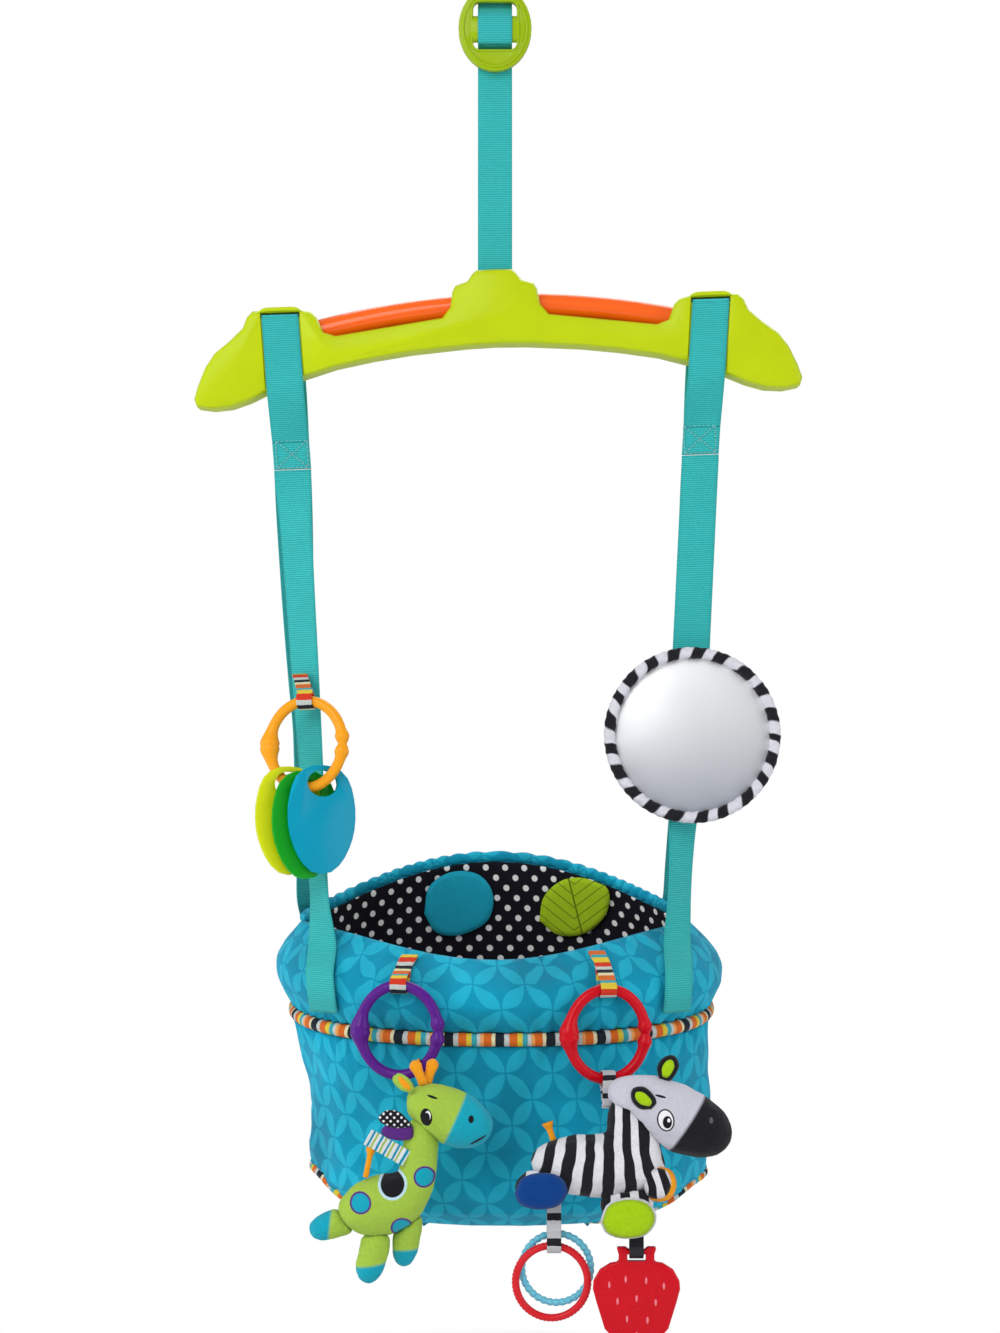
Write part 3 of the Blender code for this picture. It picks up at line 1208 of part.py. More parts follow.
def toy_link(name, matrix, finish):
    """An oval link whose rod swells to a boss on the left and to the two jaws of a clasp on the right."""
    points, radii = [], []
    for i in range(LINK_POINTS):
        angle = 2 * math.pi * i / LINK_POINTS
        signed = math.remainder(angle, 2 * math.pi)
        swell = BOSS_SWELL * math.exp(-(((abs(signed) - math.pi) / BOSS_ANGLE_WIDTH) ** 2))
        for jaw in CLASP_ANGLES:
            swell += CLASP_SWELL * math.exp(-(((signed - jaw) / CLASP_ANGLE_WIDTH) ** 2))
        points.append(link_point(angle))
        radii.append(1 + swell)
    made = tube(name, points, LINK_ROD_RADIUS, finish, cyclic=True, radii=radii)
    made.matrix_world = matrix
    return made


def make_collar_link(colour, finish):
    spot = LINK_SPOTS[colour]
    top = Vector((spot["x"], 0, spot["z"] + LINK_HALF_HEIGHT))
    top.y = collar_at(spot["x"], 0.5, -1).y - spot["stand_off"]
    matrix = link_matrix(top, spot["turn"])
    group(f"{colour}_link", Matrix.Translation(top), "seat")
    carry(f"{colour}_link", toy_link(f"link_{colour}", matrix, finish))
    stand_off = Vector((0, -RIBBON_THICKNESS - 8 * GAP, 0))
    route = []
    for step, share in enumerate(TAB_COLLAR_SHARES):
        x = spot["x"] + spot["tab_lean"] * (step + 1) / len(TAB_COLLAR_SHARES)
        route.append(collar_at(x, share, -1) + stand_off)
    reach = LINK_ROD_RADIUS + rod_crown(TAB_WIDTH)
    slack = LINK_ROD_RADIUS + SLING_SLACK / 2 - reach
    tab = sling(f"tab_{colour}", top, reach, slack, route, TAB_WIDTH, STRIPES, matrix.to_3x3() @ RIGHT)
    carry("seat", tab)
    return matrix


def make_orange_link():
    centres, _ = strap_line("left", -1)
    lean = math.atan2(abs(centres[STRAP_STEPS].y - centres[0].y), abs(centres[STRAP_STEPS].z - centres[0].z)) + math.radians(1)
    top_z = ORANGE_SPOT["z"] + LINK_HALF_HEIGHT * math.cos(lean)
    zs = [c.z for c in reversed(centres[: STRAP_STEPS + 1])]
    strap_y = float(np.interp(top_z, zs, [c.y for c in reversed(centres[: STRAP_STEPS + 1])]))
    top = Vector((ORANGE_SPOT["x"], strap_y - ORANGE_SPOT["forward"], top_z))
    matrix = link_matrix(top, ORANGE_SPOT["turn"], lean)
    group("orange_link", Matrix.Translation(top), "seat")
    carry("orange_link", toy_link("link_orange", matrix, LINK_ORANGE))
    anchor_z = top_z + ORANGE_TAB_RISE
    anchor_y = float(np.interp(anchor_z, zs, [c.y for c in reversed(centres[: STRAP_STEPS + 1])]))
    anchor_x = float(np.interp(anchor_z, zs, [c.x for c in reversed(centres[: STRAP_STEPS + 1])]))
    strap_turn = math.radians(np.interp(0.45, [t[0] for t in FRONT_LEFT_TURN_SHARES], [t[1] for t in FRONT_LEFT_TURN_SHARES]))
    face = Vector((-math.sin(strap_turn), -math.cos(strap_turn), 0))
    anchor = Vector((anchor_x, anchor_y, anchor_z)) + face * TAB_STAND_OFF
    reach = LINK_ROD_RADIUS + rod_crown(TAB_WIDTH)
    slack = LINK_ROD_RADIUS + SLING_SLACK - reach
    tab = sling("tab_orange", top, reach, slack, [anchor], TAB_WIDTH, STRIPES, matrix.to_3x3() @ RIGHT)
    carry("seat", tab)
    foot = matrix @ link_point(-math.pi / 2)
    group("discs", Matrix.Translation(foot), "orange_link")
    for step, (colour, finish) in enumerate((("yellow", YELLOW), ("green", GREEN), ("blue", BLUE))):
        shift = (step - 1) * DISC_SPACING
        angle = -math.pi / 2 + math.asin(shift / LINK_HALF_WIDTH)
        spot = matrix @ link_point(angle)
        carry("discs", teething_disc(f"disc_{colour}", spot, lean, finish, DISC_HOLE_DROPS[step]))


def teething_disc(name, spot, lean, finish, hole_drop):
    """A flat leaf shape whose hole lies below the rod that it hangs on, with only running clearance above it."""
    half = [(x * DISC_HALF_WIDTH, z * DISC_FALL) for x, z in DISC_OUTLINE_SHARES]
    fine = smooth_path(half, 15)
    fine[0][0] = fine[-1][0] = 0
    disc = plate(name, mirrored([tuple(p) for p in fine]), DISC_THICKNESS, finish)
    hole = plate(name + "_hole", ellipse(DISC_HOLE_WIDTH / 2, DISC_HOLE_HEIGHT / 2, 18), DISC_THICKNESS + 2 * OVERRUN, None)
    turn = Matrix.Translation(spot) @ Matrix.Rotation(-lean, 4, "X") @ Matrix.Rotation(DISC_TURN, 4, "Z")
    disc.matrix_world = turn
    hole.matrix_world = turn @ Matrix.Translation((0, 0, -hole_drop))
    combine(disc, hole)
    return disc


# Mirror


def make_mirror():
    centres, _ = strap_line("right", -1)
    line = list(reversed(centres[: STRAP_STEPS + 1]))
    zs = [c.z for c in line]
    middle = Vector((
        float(np.interp(MIRROR_Z, zs, [c.x for c in line])), float(np.interp(MIRROR_Z, zs, [c.y for c in line])), MIRROR_Z
    ))
    above = Vector((
        float(np.interp(MIRROR_Z + MIRROR_RADIUS, zs, [c.x for c in line])),
        float(np.interp(MIRROR_Z + MIRROR_RADIUS, zs, [c.y for c in line])),
        MIRROR_Z + MIRROR_RADIUS,
    ))
    along = (above - middle).normalized()
    facing = (-BACK - along * (-BACK).dot(along)).normalized()
    across = along.cross(facing).normalized()
    turn = Matrix((across, along, facing)).transposed().to_4x4()
    matrix = Matrix.Translation(middle + across * MIRROR_SIDE_SHIFT) @ turn
    group("mirror", matrix, "seat")
    back = MIRROR_STAND_OFF
    front = back + MIRROR_DEPTH
    seat_z = back + MIRROR_BACK_WALL
    rim = MIRROR_RIM_WIDTH
    profile = [(0, seat_z), (GLASS_RADIUS + GAP, seat_z)]
    profile += [(GLASS_RADIUS + GAP, seat_z + GLASS_THICKNESS)]
    centre_r, centre_z = MIRROR_RADIUS - rim / 2, front - rim / 2
    for i in range(5):
        angle = math.pi - math.pi * i / 4
        profile.append((centre_r + (rim / 2) * math.cos(angle), centre_z + (rim / 2) * math.sin(angle)))
    profile += [(MIRROR_RADIUS, back + rim / 2), (MIRROR_RADIUS - rim / 3, back), (0, back)]
    frame = turned("mirror_frame", profile, PLUSH_WHITE, 40)
    inner_w, inner_t = SIDE_WIDTH / 2 + MIRROR_LOOP_CLEARANCE, WEB_THICKNESS / 2 + MIRROR_LOOP_CLEARANCE
    loop_half = MIRROR_LOOP_HEIGHT / 2
    wall = MIRROR_LOOP_WALL
    left, right = -inner_w - MIRROR_SIDE_SHIFT, inner_w - MIRROR_SIDE_SHIFT
    outer_loop = box("mirror_loop", (left - wall, -loop_half, -inner_t - wall), (right + wall, loop_half, back + wall / 2))
    combine(frame, outer_loop, "UNION")
    combine(frame, box("mirror_loop_room", (left, -loop_half - OVERRUN, -inner_t), (right, loop_half + OVERRUN, inner_t)))
    glass_low = seat_z + GAP
    glass = cylinder("mirror_glass", GLASS_RADIUS, (0, 0, glass_low), (0, 0, glass_low + GLASS_THICKNESS), MIRROR_GLASS, 40)
    loose = [bpy.data.objects[name] for name in ("mirror_loop", "mirror_loop_room")]
    carry("mirror", frame, glass, *loose, local=True)


# Soft toys


def blob(name, shape, forward, finish, grow=0.0):
    """A stuffed form that swells and tapers along its spine, with rounded ends."""
    lean = shape.get("lean", 0.0)
    spine = [(x, z, half) for (x, z), half in zip(shape["spine"], shape["half"])]
    fine = smooth_path(spine, 41)
    line = np.array([(x, z) for x, z, _ in fine])
    length = np.linalg.norm(np.diff(line, axis=0), axis=1).sum()
    extra = grow / length
    rings = []
    for i in range(PLUSH_RINGS + 2):
        share = (1 - math.cos(math.pi * i / (PLUSH_RINGS + 1))) / 2
        reach = -extra + (1 + 2 * extra) * share
        index = min(max(reach, 0.0), 1.0) * 40
        x, z, half = (float(np.interp(index, range(41), fine[:, k])) for k in range(3))
        low, high = max(0, int(index) - 1), min(40, int(index) + 2)
        ahead = line[high] - line[low]
        ahead = ahead / np.linalg.norm(ahead)
        over = reach - min(max(reach, 0.0), 1.0)
        centre = np.array([x, z]) + ahead * over * length
        taper = max(0.0, 1 - abs(2 * share - 1) ** PLUSH_ROUNDNESS) ** 0.5
        position = Vector((centre[0], -forward + lean * share, centre[1]))
        if taper == 0:
            rings.append([position])
            continue
        normal = Vector((-ahead[1], 0, ahead[0]))
        ring = []
        for k in range(PLUSH_SIDES):
            angle = 2 * math.pi * k / PLUSH_SIDES
            ring.append(
                position
                + normal * (half * taper + grow) * math.cos(angle)
                + BACK * (shape["depth"] * taper + grow) * math.sin(angle)
            )
        rings.append(ring)
    return loft(name, rings, finish)


def soft_toy(name, blobs, head, legs, forward, finish, sewn):
    """A body with its neck, a head and legs, each cut back from the larger ones, and from what is sewn in."""
    body = blob(f"{name}_body", blobs["rump"], forward, finish)
    combine(body, blob(f"{name}_neck", blobs["neck"], forward, None), "UNION")
    grown = [as_cutter(blob(f"{name}_room_{key}", shape, forward, None, SEAM_GAP)) for key, shape in blobs.items()]
    head_blob = blob(f"{name}_head", head, forward, finish)
    for room in grown:
        combine(head_blob, room)
    pieces = [head_blob]
    for key, shape in legs.items():
        leg = blob(f"{name}_leg_{key}", shape, forward, finish)
        for room in grown:
            combine(leg, room)
        pieces.append(leg)
    for piece in [body] + pieces:
        for room in sewn:
            combine(piece, room)
    return [body] + pieces


def sewn_sling(name, rod, reach, slack, anchor, width, finish, width_way=RIGHT):
    """A sling whose anchor end is sewn into a soft toy, and the room that it takes there."""
    made = sling(name, rod, reach, slack, [anchor], width, finish, width_way)
    reach = reach + slack
    rod, anchor = Vector(rod), Vector(anchor)
    across = width_way.normalized()
    towards = (anchor - rod).normalized()
    normal = across.cross(towards).normalized()
    deep = anchor + towards * GAP
    start = rod + towards * (reach + RIBBON_THICKNESS + 2 * GAP)
    thick = 2 * RIBBON_THICKNESS + 3 * GAP
    start_thick = 2 * (reach + RIBBON_THICKNESS + 2 * GAP)
    rings = []
    for point, depth in ((start, start_thick), (deep, thick)):
        a, b = across * (width / 2 + GAP), normal * (depth / 2)
        rings.append([point - a - b, point + a - b, point + a + b, point - a + b])
    room = as_cutter(loft(name + "_room", rings, None))
    return made, room


def toy_forward(link_placed, head, clearance):
    """How far in front of the origin a toy's middle lies, so that its head clears the link's clasp."""
    return -link_placed.translation.y + LINK_ROD_RADIUS * (1 + CLASP_SWELL) + head["depth"] + clearance


def make_giraffe(link_placed):
    forward = toy_forward(link_placed, GIRAFFE_HEAD, GIRAFFE_LINK_CLEARANCE)
    angle = math.radians(-56)
    rod = link_placed @ link_point(angle)
    ahead = link_placed.to_3x3() @ Vector((-LINK_HALF_WIDTH * math.sin(angle), 0, LINK_HALF_HEIGHT * math.cos(angle)))
    head_half = GIRAFFE_HEAD["half"][0]
    anchor = Vector((GIRAFFE_HEAD["spine"][0][0] + head_half, -forward, GIRAFFE_HEAD["spine"][1][1] + head_half / 2))
    group("giraffe", Matrix.Translation(rod), "purple_link")
    width = SLING_WIDTH * GIRAFFE_LOOP_SHARE
    reach = LINK_ROD_RADIUS + rod_crown(width)
    slack = LINK_ROD_RADIUS + SLING_SLACK - reach
    loop, room = sewn_sling("giraffe_loop", rod, reach, slack, anchor, width, ORANGE, ahead.normalized())
    pieces = soft_toy("giraffe", GIRAFFE_BLOBS, GIRAFFE_HEAD, GIRAFFE_LEGS, forward, PLUSH_LIME, [room])
    carry("giraffe", loop, *pieces)


def ring_loop(name, centre, radius, rod_radius, finish, count=28):
    points = [centre + Vector((radius * math.cos(a), 0, radius * math.sin(a))) for a in np.linspace(0, 2 * math.pi, count, endpoint=False)]
    return tube(name, points, rod_radius, finish, cyclic=True)


def make_zebra(link_placed):
    forward = toy_forward(link_placed, ZEBRA_HEAD, ZEBRA_LINK_CLEARANCE)
    rod = link_placed @ link_point(-math.pi / 2)
    ahead = link_placed.to_3x3() @ RIGHT
    neck = ZEBRA_BLOBS["neck"]
    anchor = Vector((rod.x, -forward + neck["depth"] / 3, neck["spine"][2][1] - neck["half"][2] / 2))
    group("zebra", Matrix.Translation(rod), "red_link")
    reach = LINK_ROD_RADIUS + rod_crown(SLING_WIDTH)
    slack = LINK_ROD_RADIUS + SLING_SLACK - reach
    loop, loop_room = sewn_sling("zebra_loop", rod, reach, slack, anchor, SLING_WIDTH, PLUSH_WHITE, ahead)

    rings_y = -forward - RINGS_APART / 4
    red_top = Vector((RINGS_X, rings_y - RINGS_APART / 2, RED_RING_Z + RED_RING_RADIUS))
    aqua_top = Vector((RINGS_X + AQUA_SIDE_SHIFT, rings_y + RINGS_APART / 2, AQUA_RING_Z + AQUA_RING_RADIUS))
    pair_middle = (red_top + aqua_top) / 2
    reach = ((red_top - aqua_top).length + RED_ROD_RADIUS + AQUA_ROD_RADIUS) / 2 + SLING_SLACK / 4
    slack = SLING_SLACK / 4
    rear_leg = ZEBRA_LEGS["rear"]
    rear_anchor = Vector((pair_middle.x, rings_y, rear_leg["spine"][1][1] - rear_leg["half"][1] / 2))
    ribbon_rings, rings_room = sewn_sling("ribbon_rings", pair_middle, reach, slack, rear_anchor, RIBBON_WIDTH, PLUSH_WHITE)

    berry_top = Vector((BERRY_X, -forward - BERRY_FORWARD, BERRY_BAR_Z))
    berry_reach = math.hypot(BERRY_THICKNESS, BERRY_BAR_HEIGHT) / 2
    front_leg = ZEBRA_LEGS["front"]
    front_anchor = Vector((BERRY_X, berry_top.y, front_leg["spine"][2][1] + front_leg["half"][2] / 2))
    ribbon_berry, berry_room = sewn_sling("ribbon_berry", berry_top, berry_reach, 0, front_anchor, RIBBON_WIDTH, RUBBER)

    rooms = [loop_room, rings_room, berry_room]
    pieces = soft_toy("zebra", ZEBRA_BLOBS, ZEBRA_HEAD, ZEBRA_LEGS, forward, PLUSH_WHITE, rooms)
    carry("zebra", loop, ribbon_rings, ribbon_berry, *pieces)

    group("red_ring", Matrix.Translation(red_top), "zebra")
    group("aqua_ring", Matrix.Translation(aqua_top), "zebra")
    carry("red_ring", ring_loop("ring_red", red_top - UP * RED_RING_RADIUS, RED_RING_RADIUS, RED_ROD_RADIUS, RED))
    carry("aqua_ring", ring_loop("ring_aqua", aqua_top - UP * AQUA_RING_RADIUS, AQUA_RING_RADIUS, AQUA_ROD_RADIUS, AQUA))

    group("berry", Matrix.Translation(berry_top), "zebra")
    outline = mirrored([(x * BERRY_HALF_WIDTH, z * BERRY_FALL) for x, z in BERRY_OUTLINE_SHARES])
    berry = rounded(plate("berry", outline, BERRY_THICKNESS, RED), BERRY_EDGE, 1, 60)
    berry.matrix_world = Matrix.Translation(berry_top)
    hole_z = -BERRY_BAR_HEIGHT / 2 - BERRY_HOLE_HEIGHT / 2
    hole = box(
        "berry_hole", (-BERRY_HOLE_WIDTH / 2, -BERRY_THICKNESS, hole_z - BERRY_HOLE_HEIGHT / 2),
        (BERRY_HOLE_WIDTH / 2, BERRY_THICKNESS, hole_z + BERRY_HOLE_HEIGHT / 2),
    )
    hole.matrix_world = Matrix.Translation(berry_top)
    combine(berry, hole)
    carry("berry", berry)


make_clamp()
make_yoke()
make_spring()
make_hanger()
make_beam()
make_seat()
make_straps()
purple_placed = make_collar_link("purple", LINK_PURPLE)
red_placed = make_collar_link("red", RED)
make_orange_link()
make_mirror()
make_giraffe(purple_placed)
make_zebra(red_placed)
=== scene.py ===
# Baby doorway jumper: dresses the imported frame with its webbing, fabric, plastics and toys
import json
import math
from types import SimpleNamespace

import bmesh
import bpy
import numpy as np
from bpy.props import FloatProperty, FloatVectorProperty, PointerProperty
from bpy.types import Operator, Panel, PropertyGroup
from mathutils import Matrix, Vector, noise
from mathutils.bvhtree import BVHTree

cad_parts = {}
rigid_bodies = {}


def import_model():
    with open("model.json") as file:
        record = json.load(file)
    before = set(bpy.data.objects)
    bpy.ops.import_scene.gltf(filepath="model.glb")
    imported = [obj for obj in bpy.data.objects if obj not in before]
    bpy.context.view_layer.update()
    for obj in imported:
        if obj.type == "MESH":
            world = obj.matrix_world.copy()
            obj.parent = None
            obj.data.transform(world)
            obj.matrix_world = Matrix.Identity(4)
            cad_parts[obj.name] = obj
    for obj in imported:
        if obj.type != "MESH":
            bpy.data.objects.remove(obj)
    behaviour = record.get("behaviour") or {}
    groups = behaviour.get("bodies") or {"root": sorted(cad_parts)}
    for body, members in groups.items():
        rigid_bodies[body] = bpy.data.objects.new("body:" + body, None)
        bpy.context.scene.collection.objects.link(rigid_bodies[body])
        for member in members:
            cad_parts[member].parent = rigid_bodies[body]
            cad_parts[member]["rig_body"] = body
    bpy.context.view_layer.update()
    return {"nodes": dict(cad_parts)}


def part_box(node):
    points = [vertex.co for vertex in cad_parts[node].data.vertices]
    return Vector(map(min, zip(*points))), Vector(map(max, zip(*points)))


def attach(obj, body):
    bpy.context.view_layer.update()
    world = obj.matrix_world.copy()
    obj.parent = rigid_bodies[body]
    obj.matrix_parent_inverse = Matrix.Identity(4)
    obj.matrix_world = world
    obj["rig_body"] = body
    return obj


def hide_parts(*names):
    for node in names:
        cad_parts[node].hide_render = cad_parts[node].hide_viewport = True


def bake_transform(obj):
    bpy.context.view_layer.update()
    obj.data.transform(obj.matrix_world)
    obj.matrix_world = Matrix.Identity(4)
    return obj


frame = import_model()
NODES = frame["nodes"]

bl_info = {
    "name": "Baby doorway jumper",
    "version": (1, 0, 0),
    "blender": (4, 5, 0),
    "location": "View3D > Sidebar > Jumper",
    "description": "Dresses the packed jumper with webbing, fabric, plastics and toys",
    "category": "Object",
}

# Places and sizes repeated from the solids, in metres
RIGHT = Vector((1, 0, 0))
BACK = Vector((0, 1, 0))
UP = Vector((0, 0, 1))
GAP = 0.0003
HUB = Vector((0, 0, -0.7121))
BEAM_LEAN = math.radians(2.1)
BEAM_MATRIX = Matrix.Translation(HUB) @ Matrix.Rotation(-BEAM_LEAN, 4, "Y")
SWING_AXIS = BEAM_MATRIX.to_3x3() @ RIGHT
SPRING_TOP = -0.1906
SPRING_BOTTOM = -0.3656
SPRING_RADIUS = 0.0178
SPRING_WIRE = 0.002
SPRING_TURNS = 18
SPIGOT_TOP = -0.2026
SPIGOT_BOTTOM = -0.3536
BAR_Z = -0.3989
BAR_RADIUS = 0.003
RING_Z = -0.5007
RING_HALF = (0.0285, 0.0335)
RING_DEPTH = 0.009
OPENING_Z = -0.4988
OPENING_HALF = (0.017, 0.0185)
RING_BAR_Z = -0.5014
RING_BAR_HALF = (0.004, 0.0105)
RING_BAR_FORWARD = 0.002
HANGER_WIDTH = 0.0267
SIDE_WIDTH = 0.0288
WEB = 0.0016
BEAM_FALL = 0.0784
BEAM_FACE = 0.020
SLOT_X = 0.167
SLOT_FLOOR_DROP = 0.0095
GROOVE_DEPTH = 0.0021
LOOP_FOOT_X = {"left": -0.1625, "right": 0.1555}
SWING_DROP = 0.1265
STITCH_BOX_LENGTH = 0.0235
HINGE_GAP = 0.00026
GRIP_HALF_LENGTH = 0.143
GRIP_RADIUS = 0.0093
SETBACK = 0.026
RIM_Z = -1.199
WAIST_Z = -1.2650
SEAT_BOTTOM = -1.4330
COLLAR_HALF = (0.152, 0.108)
COLLAR_SPREAD = (0.011, 0.015)
COLLAR_THICKNESS = 0.0065
WAIST_HALF = (0.163, 0.123)
PANEL_FALLS = (0, 0.2, 0.42, 0.6, 0.75, 0.86, 0.94, 0.985)
PANEL_WIDTHS = (1, 0.985, 0.957, 0.966, 0.945, 0.87, 0.70, 0.40)
PANEL_DRIFTS = (0.005, 0.0075, 0.0120, 0.0104, 0.0104, 0.010, 0.009, 0.008)
LEG_RADIUS = 0.052
LEG_EDGE_RADIUS = 0.0479
STRAP_STEPS = 12
STRAP_SHARES = (0.12, 0.40, 0.65, 0.88)
STRAP_LANDINGS = {
    ("left", -1): (-0.82778, -0.77801, -0.76917, -0.79854),
    ("right", -1): (0.86904, 0.793, 0.77488, 0.79439),
    ("left", 1): (-0.93421, -0.84717, -0.84623, -0.87578),
    ("right", 1): (0.90789, 0.80683, 0.79201, 0.80567),
}
STRAP_TURNS = {
    ("left", -1): ((0, 0), (0.1, 28), (0.26, 36), (0.44, 41), (0.6, 47), (0.85, 58), (0.93, 57)),
    ("right", -1): ((0, 0), (0.668, 0), (0.76, 42), (0.88, 53)),
    ("left", 1): ((0, 0), (0.15, 20), (0.6, 62)),
    ("right", 1): ((0, 0), (0.15, 20), (0.6, 62)),
}
LINK_HALF = (0.0295, 0.0335)
LINK_ROD = 0.0041
RIBBON = 0.0011
TAB_WIDTH = 0.0125
GIRAFFE_Y = -0.140
ZEBRA_Y = -0.143
FLOOR_Z = -1.585
SIDES = ((-1, "left"), (1, "right"))
FACES = ((-1, "front"), (1, "rear"))

# The camera and the stage
WHITE = (1, 1, 1, 1)
SENSOR = 36
CAMERA_DISTANCE = 2.6
PHOTO_SIZE = (1000, 1333)
PHOTO_SCALE = 0.00078
TOY_SCALE = 0.00073
AIM = Vector((0.0039, 0, -0.998))
FLOOR_RINGS = (0.02, 0.3, 0.8, 2.5, 7.0)
SHADOW_MIDDLE_Y = 0.03
SHADOW_FADE = (0.23, 0.33)

# Details that are only made here, in metres; profiles are pairs of radius and height
WARP_PITCH = 0.0011
GROSGRAIN_PITCH = 0.0009
SEAM_BLUR = 0.0012
PAD_RIBS = 9
PAD_MARGIN = 0.002
PAD_RIB_RISE = 0.0005
PAD_RIB_HALF = 0.0011
PIN_HEAD = [(0, -0.0006), (0.0048, -0.0006), (0.005, 0), (0.0043, 0.0011), (0.0026, 0.0018), (0, 0.0020)]
TETHER_SWAY = 0.008
TETHER_RADIUS = 0.0019
RIM_INSET = 0.0036
RIM_PROUD = 0.0012
HUB_TOP_SHARE = 0.283
HUB_PIN_RISE = 0.0125
GRIP_TOP = 0.0043
GRIP_FALL = 0.0166
LIP_RADIUS = 0.0017
LIP_ARCH = 0.0019
LIP_HALF_LENGTH = 0.0162
LIP_INSET = 0.0006
LIP_DROP = 0.0050
BEAM_SCREWS = ((-0.196, -0.050), (-0.075, -0.026), (0.075, -0.026), (0.196, -0.050))
SCREW_SEAT = [
    (0.0022, -0.0004), (0.0048, -0.0004), (0.0050, 0.0005), (0.0046, 0.0011), (0.0034, 0.0011),
    (0.0031, -0.0003),
]
SCREW_HEAD = [
    (0, -0.0003), (0.0009, 0.0001), (0.0012, 0.0006), (0.0025, 0.0006), (0.0028, 0.0), (0.0029, -0.0006),
    (0, -0.0006),
]
LANDING_STITCH_REACH = 0.0120
STITCH_PROUD = 0.0010
BOX_THREAD = 0.0006
BLOCK_SHARE = 0.885
BOX_STITCH_HALF = 0.0122
LINING_INSET = 0.0075
PATCH_INSET = 0.0085
LEAF_MIDDLE = (0.0645, -1.190)
LEAF_PATCH = [
    (0.036, -1.206), (0.040, -1.186), (0.056, -1.172), (0.078, -1.171), (0.092, -1.180), (0.090, -1.200),
    (0.074, -1.216), (0.052, -1.218),
]
PLAIN_PATCH = [
    (-0.058, -1.200), (-0.054, -1.178), (-0.036, -1.166), (-0.014, -1.168), (-0.002, -1.184),
    (-0.006, -1.206), (-0.028, -1.218), (-0.048, -1.216),
]
TAB_LEAN = 0.0075
TAB_SLACK = 0.0011
MIRROR_RADIUS = 0.068
MIRROR_RIM = 0.0085
MIRROR_BACK = 0.0108
MIRROR_FRONT = 0.0238
MIRROR_FILM_RADIUS = 0.060
MIRROR_MIDDLE_Z = -1.052
# Painted reflection on the mirror film, dark at its foot and light at its top
PAINTED_REFLECTION_STOPS = ((0.0, "A4A9B4"), (0.45, "CFD1D6"), (1.0, "F2F3F4"))
MIRROR_BACK_PROFILE = [
    (0.0, MIRROR_BACK + 0.0028), (0.0592, MIRROR_BACK + 0.0028), (0.0640, MIRROR_BACK + 0.0010),
    (0.0630, MIRROR_BACK), (0.040, MIRROR_BACK - 0.0003), (0.0, MIRROR_BACK),
]
LOOP_WALL = 0.0016
LOOP_SHIFT = 0.003
LOOP_WIDTH = 0.036
TOY_RIBBON_WIDTH = 0.0105
RED_RING_ROD = 0.0029
RED_RING_RADIUS = 0.0265
AQUA_RING_ROD = 0.0027
AQUA_RING_RADIUS = 0.0254
RED_RING_TOP = Vector((0.0419, -0.14765, -1.4241))
AQUA_RING_TOP = Vector((0.0454, -0.14145, -1.4162))
BERRY_TOP = Vector((0.1040, -0.1546, -1.427))
BERRY_SEEDS = (
    (-0.020, -0.024), (-0.008, -0.020), (0.007, -0.021), (0.020, -0.025), (-0.014, -0.036), (0.0, -0.034),
    (0.014, -0.037), (-0.007, -0.049), (0.008, -0.050), (0.0, -0.061),
)

# Places on the soft toys, in x and z
HORN_FOOT = (-0.0535, -1.3035)
EAR_FOOT = (-0.0605, -1.3100)
GIRAFFE_TAIL_ROOT = (-0.0950, -1.3740)
GIRAFFE_LOOP_FOOT = (-0.0485, -1.31925)
HOOF_SEAMS = {
    "rear": ((-0.1205, -1.40), (-0.1235, -1.43)),
    "middle": ((-0.11, -1.441), (-0.075, -1.436)),
    "front": ((-0.085, -1.4295), (-0.050, -1.4275)),
}
ZEBRA_STRIPE_MIDDLE = (0.085, -1.365)
ZEBRA_LOOP_FOOT_Z = -1.32325
RINGS_RIBBON_TOP_Z = -1.38625
BERRY_RIBBON_TOP_Z = -1.40675

# Outlines of the soft toys' leaves of cloth, in x and z from where they are sewn on
HORN = [
    (-0.0030, -0.004), (-0.0036, 0.006), (-0.0046, 0.013), (0.0, 0.0165), (0.0046, 0.013), (0.0036, 0.006),
    (0.0030, -0.004),
]
GIRAFFE_EAR = [(-0.002, 0), (-0.0055, 0.007), (-0.003, 0.0155), (0.002, 0.0165), (0.0045, 0.008), (0.002, 0)]
UPPER_WING = [
    (0.004, -0.003), (-0.006, 0.0070), (-0.016, 0.0080), (-0.0215, 0.002), (-0.016, -0.003), (-0.006, -0.005),
]
LOWER_WING = [
    (0.004, -0.004), (-0.006, -0.002), (-0.016, -0.003), (-0.0195, -0.009), (-0.010, -0.0140),
    (0.003, -0.013),
]
ZEBRA_EAR = [
    (-0.003, -0.004), (-0.0075, 0.004), (-0.0055, 0.0125), (0.0015, 0.0165), (0.0075, 0.0105),
    (0.0065, 0.001), (0.003, -0.004),
]
ZEBRA_SOLE = [
    (-0.0195, -0.002), (-0.014, 0.0095), (0.0, 0.0135), (0.014, 0.0105), (0.0195, 0.0), (0.013, -0.0105),
    (-0.002, -0.0135), (-0.015, -0.010),
]


# Places on the soft toys, in pixels of the photograph
GIRAFFE_SPOTS = ((392, 1187), (424, 1180), (401, 1231), (360, 1205))
GIRAFFE_SPOT_RADII = (12, 9, 9, 9)
GIRAFFE_MUZZLE_SEAM = ((440, 1155), (465, 1100))
GIRAFFE_EYE = (426, 1119)
GIRAFFE_BROW = (432, 1099)
GIRAFFE_NOSTRIL = (471, 1121)
GIRAFFE_MOUTH = (478, 1143)
GIRAFFE_WINGS = (407, 1124)
CRINKLE_RIBBON_ENDS = ((367, 1140), (408, 1163))
ZEBRA_MUZZLE_SEAM = ((672, 1152), (703, 1105))
ZEBRA_EYE = (666, 1121)
ZEBRA_BROW = (661, 1099)
ZEBRA_NOSTRIL = (712, 1122)
ZEBRA_EARS = ((666, 1071), (650, 1096))
ZEBRA_REAR_FOOT = (541, 1191)
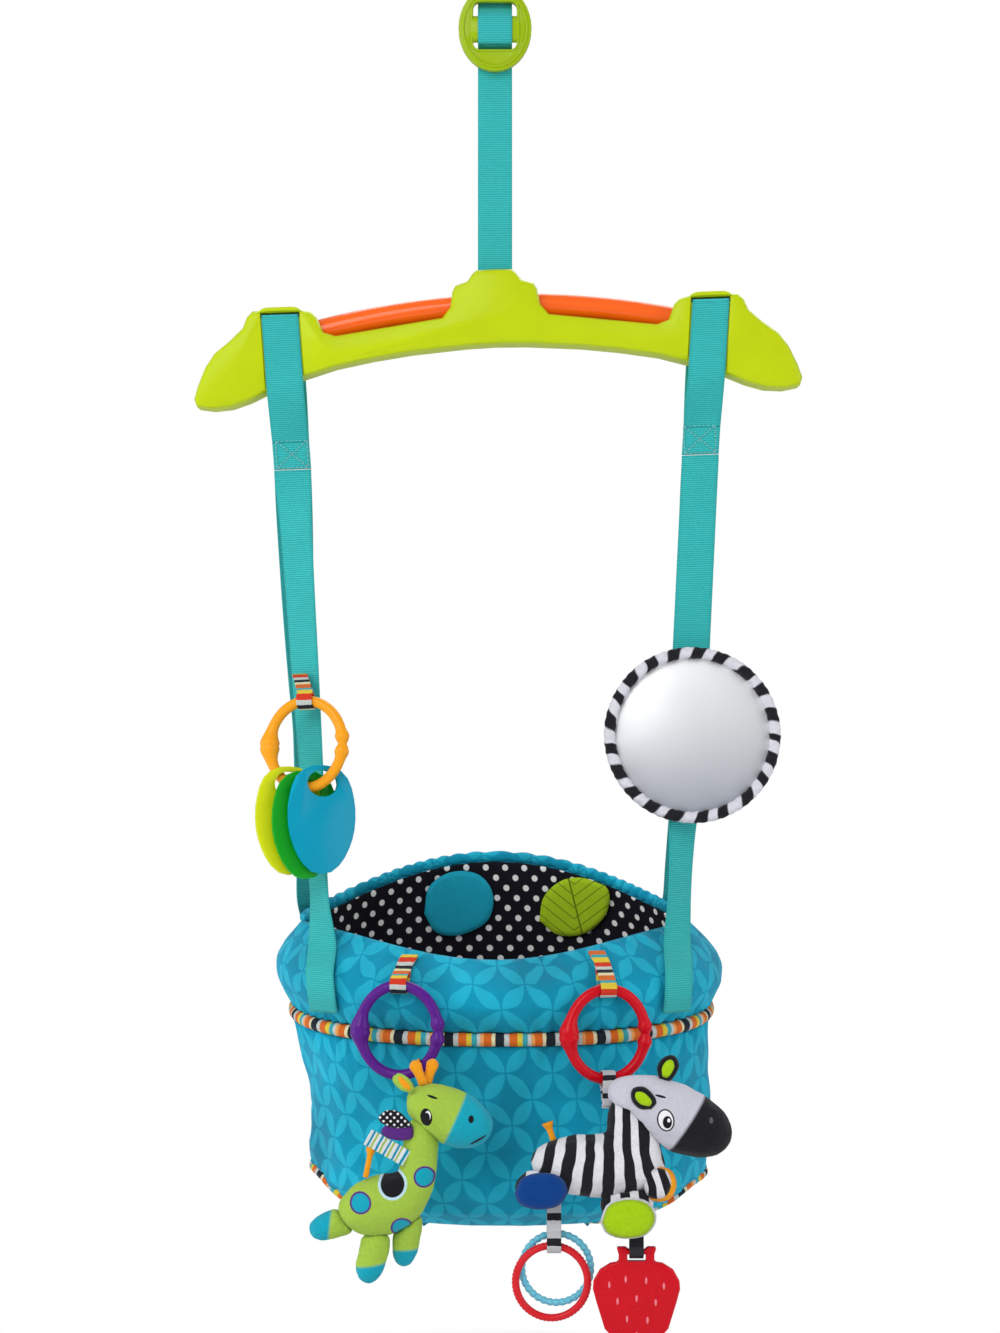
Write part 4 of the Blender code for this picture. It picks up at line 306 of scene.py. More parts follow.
ZEBRA_FRONT_FOOT = (628, 1217)
ZEBRA_FAR_FOOT = (661, 1187)
ZEBRA_TAIL = (548, 1136)


# Values that a user would change


def linear(code):
    """A colour written as six hexadecimal digits, as linear red, green and blue."""
    parts = [int(code[i : i + 2], 16) / 255 for i in (0, 2, 4)]
    return tuple(p / 12.92 if p <= 0.04045 else ((p + 0.055) / 1.055) ** 2.4 for p in parts)


def colour(name, code):
    description = f"Colour of the {name.lower()}"
    return FloatVectorProperty(
        name=name, description=description, subtype="COLOR", size=3, min=0, max=1, default=linear(code)
    )


def length(name, description, metres):
    return FloatProperty(
        name=name, description=description, default=metres, min=0, max=1, unit="LENGTH", precision=5
    )


class JumperPlasticColours(PropertyGroup):
    lime: colour("Cross-beam", "BACE04")
    olive: colour("Strap adjuster", "98B40C")
    grip: colour("Grip bar", "FF6410")
    grey: colour("Clamp", "8B8F92")
    rubber: colour("Clamp pads", "1C1D1F")
    steel: colour("Steel", "B8BABC")
    orange: colour("Orange link", "F2A01A")
    purple: colour("Purple link", "561A86")
    red: colour("Red link", "CA041A")
    disc_yellow: colour("Yellow disc", "D0DA12")
    disc_green: colour("Green disc", "0F9C1F")
    disc_blue: colour("Blue disc", "0094B5")
    ring_red: colour("Red teething ring", "D6222C")
    ring_aqua: colour("Aqua teething ring", "74D6EE")
    berry: colour("Berry teether", "CC0A1D")


class JumperFabricColours(PropertyGroup):
    webbing: colour("Webbing", "3AC4C4")
    seat: colour("Seat fabric", "0295B8")
    petal: colour("Petal print", "1DB0CF")
    lining: colour("Lining", "14121C")
    dots: colour("Lining dots", "F2F2F0")
    leaf: colour("Leaf patch", "A8C81E")
    lime_plush: colour("Lime plush", "A4C648")
    teal_plush: colour("Teal plush", "12A4BC")
    white_plush: colour("White plush", "E2E2E8")
    black_plush: colour("Black plush", "17171C")
    lilac: colour("Lilac plush", "C9C9D6")
    horn: colour("Orange plush", "F5A01E")
    blue_foot: colour("Blue foot", "063F88")
    lime_foot: colour("Lime foot", "A6CE12")


class JumperSizes(PropertyGroup):
    rib_pitch: length("Rib pitch", "Distance between two ribs of the webbing", 0.0017)
    rib_depth: length("Rib depth", "Height of the ribs of the webbing", 0.00028)
    petal_spacing: length("Petal spacing", "Side of one square of the petal print", 0.029)
    dot_spacing: length("Dot spacing", "Distance between rows of dots on the lining", 0.012)
    dot_radius: length("Dot radius", "Radius of a dot on the lining", 0.0026)
    pucker: length("Gathers", "Height of the gathers at the edges of the collar", 0.0016)
    fold: length("Folds", "Height of the soft folds of the seat", 0.0040)
    pile: length("Pile", "Height of the pile on the soft toys", 0.0007)
    stitch: length("Stitch length", "Length of one sewn stitch", 0.0027)


def strength(name, description, value, unit="NONE"):
    return FloatProperty(name=name, description=description, default=value, min=0, unit=unit)


class JumperStage(PropertyGroup):
    key: strength("Key light", "Power of the large front light", 33, "POWER")
    fill: strength("Fill light", "Power of each side light", 14, "POWER")
    sky: strength("Sky", "Strength of the pale surroundings", 0.44)


# Materials


class Finish:
    """A material and short calls for the nodes that most finishes share."""

    def __init__(self, name, roughness=0.5, **sockets):
        self.material = bpy.data.materials.new(name)
        self.material.use_nodes = True
        self.tree = self.material.node_tree
        self.shader = self.tree.nodes["Principled BSDF"]
        self.relief = None
        self.set("Roughness", roughness)
        for socket, value in sockets.items():
            self.set(socket.replace("_", " "), value)

    def set(self, socket, value):
        self.feed(self.shader.inputs[socket], value)
        return self

    def feed(self, socket, value):
        if isinstance(value, bpy.types.NodeSocket):
            self.tree.links.new(value, socket)
        elif hasattr(socket.default_value, "__len__") and len(socket.default_value) == 4:
            socket.default_value = (*value, 1)
        else:
            socket.default_value = value

    def node(self, kind, inputs=(), **settings):
        made = self.tree.nodes.new("ShaderNode" + kind)
        for key, value in settings.items():
            setattr(made, key, value)
        for socket, value in dict(inputs).items():
            self.feed(made.inputs[socket], value)
        return made

    def math(self, operation, *values):
        return self.node("Math", dict(enumerate(values)), operation=operation).outputs[0]

    def plus(self, first, second):
        return self.math("ADD", first, second)

    def minus(self, first, second):
        return self.math("SUBTRACT", first, second)

    def times(self, first, second):
        return self.math("MULTIPLY", first, second)

    def over(self, first, second):
        return self.math("DIVIDE", first, second)

    def squares(self, first, second):
        return self.plus(self.times(first, first), self.times(second, second))

    def diagonals(self, first, second, scale):
        """How far along its square a place is in a grid that stands on its corners, both ways."""
        ways = self.plus(first, second), self.minus(first, second)
        return [self.math("FRACT", self.times(way, scale)) for way in ways]

    def place(self):
        return self.node("TexCoord").outputs["Object"]

    def parts(self, vector):
        return self.node("SeparateXYZ", {"Vector": vector}).outputs

    def along(self):
        """Metres across and along the piece, from its own map."""
        return self.parts(self.node("UVMap", uv_map="metres").outputs[0])[:2]

    def noise(self, scale, detail=2.0, vector=None, stretch=None):
        vector = vector or self.place()
        if stretch:
            vector = self.node("Mapping", {"Vector": vector, "Scale": stretch}).outputs[0]
        made = self.node("TexNoise", {"Vector": vector, "Scale": scale, "Detail": detail})
        return made.outputs["Fac"]

    def mottled(self, scale, tone, dark, light, detail=3):
        """A tone that wanders between a darker and a lighter shade of itself."""
        return self.mix(self.noise(scale, detail), shade(tone, dark), shade(tone, light))

    def mix(self, share, first, second):
        made = self.node("Mix", data_type="RGBA")
        for index, value in ((0, share), (6, first), (7, second)):
            self.feed(made.inputs[index], value)
        return made.outputs[2]

    def scaled(self, value, low, high):
        made = self.node("MapRange", {"Value": value, "To Min": low, "To Max": high})
        return made.outputs[0]

    def step(self, value, start, end):
        """0 before the start and 1 after the end."""
        made = self.node("MapRange", {"Value": value, "From Min": start, "From Max": end})
        return made.outputs[0]

    def ramp(self, value, bands, smooth=False):
        made = self.node("ValToRGB", {"Fac": value})
        made.color_ramp.interpolation = "LINEAR" if smooth else "CONSTANT"
        elements = made.color_ramp.elements
        while len(elements) < len(bands):
            elements.new(0.5)
        for element, (position, tone) in zip(elements, bands):
            element.position = position
            element.color = (*tone, 1)
        return made.outputs[0]

    def bump(self, height, distance):
        inputs = {"Height": height, "Distance": distance, "Strength": 1.0}
        if self.relief:
            inputs["Normal"] = self.relief
        self.relief = self.node("Bump", inputs).outputs[0]
        self.feed(self.shader.inputs["Normal"], self.relief)
        return self

    def oval(self, x, z, half_x, half_z, turn):
        """1 inside an oval in the x and z of the piece."""
        at = self.parts(self.place())
        dx, dz = self.minus(at[0], x), self.minus(at[2], z)
        c, s = math.cos(turn), math.sin(turn)
        across = self.over(self.plus(self.times(dx, c), self.times(dz, s)), half_x)
        down = self.over(self.minus(self.times(dz, c), self.times(dx, s)), half_z)
        return self.step(self.squares(across, down), 1.06, 0.94)

    def painted(self, look, ovals):
        """The look with ovals over it, each given as x, z, half width, half height, turn and tone."""
        for *form, tone in ovals:
            look = self.mix(self.oval(*form), look, tone)
        return look

    def beyond(self, first, second):
        """1 on the right of the line from the first point to the second, in x and z."""
        at = self.parts(self.place())
        run = Vector((second[0] - first[0], second[1] - first[1])).normalized()
        dx = self.times(self.minus(at[0], first[0]), -run.y)
        dz = self.times(self.minus(at[2], first[1]), run.x)
        return self.step(self.plus(dx, dz), SEAM_BLUR, -SEAM_BLUR)


def shade(tone, factor):
    return tuple(min(1.0, channel * factor) for channel in tone)


def plastic(name, tone, roughness=0.3, edge_paleness=1.18):
    """Moulded plastic with a fine eggshell texture, soft cloudy colour and paler edges."""
    made = Finish(name, roughness, Coat_Weight=0.04, Coat_Roughness=0.1, Specular_IOR_Level=0.24, IOR=1.38)
    clouds = made.noise(38, 3)
    body = made.mix(clouds, shade(tone, 0.93), shade(tone, 1.05))
    edges = made.step(made.node("NewGeometry").outputs["Pointiness"], 0.53, 0.60)
    # Convex edges are painted paler in noisy patches; the edge paleness factor sets how much paler.
    paler_edges = made.times(edges, made.scaled(made.noise(260, 4), 0.15, 0.75))
    made.set("Base Color", made.mix(paler_edges, body, shade(tone, edge_paleness)))
    made.set("Roughness", made.scaled(made.noise(420, 3), roughness - 0.07, roughness + 0.09))
    return made.bump(made.noise(1500, 2), 0.00004).bump(clouds, 0.0002)


def clear_plastic(name, tone):
    """Soft translucent silicone, bumpy and a little cloudy."""
    made = plastic(name, tone, 0.28)
    return made.set("Transmission Weight", 0.35).set("IOR", 1.42).set("Subsurface Weight", 0.12)


def steel(name, tone):
    made = Finish(name, 0.28, Metallic=1.0)
    drawn = made.noise(600, 4, stretch=(1, 1, 0.06))
    made.set("Base Color", made.mix(drawn, shade(tone, 0.80), shade(tone, 1.08)))
    made.set("Roughness", made.scaled(made.noise(240, 3), 0.18, 0.42))
    return made.bump(drawn, 0.00003)


def rubber(name, tone):
    made = Finish(name, 0.72, Specular_IOR_Level=0.25)
    grain = made.noise(900, 4)
    made.set("Base Color", made.mix(made.noise(60, 3), shade(tone, 0.8), shade(tone, 1.6)))
    made.set("Roughness", made.scaled(grain, 0.62, 0.85))
    return made.bump(grain, 0.00012)


def webbing_finish(name, tone, sizes, dark=1.0):
    """Woven narrow webbing: ribs across it with painted shade between them, fine warp threads along it and
    darker edges.
    """
    made = Finish(name, 0.72, Sheen_Weight=0.06, Sheen_Roughness=0.45, Specular_IOR_Level=0.15)
    tone = shade(tone, dark)
    across, down = made.along()
    warp = made.math("SINE", made.times(across, math.tau / WARP_PITCH))
    phase = made.plus(made.times(down, math.tau / sizes.rib_pitch), made.times(warp, 0.7))
    ribs = made.step(made.math("SINE", phase), -1.0, 0.7)
    # Painted shade: the troughs between the ribs are darkened to 0.62 of the tone.
    woven = made.mix(ribs, shade(tone, 0.62), made.mottled(30, tone, 0.88, 1.08))
    # Both edges of the strap are painted darker.
    edge = made.step(made.math("ABSOLUTE", across), 0.0118, 0.0134)
    made.set("Base Color", made.mix(made.times(edge, 0.35), woven, shade(tone, 0.6)))
    made.set("Roughness", made.scaled(ribs, 0.82, 0.62))
    made.bump(ribs, sizes.rib_depth).bump(made.step(warp, -1, 1), 0.0001)
    return made.bump(made.noise(2600, 2), 0.00008)


def striped_finish(name, period, bands):
    """Grosgrain ribbon with stripes across it and painted shade between its ribs."""
    made = Finish(name, 0.68, Sheen_Weight=0.05, Sheen_Roughness=0.4, Specular_IOR_Level=0.15)
    down = made.along()[1]
    wobble = made.times(made.noise(180, 2), 0.0012)
    share = made.math("FRACT", made.over(made.plus(down, wobble), period))
    ribs = made.step(made.math("SINE", made.times(down, math.tau / GROSGRAIN_PITCH)), -1, 1)
    stripes = made.ramp(share, bands)
    # Painted shade: the troughs between the ribs are darkened by up to 22 percent towards near black.
    made.set("Base Color", made.mix(made.scaled(ribs, 0.22, 0.0), stripes, (0.02, 0.02, 0.03)))
    return made.bump(ribs, 0.00014).bump(made.noise(2200, 2), 0.00006)


RIBBON_TONES = {
    "orange": linear("DE6A1C"), "peach": linear("F3A65E"), "grey": linear("C9D0CC"),
    "black": linear("14202B"), "yellow": linear("E6CB3C"), "teal": linear("3BA9B5"),
    "red": linear("D9391C"), "cream": linear("E9E0B4"),
}
PIPING_STOPS = (
    (0.0, "orange"), (0.15, "cream"), (0.22, "black"), (0.40, "grey"), (0.50, "orange"), (0.66, "yellow"),
    (0.76, "teal"), (0.86, "grey"), (0.93, "peach"),
)
TAB_STOPS = (
    (0.0, "orange"), (0.20, "cream"), (0.32, "black"), (0.46, "grey"), (0.58, "red"), (0.74, "yellow"),
    (0.90, "teal"),
)
PURPLE = linear("5A2A82")


def stops(table):
    return [(position, RIBBON_TONES[key]) for position, key in table]


def weave(made, scale=1500):
    """A fine plain weave in the piece's own map."""
    threads = [made.math("SINE", made.times(way, scale * 4)) for way in made.along()]
    return made.bump(made.times(*threads), 0.00007)


def seat_finish(name, colours, sizes):
    """Printed cotton with petals where two circles of a square grid overlap, and painted shade and light
    along its creases.
    """
    made = Finish(name, 0.78, Sheen_Weight=0.05, Sheen_Roughness=0.5, Specular_IOR_Level=0.15)
    first, second = made.diagonals(*made.along(), 1 / (sizes.petal_spacing * math.sqrt(2)))
    total = 0.0
    for corner_x in (0.0, 1.0):
        for corner_y in (0.0, 1.0):
            far = made.math("SQRT", made.squares(made.minus(first, corner_x), made.minus(second, corner_y)))
            total = made.plus(total, made.step(far, 0.705, 0.675))
    petal = made.step(total, 1.2, 1.8)
    creases = made.noise(15, 5, stretch=(1, 1, 0.7))
    # Painted shade and light: the ground and the petals are darker in the hollows of the creases and lighter
    # on their ridges.
    crease_shade = made.step(creases, 0.34, 0.62)
    ground = made.mix(crease_shade, shade(colours.seat, 0.70), shade(colours.seat, 1.10))
    printed = made.mix(crease_shade, shade(colours.petal, 0.76), shade(colours.petal, 1.06))
    made.set("Base Color", made.mix(petal, ground, printed))
    made.set("Roughness", made.scaled(made.noise(90, 3), 0.68, 0.86))
    return weave(made).bump(made.noise(160, 4), 0.0003).bump(creases, 0.0065)


def lining_finish(name, colours, sizes):
    made = Finish(name, 0.82, Sheen_Weight=0.03, Sheen_Roughness=0.5, Specular_IOR_Level=0.12)
    grid = made.diagonals(*made.along(), 1 / (sizes.dot_spacing * math.sqrt(2)))
    far = made.math("SQRT", made.squares(*(made.minus(share, 0.5) for share in grid)))
    edge = sizes.dot_radius / sizes.dot_spacing
    dot = made.step(far, edge + 0.02, edge - 0.02)
    made.set("Base Color", made.mix(dot, made.mottled(50, colours.lining, 0.7, 1.5), colours.dots))
    return weave(made, 1200).bump(made.noise(120, 4), 0.0003)


def plush_base(name, sizes, tone):
    """Short pile: two sizes of fine lumps, and a soft sheen."""
    made = Finish(name, 0.9, Sheen_Weight=0.10, Sheen_Roughness=0.5, Specular_IOR_Level=0.12)
    made.pile_tone = made.mottled(420, tone, 0.84, 1.08)
    return made.bump(made.noise(900, 3), sizes.pile).bump(made.noise(160, 2), 0.0006)


def plain_plush(name, sizes, tone):
    made = plush_base(name, sizes, tone)
    return made.set("Base Color", made.pile_tone)


# Mesh building


def add_mesh(name, bm, finish, body):
    bmesh.ops.recalc_face_normals(bm, faces=bm.faces)
    mesh = bpy.data.meshes.new(name)
    bm.to_mesh(mesh)
    bm.free()
    return place_piece(name, mesh, finish, body)


def place_piece(name, mesh, finish, body):
    made = bpy.data.objects.new(name, mesh)
    bpy.context.scene.collection.objects.link(made)
    mesh.materials.clear()
    mesh.materials.append(finish.material)
    mesh.polygons.foreach_set("use_smooth", [True] * len(mesh.polygons))
    if body:
        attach(made, body)
    return made


def turns(count):
    """Angles spread evenly round a circle."""
    return [math.tau * i / count for i in range(count)]


def last_before(low, high, test, steps=40):
    """The last value from low to high for which the test still holds, found by halving."""
    for _ in range(steps):
        middle = (low + high) / 2
        if test(middle):
            low = middle
        else:
            high = middle
    return low


def smooth_path(points, count):
    """Points spread evenly along a smooth curve through the given ones, in any number of dimensions."""
    points = np.array(points, float)
    padded = np.vstack([2 * points[0] - points[1], points, 2 * points[-1] - points[-2]])
    fine = []
    for i in range(1, len(padded) - 2):
        before, start, end, after = padded[i - 1 : i + 3]
        for t in np.linspace(0, 1, 16, endpoint=False):
            fine.append(
                start
                + 0.5 * t * (end - before)
                + t * t * (before - 2.5 * start + 2 * end - 0.5 * after)
                + t**3 * (1.5 * (start - end) + 0.5 * (after - before))
            )
    fine.append(padded[-2])
    fine = np.array(fine)
    steps = np.concatenate([[0], np.cumsum(np.linalg.norm(np.diff(fine[:, :3], axis=0), axis=1))])
    even = np.linspace(0, steps[-1], count)
    return np.array([np.interp(even, steps, column) for column in fine.T]).T


def lofted(rings, closed=False):
    """A skin through rings of points with a map in metres: round each ring, and along the rings."""
    bm = bmesh.new()
    layer = bm.loops.layers.uv.new("metres")
    rows = [[bm.verts.new(point) for point in ring] for ring in rings]
    middles = [sum((Vector(p) for p in ring), Vector()) / len(ring) for ring in rings]
    down = [0.0]
    for first, second in zip(middles, middles[1:] + middles[:1]):
        down.append(down[-1] + (second - first).length)
    pairs = range(len(rows) if closed else len(rows) - 1)
    count = len(rows[0])
    for i in pairs:
        first, second = rows[i], rows[(i + 1) % len(rows)]
        around = [0.0]
        for j in range(count):
            around.append(around[-1] + (first[(j + 1) % count].co - first[j].co).length)
        for j in range(count):
            k = (j + 1) % count
            face = bm.faces.new((first[j], second[j], second[k], first[k]))
            for loop, (u, v) in zip(face.loops, ((j, i), (j, i + 1), (j + 1, i + 1), (j + 1, i))):
                loop[layer].uv = (around[u], down[v])
    if not closed:
        for row, height in ((rows[0], down[0]), (rows[-1], down[len(rows) - 1])):
            face = bm.faces.new(row)
            for loop in face.loops:
                loop[layer].uv = (0, height)
    return bm


def tube_rings(points, radius, sides=12, closed=False, start_normal=None):
    """Rings round a path; the radius may be a function of the share along the path and the angle."""
    points = [Vector(p) for p in points]
    count = len(points)
    tangents = []
    for i in range(count):
        after = points[(i + 1) % count] if closed else points[min(i + 1, count - 1)]
        before = points[i - 1] if closed or i else points[0]
        tangents.append((after - before).normalized())
    normal = start_normal or tangents[0].orthogonal()
    normal = (normal - tangents[0] * normal.dot(tangents[0])).normalized()
    normals = [normal]
    for before, after in zip(tangents, tangents[1:]):
        normal = before.rotation_difference(after) @ normals[-1]
        normals.append((normal - after * normal.dot(after)).normalized())
    twist = 0.0
    if closed:
        last = tangents[-1].rotation_difference(tangents[0]) @ normals[-1]
        side = tangents[0].cross(normals[0])
        twist = -math.atan2(last.dot(side), last.dot(normals[0]))
    rings = []
    for i, (point, tangent, normal) in enumerate(zip(points, tangents, normals)):
        share = i / (count if closed else count - 1)
        side = tangent.cross(normal)
        ring = []
        for angle in turns(sides):
            size = radius(share, angle) if callable(radius) else radius
            turned = angle + twist * share
            ring.append(point + (normal * math.cos(turned) + side * math.sin(turned)) * size)
        rings.append(ring)
    return rings


def tube(name, points, radius, finish, body, sides=12, closed=False, start_normal=None):
    rings = tube_rings(points, radius, sides, closed, start_normal)
    return add_mesh(name, lofted(rings, closed), finish, body)


def strap_bm(centres, sides, width, thickness, step=0.0032, lanes=8):
    """A flat woven strap with rounded edges; its map runs from edge to edge, and along it."""
    centres = [Vector(c) for c in centres]
    sides = [Vector(s).normalized() for s in sides]
    total = sum((b - a).length for a, b in zip(centres, centres[1:]))
    count = max(6, int(total / step))
    fine = smooth_path([(*c, *s) for c, s in zip(centres, sides)], count)
    half, thin = width / 2, thickness / 2
    outline = [(-half + thin + (width - thickness) * i / lanes, thin) for i in range(lanes + 1)]
    outline += [(half - thin * 0.3, thin * 0.7), (half, 0), (half - thin * 0.3, -thin * 0.7)]
    outline += [(half - thin - (width - thickness) * i / lanes, -thin) for i in range(lanes + 1)]
    outline += [(-half + thin * 0.3, -thin * 0.7), (-half, 0), (-half + thin * 0.3, thin * 0.7)]
    bm = bmesh.new()
    layer = bm.loops.layers.uv.new("metres")
    rows, marks, travelled = [], [], 0.0
    for i in range(count):
        here = Vector(fine[i][:3])
        ahead = Vector(fine[min(i + 1, count - 1)][:3]) - Vector(fine[max(i - 1, 0)][:3])
        ahead.normalize()
        across = Vector(fine[i][3:]).normalized()
        normal = ahead.cross(across).normalized()
        if i:
            travelled += (here - Vector(fine[i - 1][:3])).length
        rows.append([bm.verts.new(here + across * u + normal * v) for u, v in outline])
        marks.append(travelled)
    size = len(outline)
    for i in range(count - 1):
        for j in range(size):
            k = (j + 1) % size
            face = bm.faces.new((rows[i][j], rows[i + 1][j], rows[i + 1][k], rows[i][k]))
            for loop, (u, v) in zip(face.loops, ((j, i), (j, i + 1), (k, i + 1), (k, i))):
                loop[layer].uv = (outline[u][0], marks[v])
    for row, mark in ((rows[0], marks[0]), (rows[-1], marks[-1])):
        face = bm.faces.new(row)
        for loop, (u, _) in zip(face.loops, outline):
            loop[layer].uv = (u, mark)
    return bm


def strap(name, centres, sides, width, thickness, finish, body, slot, node=None):
    made = add_mesh(name, strap_bm(centres, sides, width, thickness), finish, body)
    if node:
        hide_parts(node)
    return made


def stretching(name, bm, finish, node):
    """A piece with no body, its placement baked into its mesh, that stands for the part it hides."""
    made = add_mesh(name, bm, finish, None)
    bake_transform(made)
    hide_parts(node)


def skin(bm, rings, layer=None):
    """Faces through rings of points, with their rows of corners for more faces."""
    rows = [[bm.verts.new(point) for point in ring] for ring in rings]
    for first, second in zip(rows, rows[1:]):
        for k in range(len(first)):
            after = (k + 1) % len(first)
            face = bm.faces.new((first[k], second[k], second[after], first[after]))
            if layer is not None:
                for loop in face.loops:
                    loop[layer].uv = (loop.vert.co.x, loop.vert.co.z)
    return rows


def closed_skin(bm, rings, layer=None):
    rows = skin(bm, rings, layer)
    bm.faces.new(rows[0])
    bm.faces.new(rows[-1])


def stitches(name, lines, normal, finish, body, size=0.0027, radius=0.00034):
    """Sewn stitches as small slanted grains of thread along straight lines."""
    bm = bmesh.new()
    layer = bm.loops.layers.uv.new("metres")
    for start, end in lines:
        start, end = Vector(start), Vector(end)
        run = end - start
        count = max(1, round(run.length / (size * 1.25)))
        ahead = run.normalized()
        side = ahead.cross(normal).normalized()
        for i in range(count):
            middle = start + run * (i + 0.5) / count
            rings = []
            for share, slim in ((-1, 0.25), (-0.5, 0.85), (0, 1), (0.5, 0.85), (1, 0.25)):
                reach = radius * slim
                centre = middle + ahead * share * size / 2 + normal * (radius * 0.4 * (1 - share * share))
                rings.append([centre + (side * math.cos(a) + normal * math.sin(a)) * reach for a in turns(6)])
            closed_skin(bm, rings, layer)
    return add_mesh(name, bm, finish, body)


def pillow(outline, thickness):
    """A stuffed flat form: its outline in x and z, crowned to the front and the back."""
    outline = [Vector((x, 0, z)) for x, z in outline]
    middle = sum(outline, Vector()) / len(outline)
    rings = []
    for side, shares in ((-1, np.linspace(0.06, 1, 5)), (1, np.linspace(1, 0.06, 5)[1:])):
        for share in shares:
            height = thickness / 2 * max(0.0, 1 - share**3) ** 0.55
            rings.append([middle + (p - middle) * share + BACK * side * height for p in outline])
    return rings


def soft_leaf(name, outline, place, thickness, finish, body, turn=0.0):
    """A pillow from a few points of its outline, set at a place and turned as seen from the front."""
    fine = smooth_path([(x, 0, z) for x, z in (*outline, outline[0])], 29)[:-1]
    matrix = Matrix.Translation(place) @ Matrix.Rotation(turn, 4, "Y")
    rings = [[matrix @ p for p in ring] for ring in pillow([(p[0], p[2]) for p in fine], thickness)]
    return add_mesh(name, lofted(rings), finish, body)


def turned(name, profile, matrix, finish, body, slot, steps=28):
    """A form turned round its own z axis from radius and height pairs."""
    rings = []
    for radius, height in profile:
        radius = max(radius, 0.00002)
        ring = [Vector((radius * math.cos(a), radius * math.sin(a), height)) for a in turns(steps)]
        rings.append([matrix @ point for point in ring])
    return add_mesh(name, lofted(rings), finish, body)


def plated_steel():
    """The steel that the clamp was given, for the pieces made after it."""
    return SimpleNamespace(material=bpy.data.materials["Plated steel"])


def crease_smoothing():
    """Node group that shades smoothly all but the sharp edges of a mesh."""
    group = bpy.data.node_groups.get("Smooth but for sharp edges")
    if group:
        return group
    group = bpy.data.node_groups.new("Smooth but for sharp edges", "GeometryNodeTree")
    group.interface.new_socket("Geometry", in_out="INPUT", socket_type="NodeSocketGeometry")
    group.interface.new_socket("Geometry", in_out="OUTPUT", socket_type="NodeSocketGeometry")
    start, end = group.nodes.new("NodeGroupInput"), group.nodes.new("NodeGroupOutput")
    faces = group.nodes.new("GeometryNodeSetShadeSmooth")
    edges = group.nodes.new("GeometryNodeSetShadeSmooth")
    edges.domain = "EDGE"
    angle = group.nodes.new("GeometryNodeInputMeshEdgeAngle")
    small = group.nodes.new("FunctionNodeCompare")
    small.data_type = "FLOAT"
    small.operation = "LESS_THAN"
    small.inputs[1].default_value = math.radians(38)
    link = group.links.new
    link(start.outputs[0], faces.inputs["Geometry"])
    link(faces.outputs[0], edges.inputs["Geometry"])
    link(angle.outputs[0], small.inputs[0])
    link(small.outputs[0], edges.inputs["Shade Smooth"])
    link(edges.outputs[0], end.inputs[0])
    return group


def dress_solid(node, finish, bevel=0.0):
    """Gives a rigid solid its finish, softened edges and smooth shading, with its mesh as it is."""
    solid = NODES[node]
    solid.data.materials.clear()
    solid.data.materials.append(finish.material)
    weld = solid.modifiers.new("Weld", "WELD")
    weld.merge_threshold = 0.00001
    flat = solid.modifiers.new("Join flat faces", "DECIMATE")
    flat.decimate_type = "DISSOLVE"
    flat.angle_limit = math.radians(0.6)
    if bevel:
        edge = solid.modifiers.new("Soft edges", "BEVEL")
        edge.width = bevel
        edge.segments = 2
        edge.limit_method = "ANGLE"
        edge.angle_limit = math.radians(38)
        edge.use_clamp_overlap = True
    shading = solid.modifiers.new("Smooth shading", "NODES")
    shading.node_group = crease_smoothing()
    return solid


def plush_copy(node, finish, name, grain=0.0022, swell=0.0006):
    """A soft copy of a stuffed solid, remeshed and rounded, that stands for it."""
    solid = NODES[node]
    made = place_piece(name, solid.data.copy(), finish, None)
    remesh = made.modifiers.new("Even mesh", "REMESH")
    remesh.mode = "VOXEL"
    remesh.voxel_size = grain
    soft = made.modifiers.new("Soft", "CORRECTIVE_SMOOTH")
    soft.iterations = 10
    soft.use_only_smooth = True
    full = made.modifiers.new("Stuffed", "DISPLACE")
    full.strength = swell
    full.mid_level = 0.0
    bpy.context.view_layer.update()
    mesh = bpy.data.meshes.new_from_object(made.evaluated_get(bpy.context.evaluated_depsgraph_get()))
    made.modifiers.clear()
    made.data = mesh
    for vertex in mesh.vertices:
        lump = noise.noise(vertex.co * 90) * 0.0007 + noise.noise(vertex.co * 260) * 0.00025
        vertex.co += vertex.normal * lump
    mesh.polygons.foreach_set("use_smooth", [True] * len(mesh.polygons))
    finer = made.modifiers.new("Fine", "SUBSURF")
    finer.levels = finer.render_levels = 1
    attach(made, solid["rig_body"])
    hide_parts(node)
    return made


# Seat forms repeated from the solids


def on_oval(half_width, half_depth, angle, squareness=2.4):
    power = 2 / squareness
    c, s = math.cos(angle), math.sin(angle)
    return math.copysign(abs(c) ** power, c) * half_width, math.copysign(abs(s) ** power, s) * half_depth


def rim_z(angle):
    across = on_oval(1, 1, angle)[0]
    rise, power = (0.0410, 1.2) if math.sin(angle) > 0 else (-0.0229, 2.0)
    return RIM_Z + rise * max(0.0, 1 - across * across) ** power


def waist_z(angle):
    return WAIST_Z + 0.0135 * math.sin(angle)


def collar_point(angle, share, inset=0.0, bulge=0.018):
    swell = bulge * math.sin(math.pi * share) - inset
    halves = (half + spread * share + swell for half, spread in zip(COLLAR_HALF, COLLAR_SPREAD))
    x, y = on_oval(*halves, angle)
    top, bottom = rim_z(angle), waist_z(angle) + 0.0055
    return Vector((x + 0.005 * share, y + SETBACK, top + (bottom - top) * share))


def collar_at(x, share, face, inset=0.0):
    """The point of the front or rear of the collar at this x."""
    angle = last_before(0.0, math.pi, lambda a: collar_point(face * a, share, inset).x > x)
    return collar_point(face * angle, share, inset)


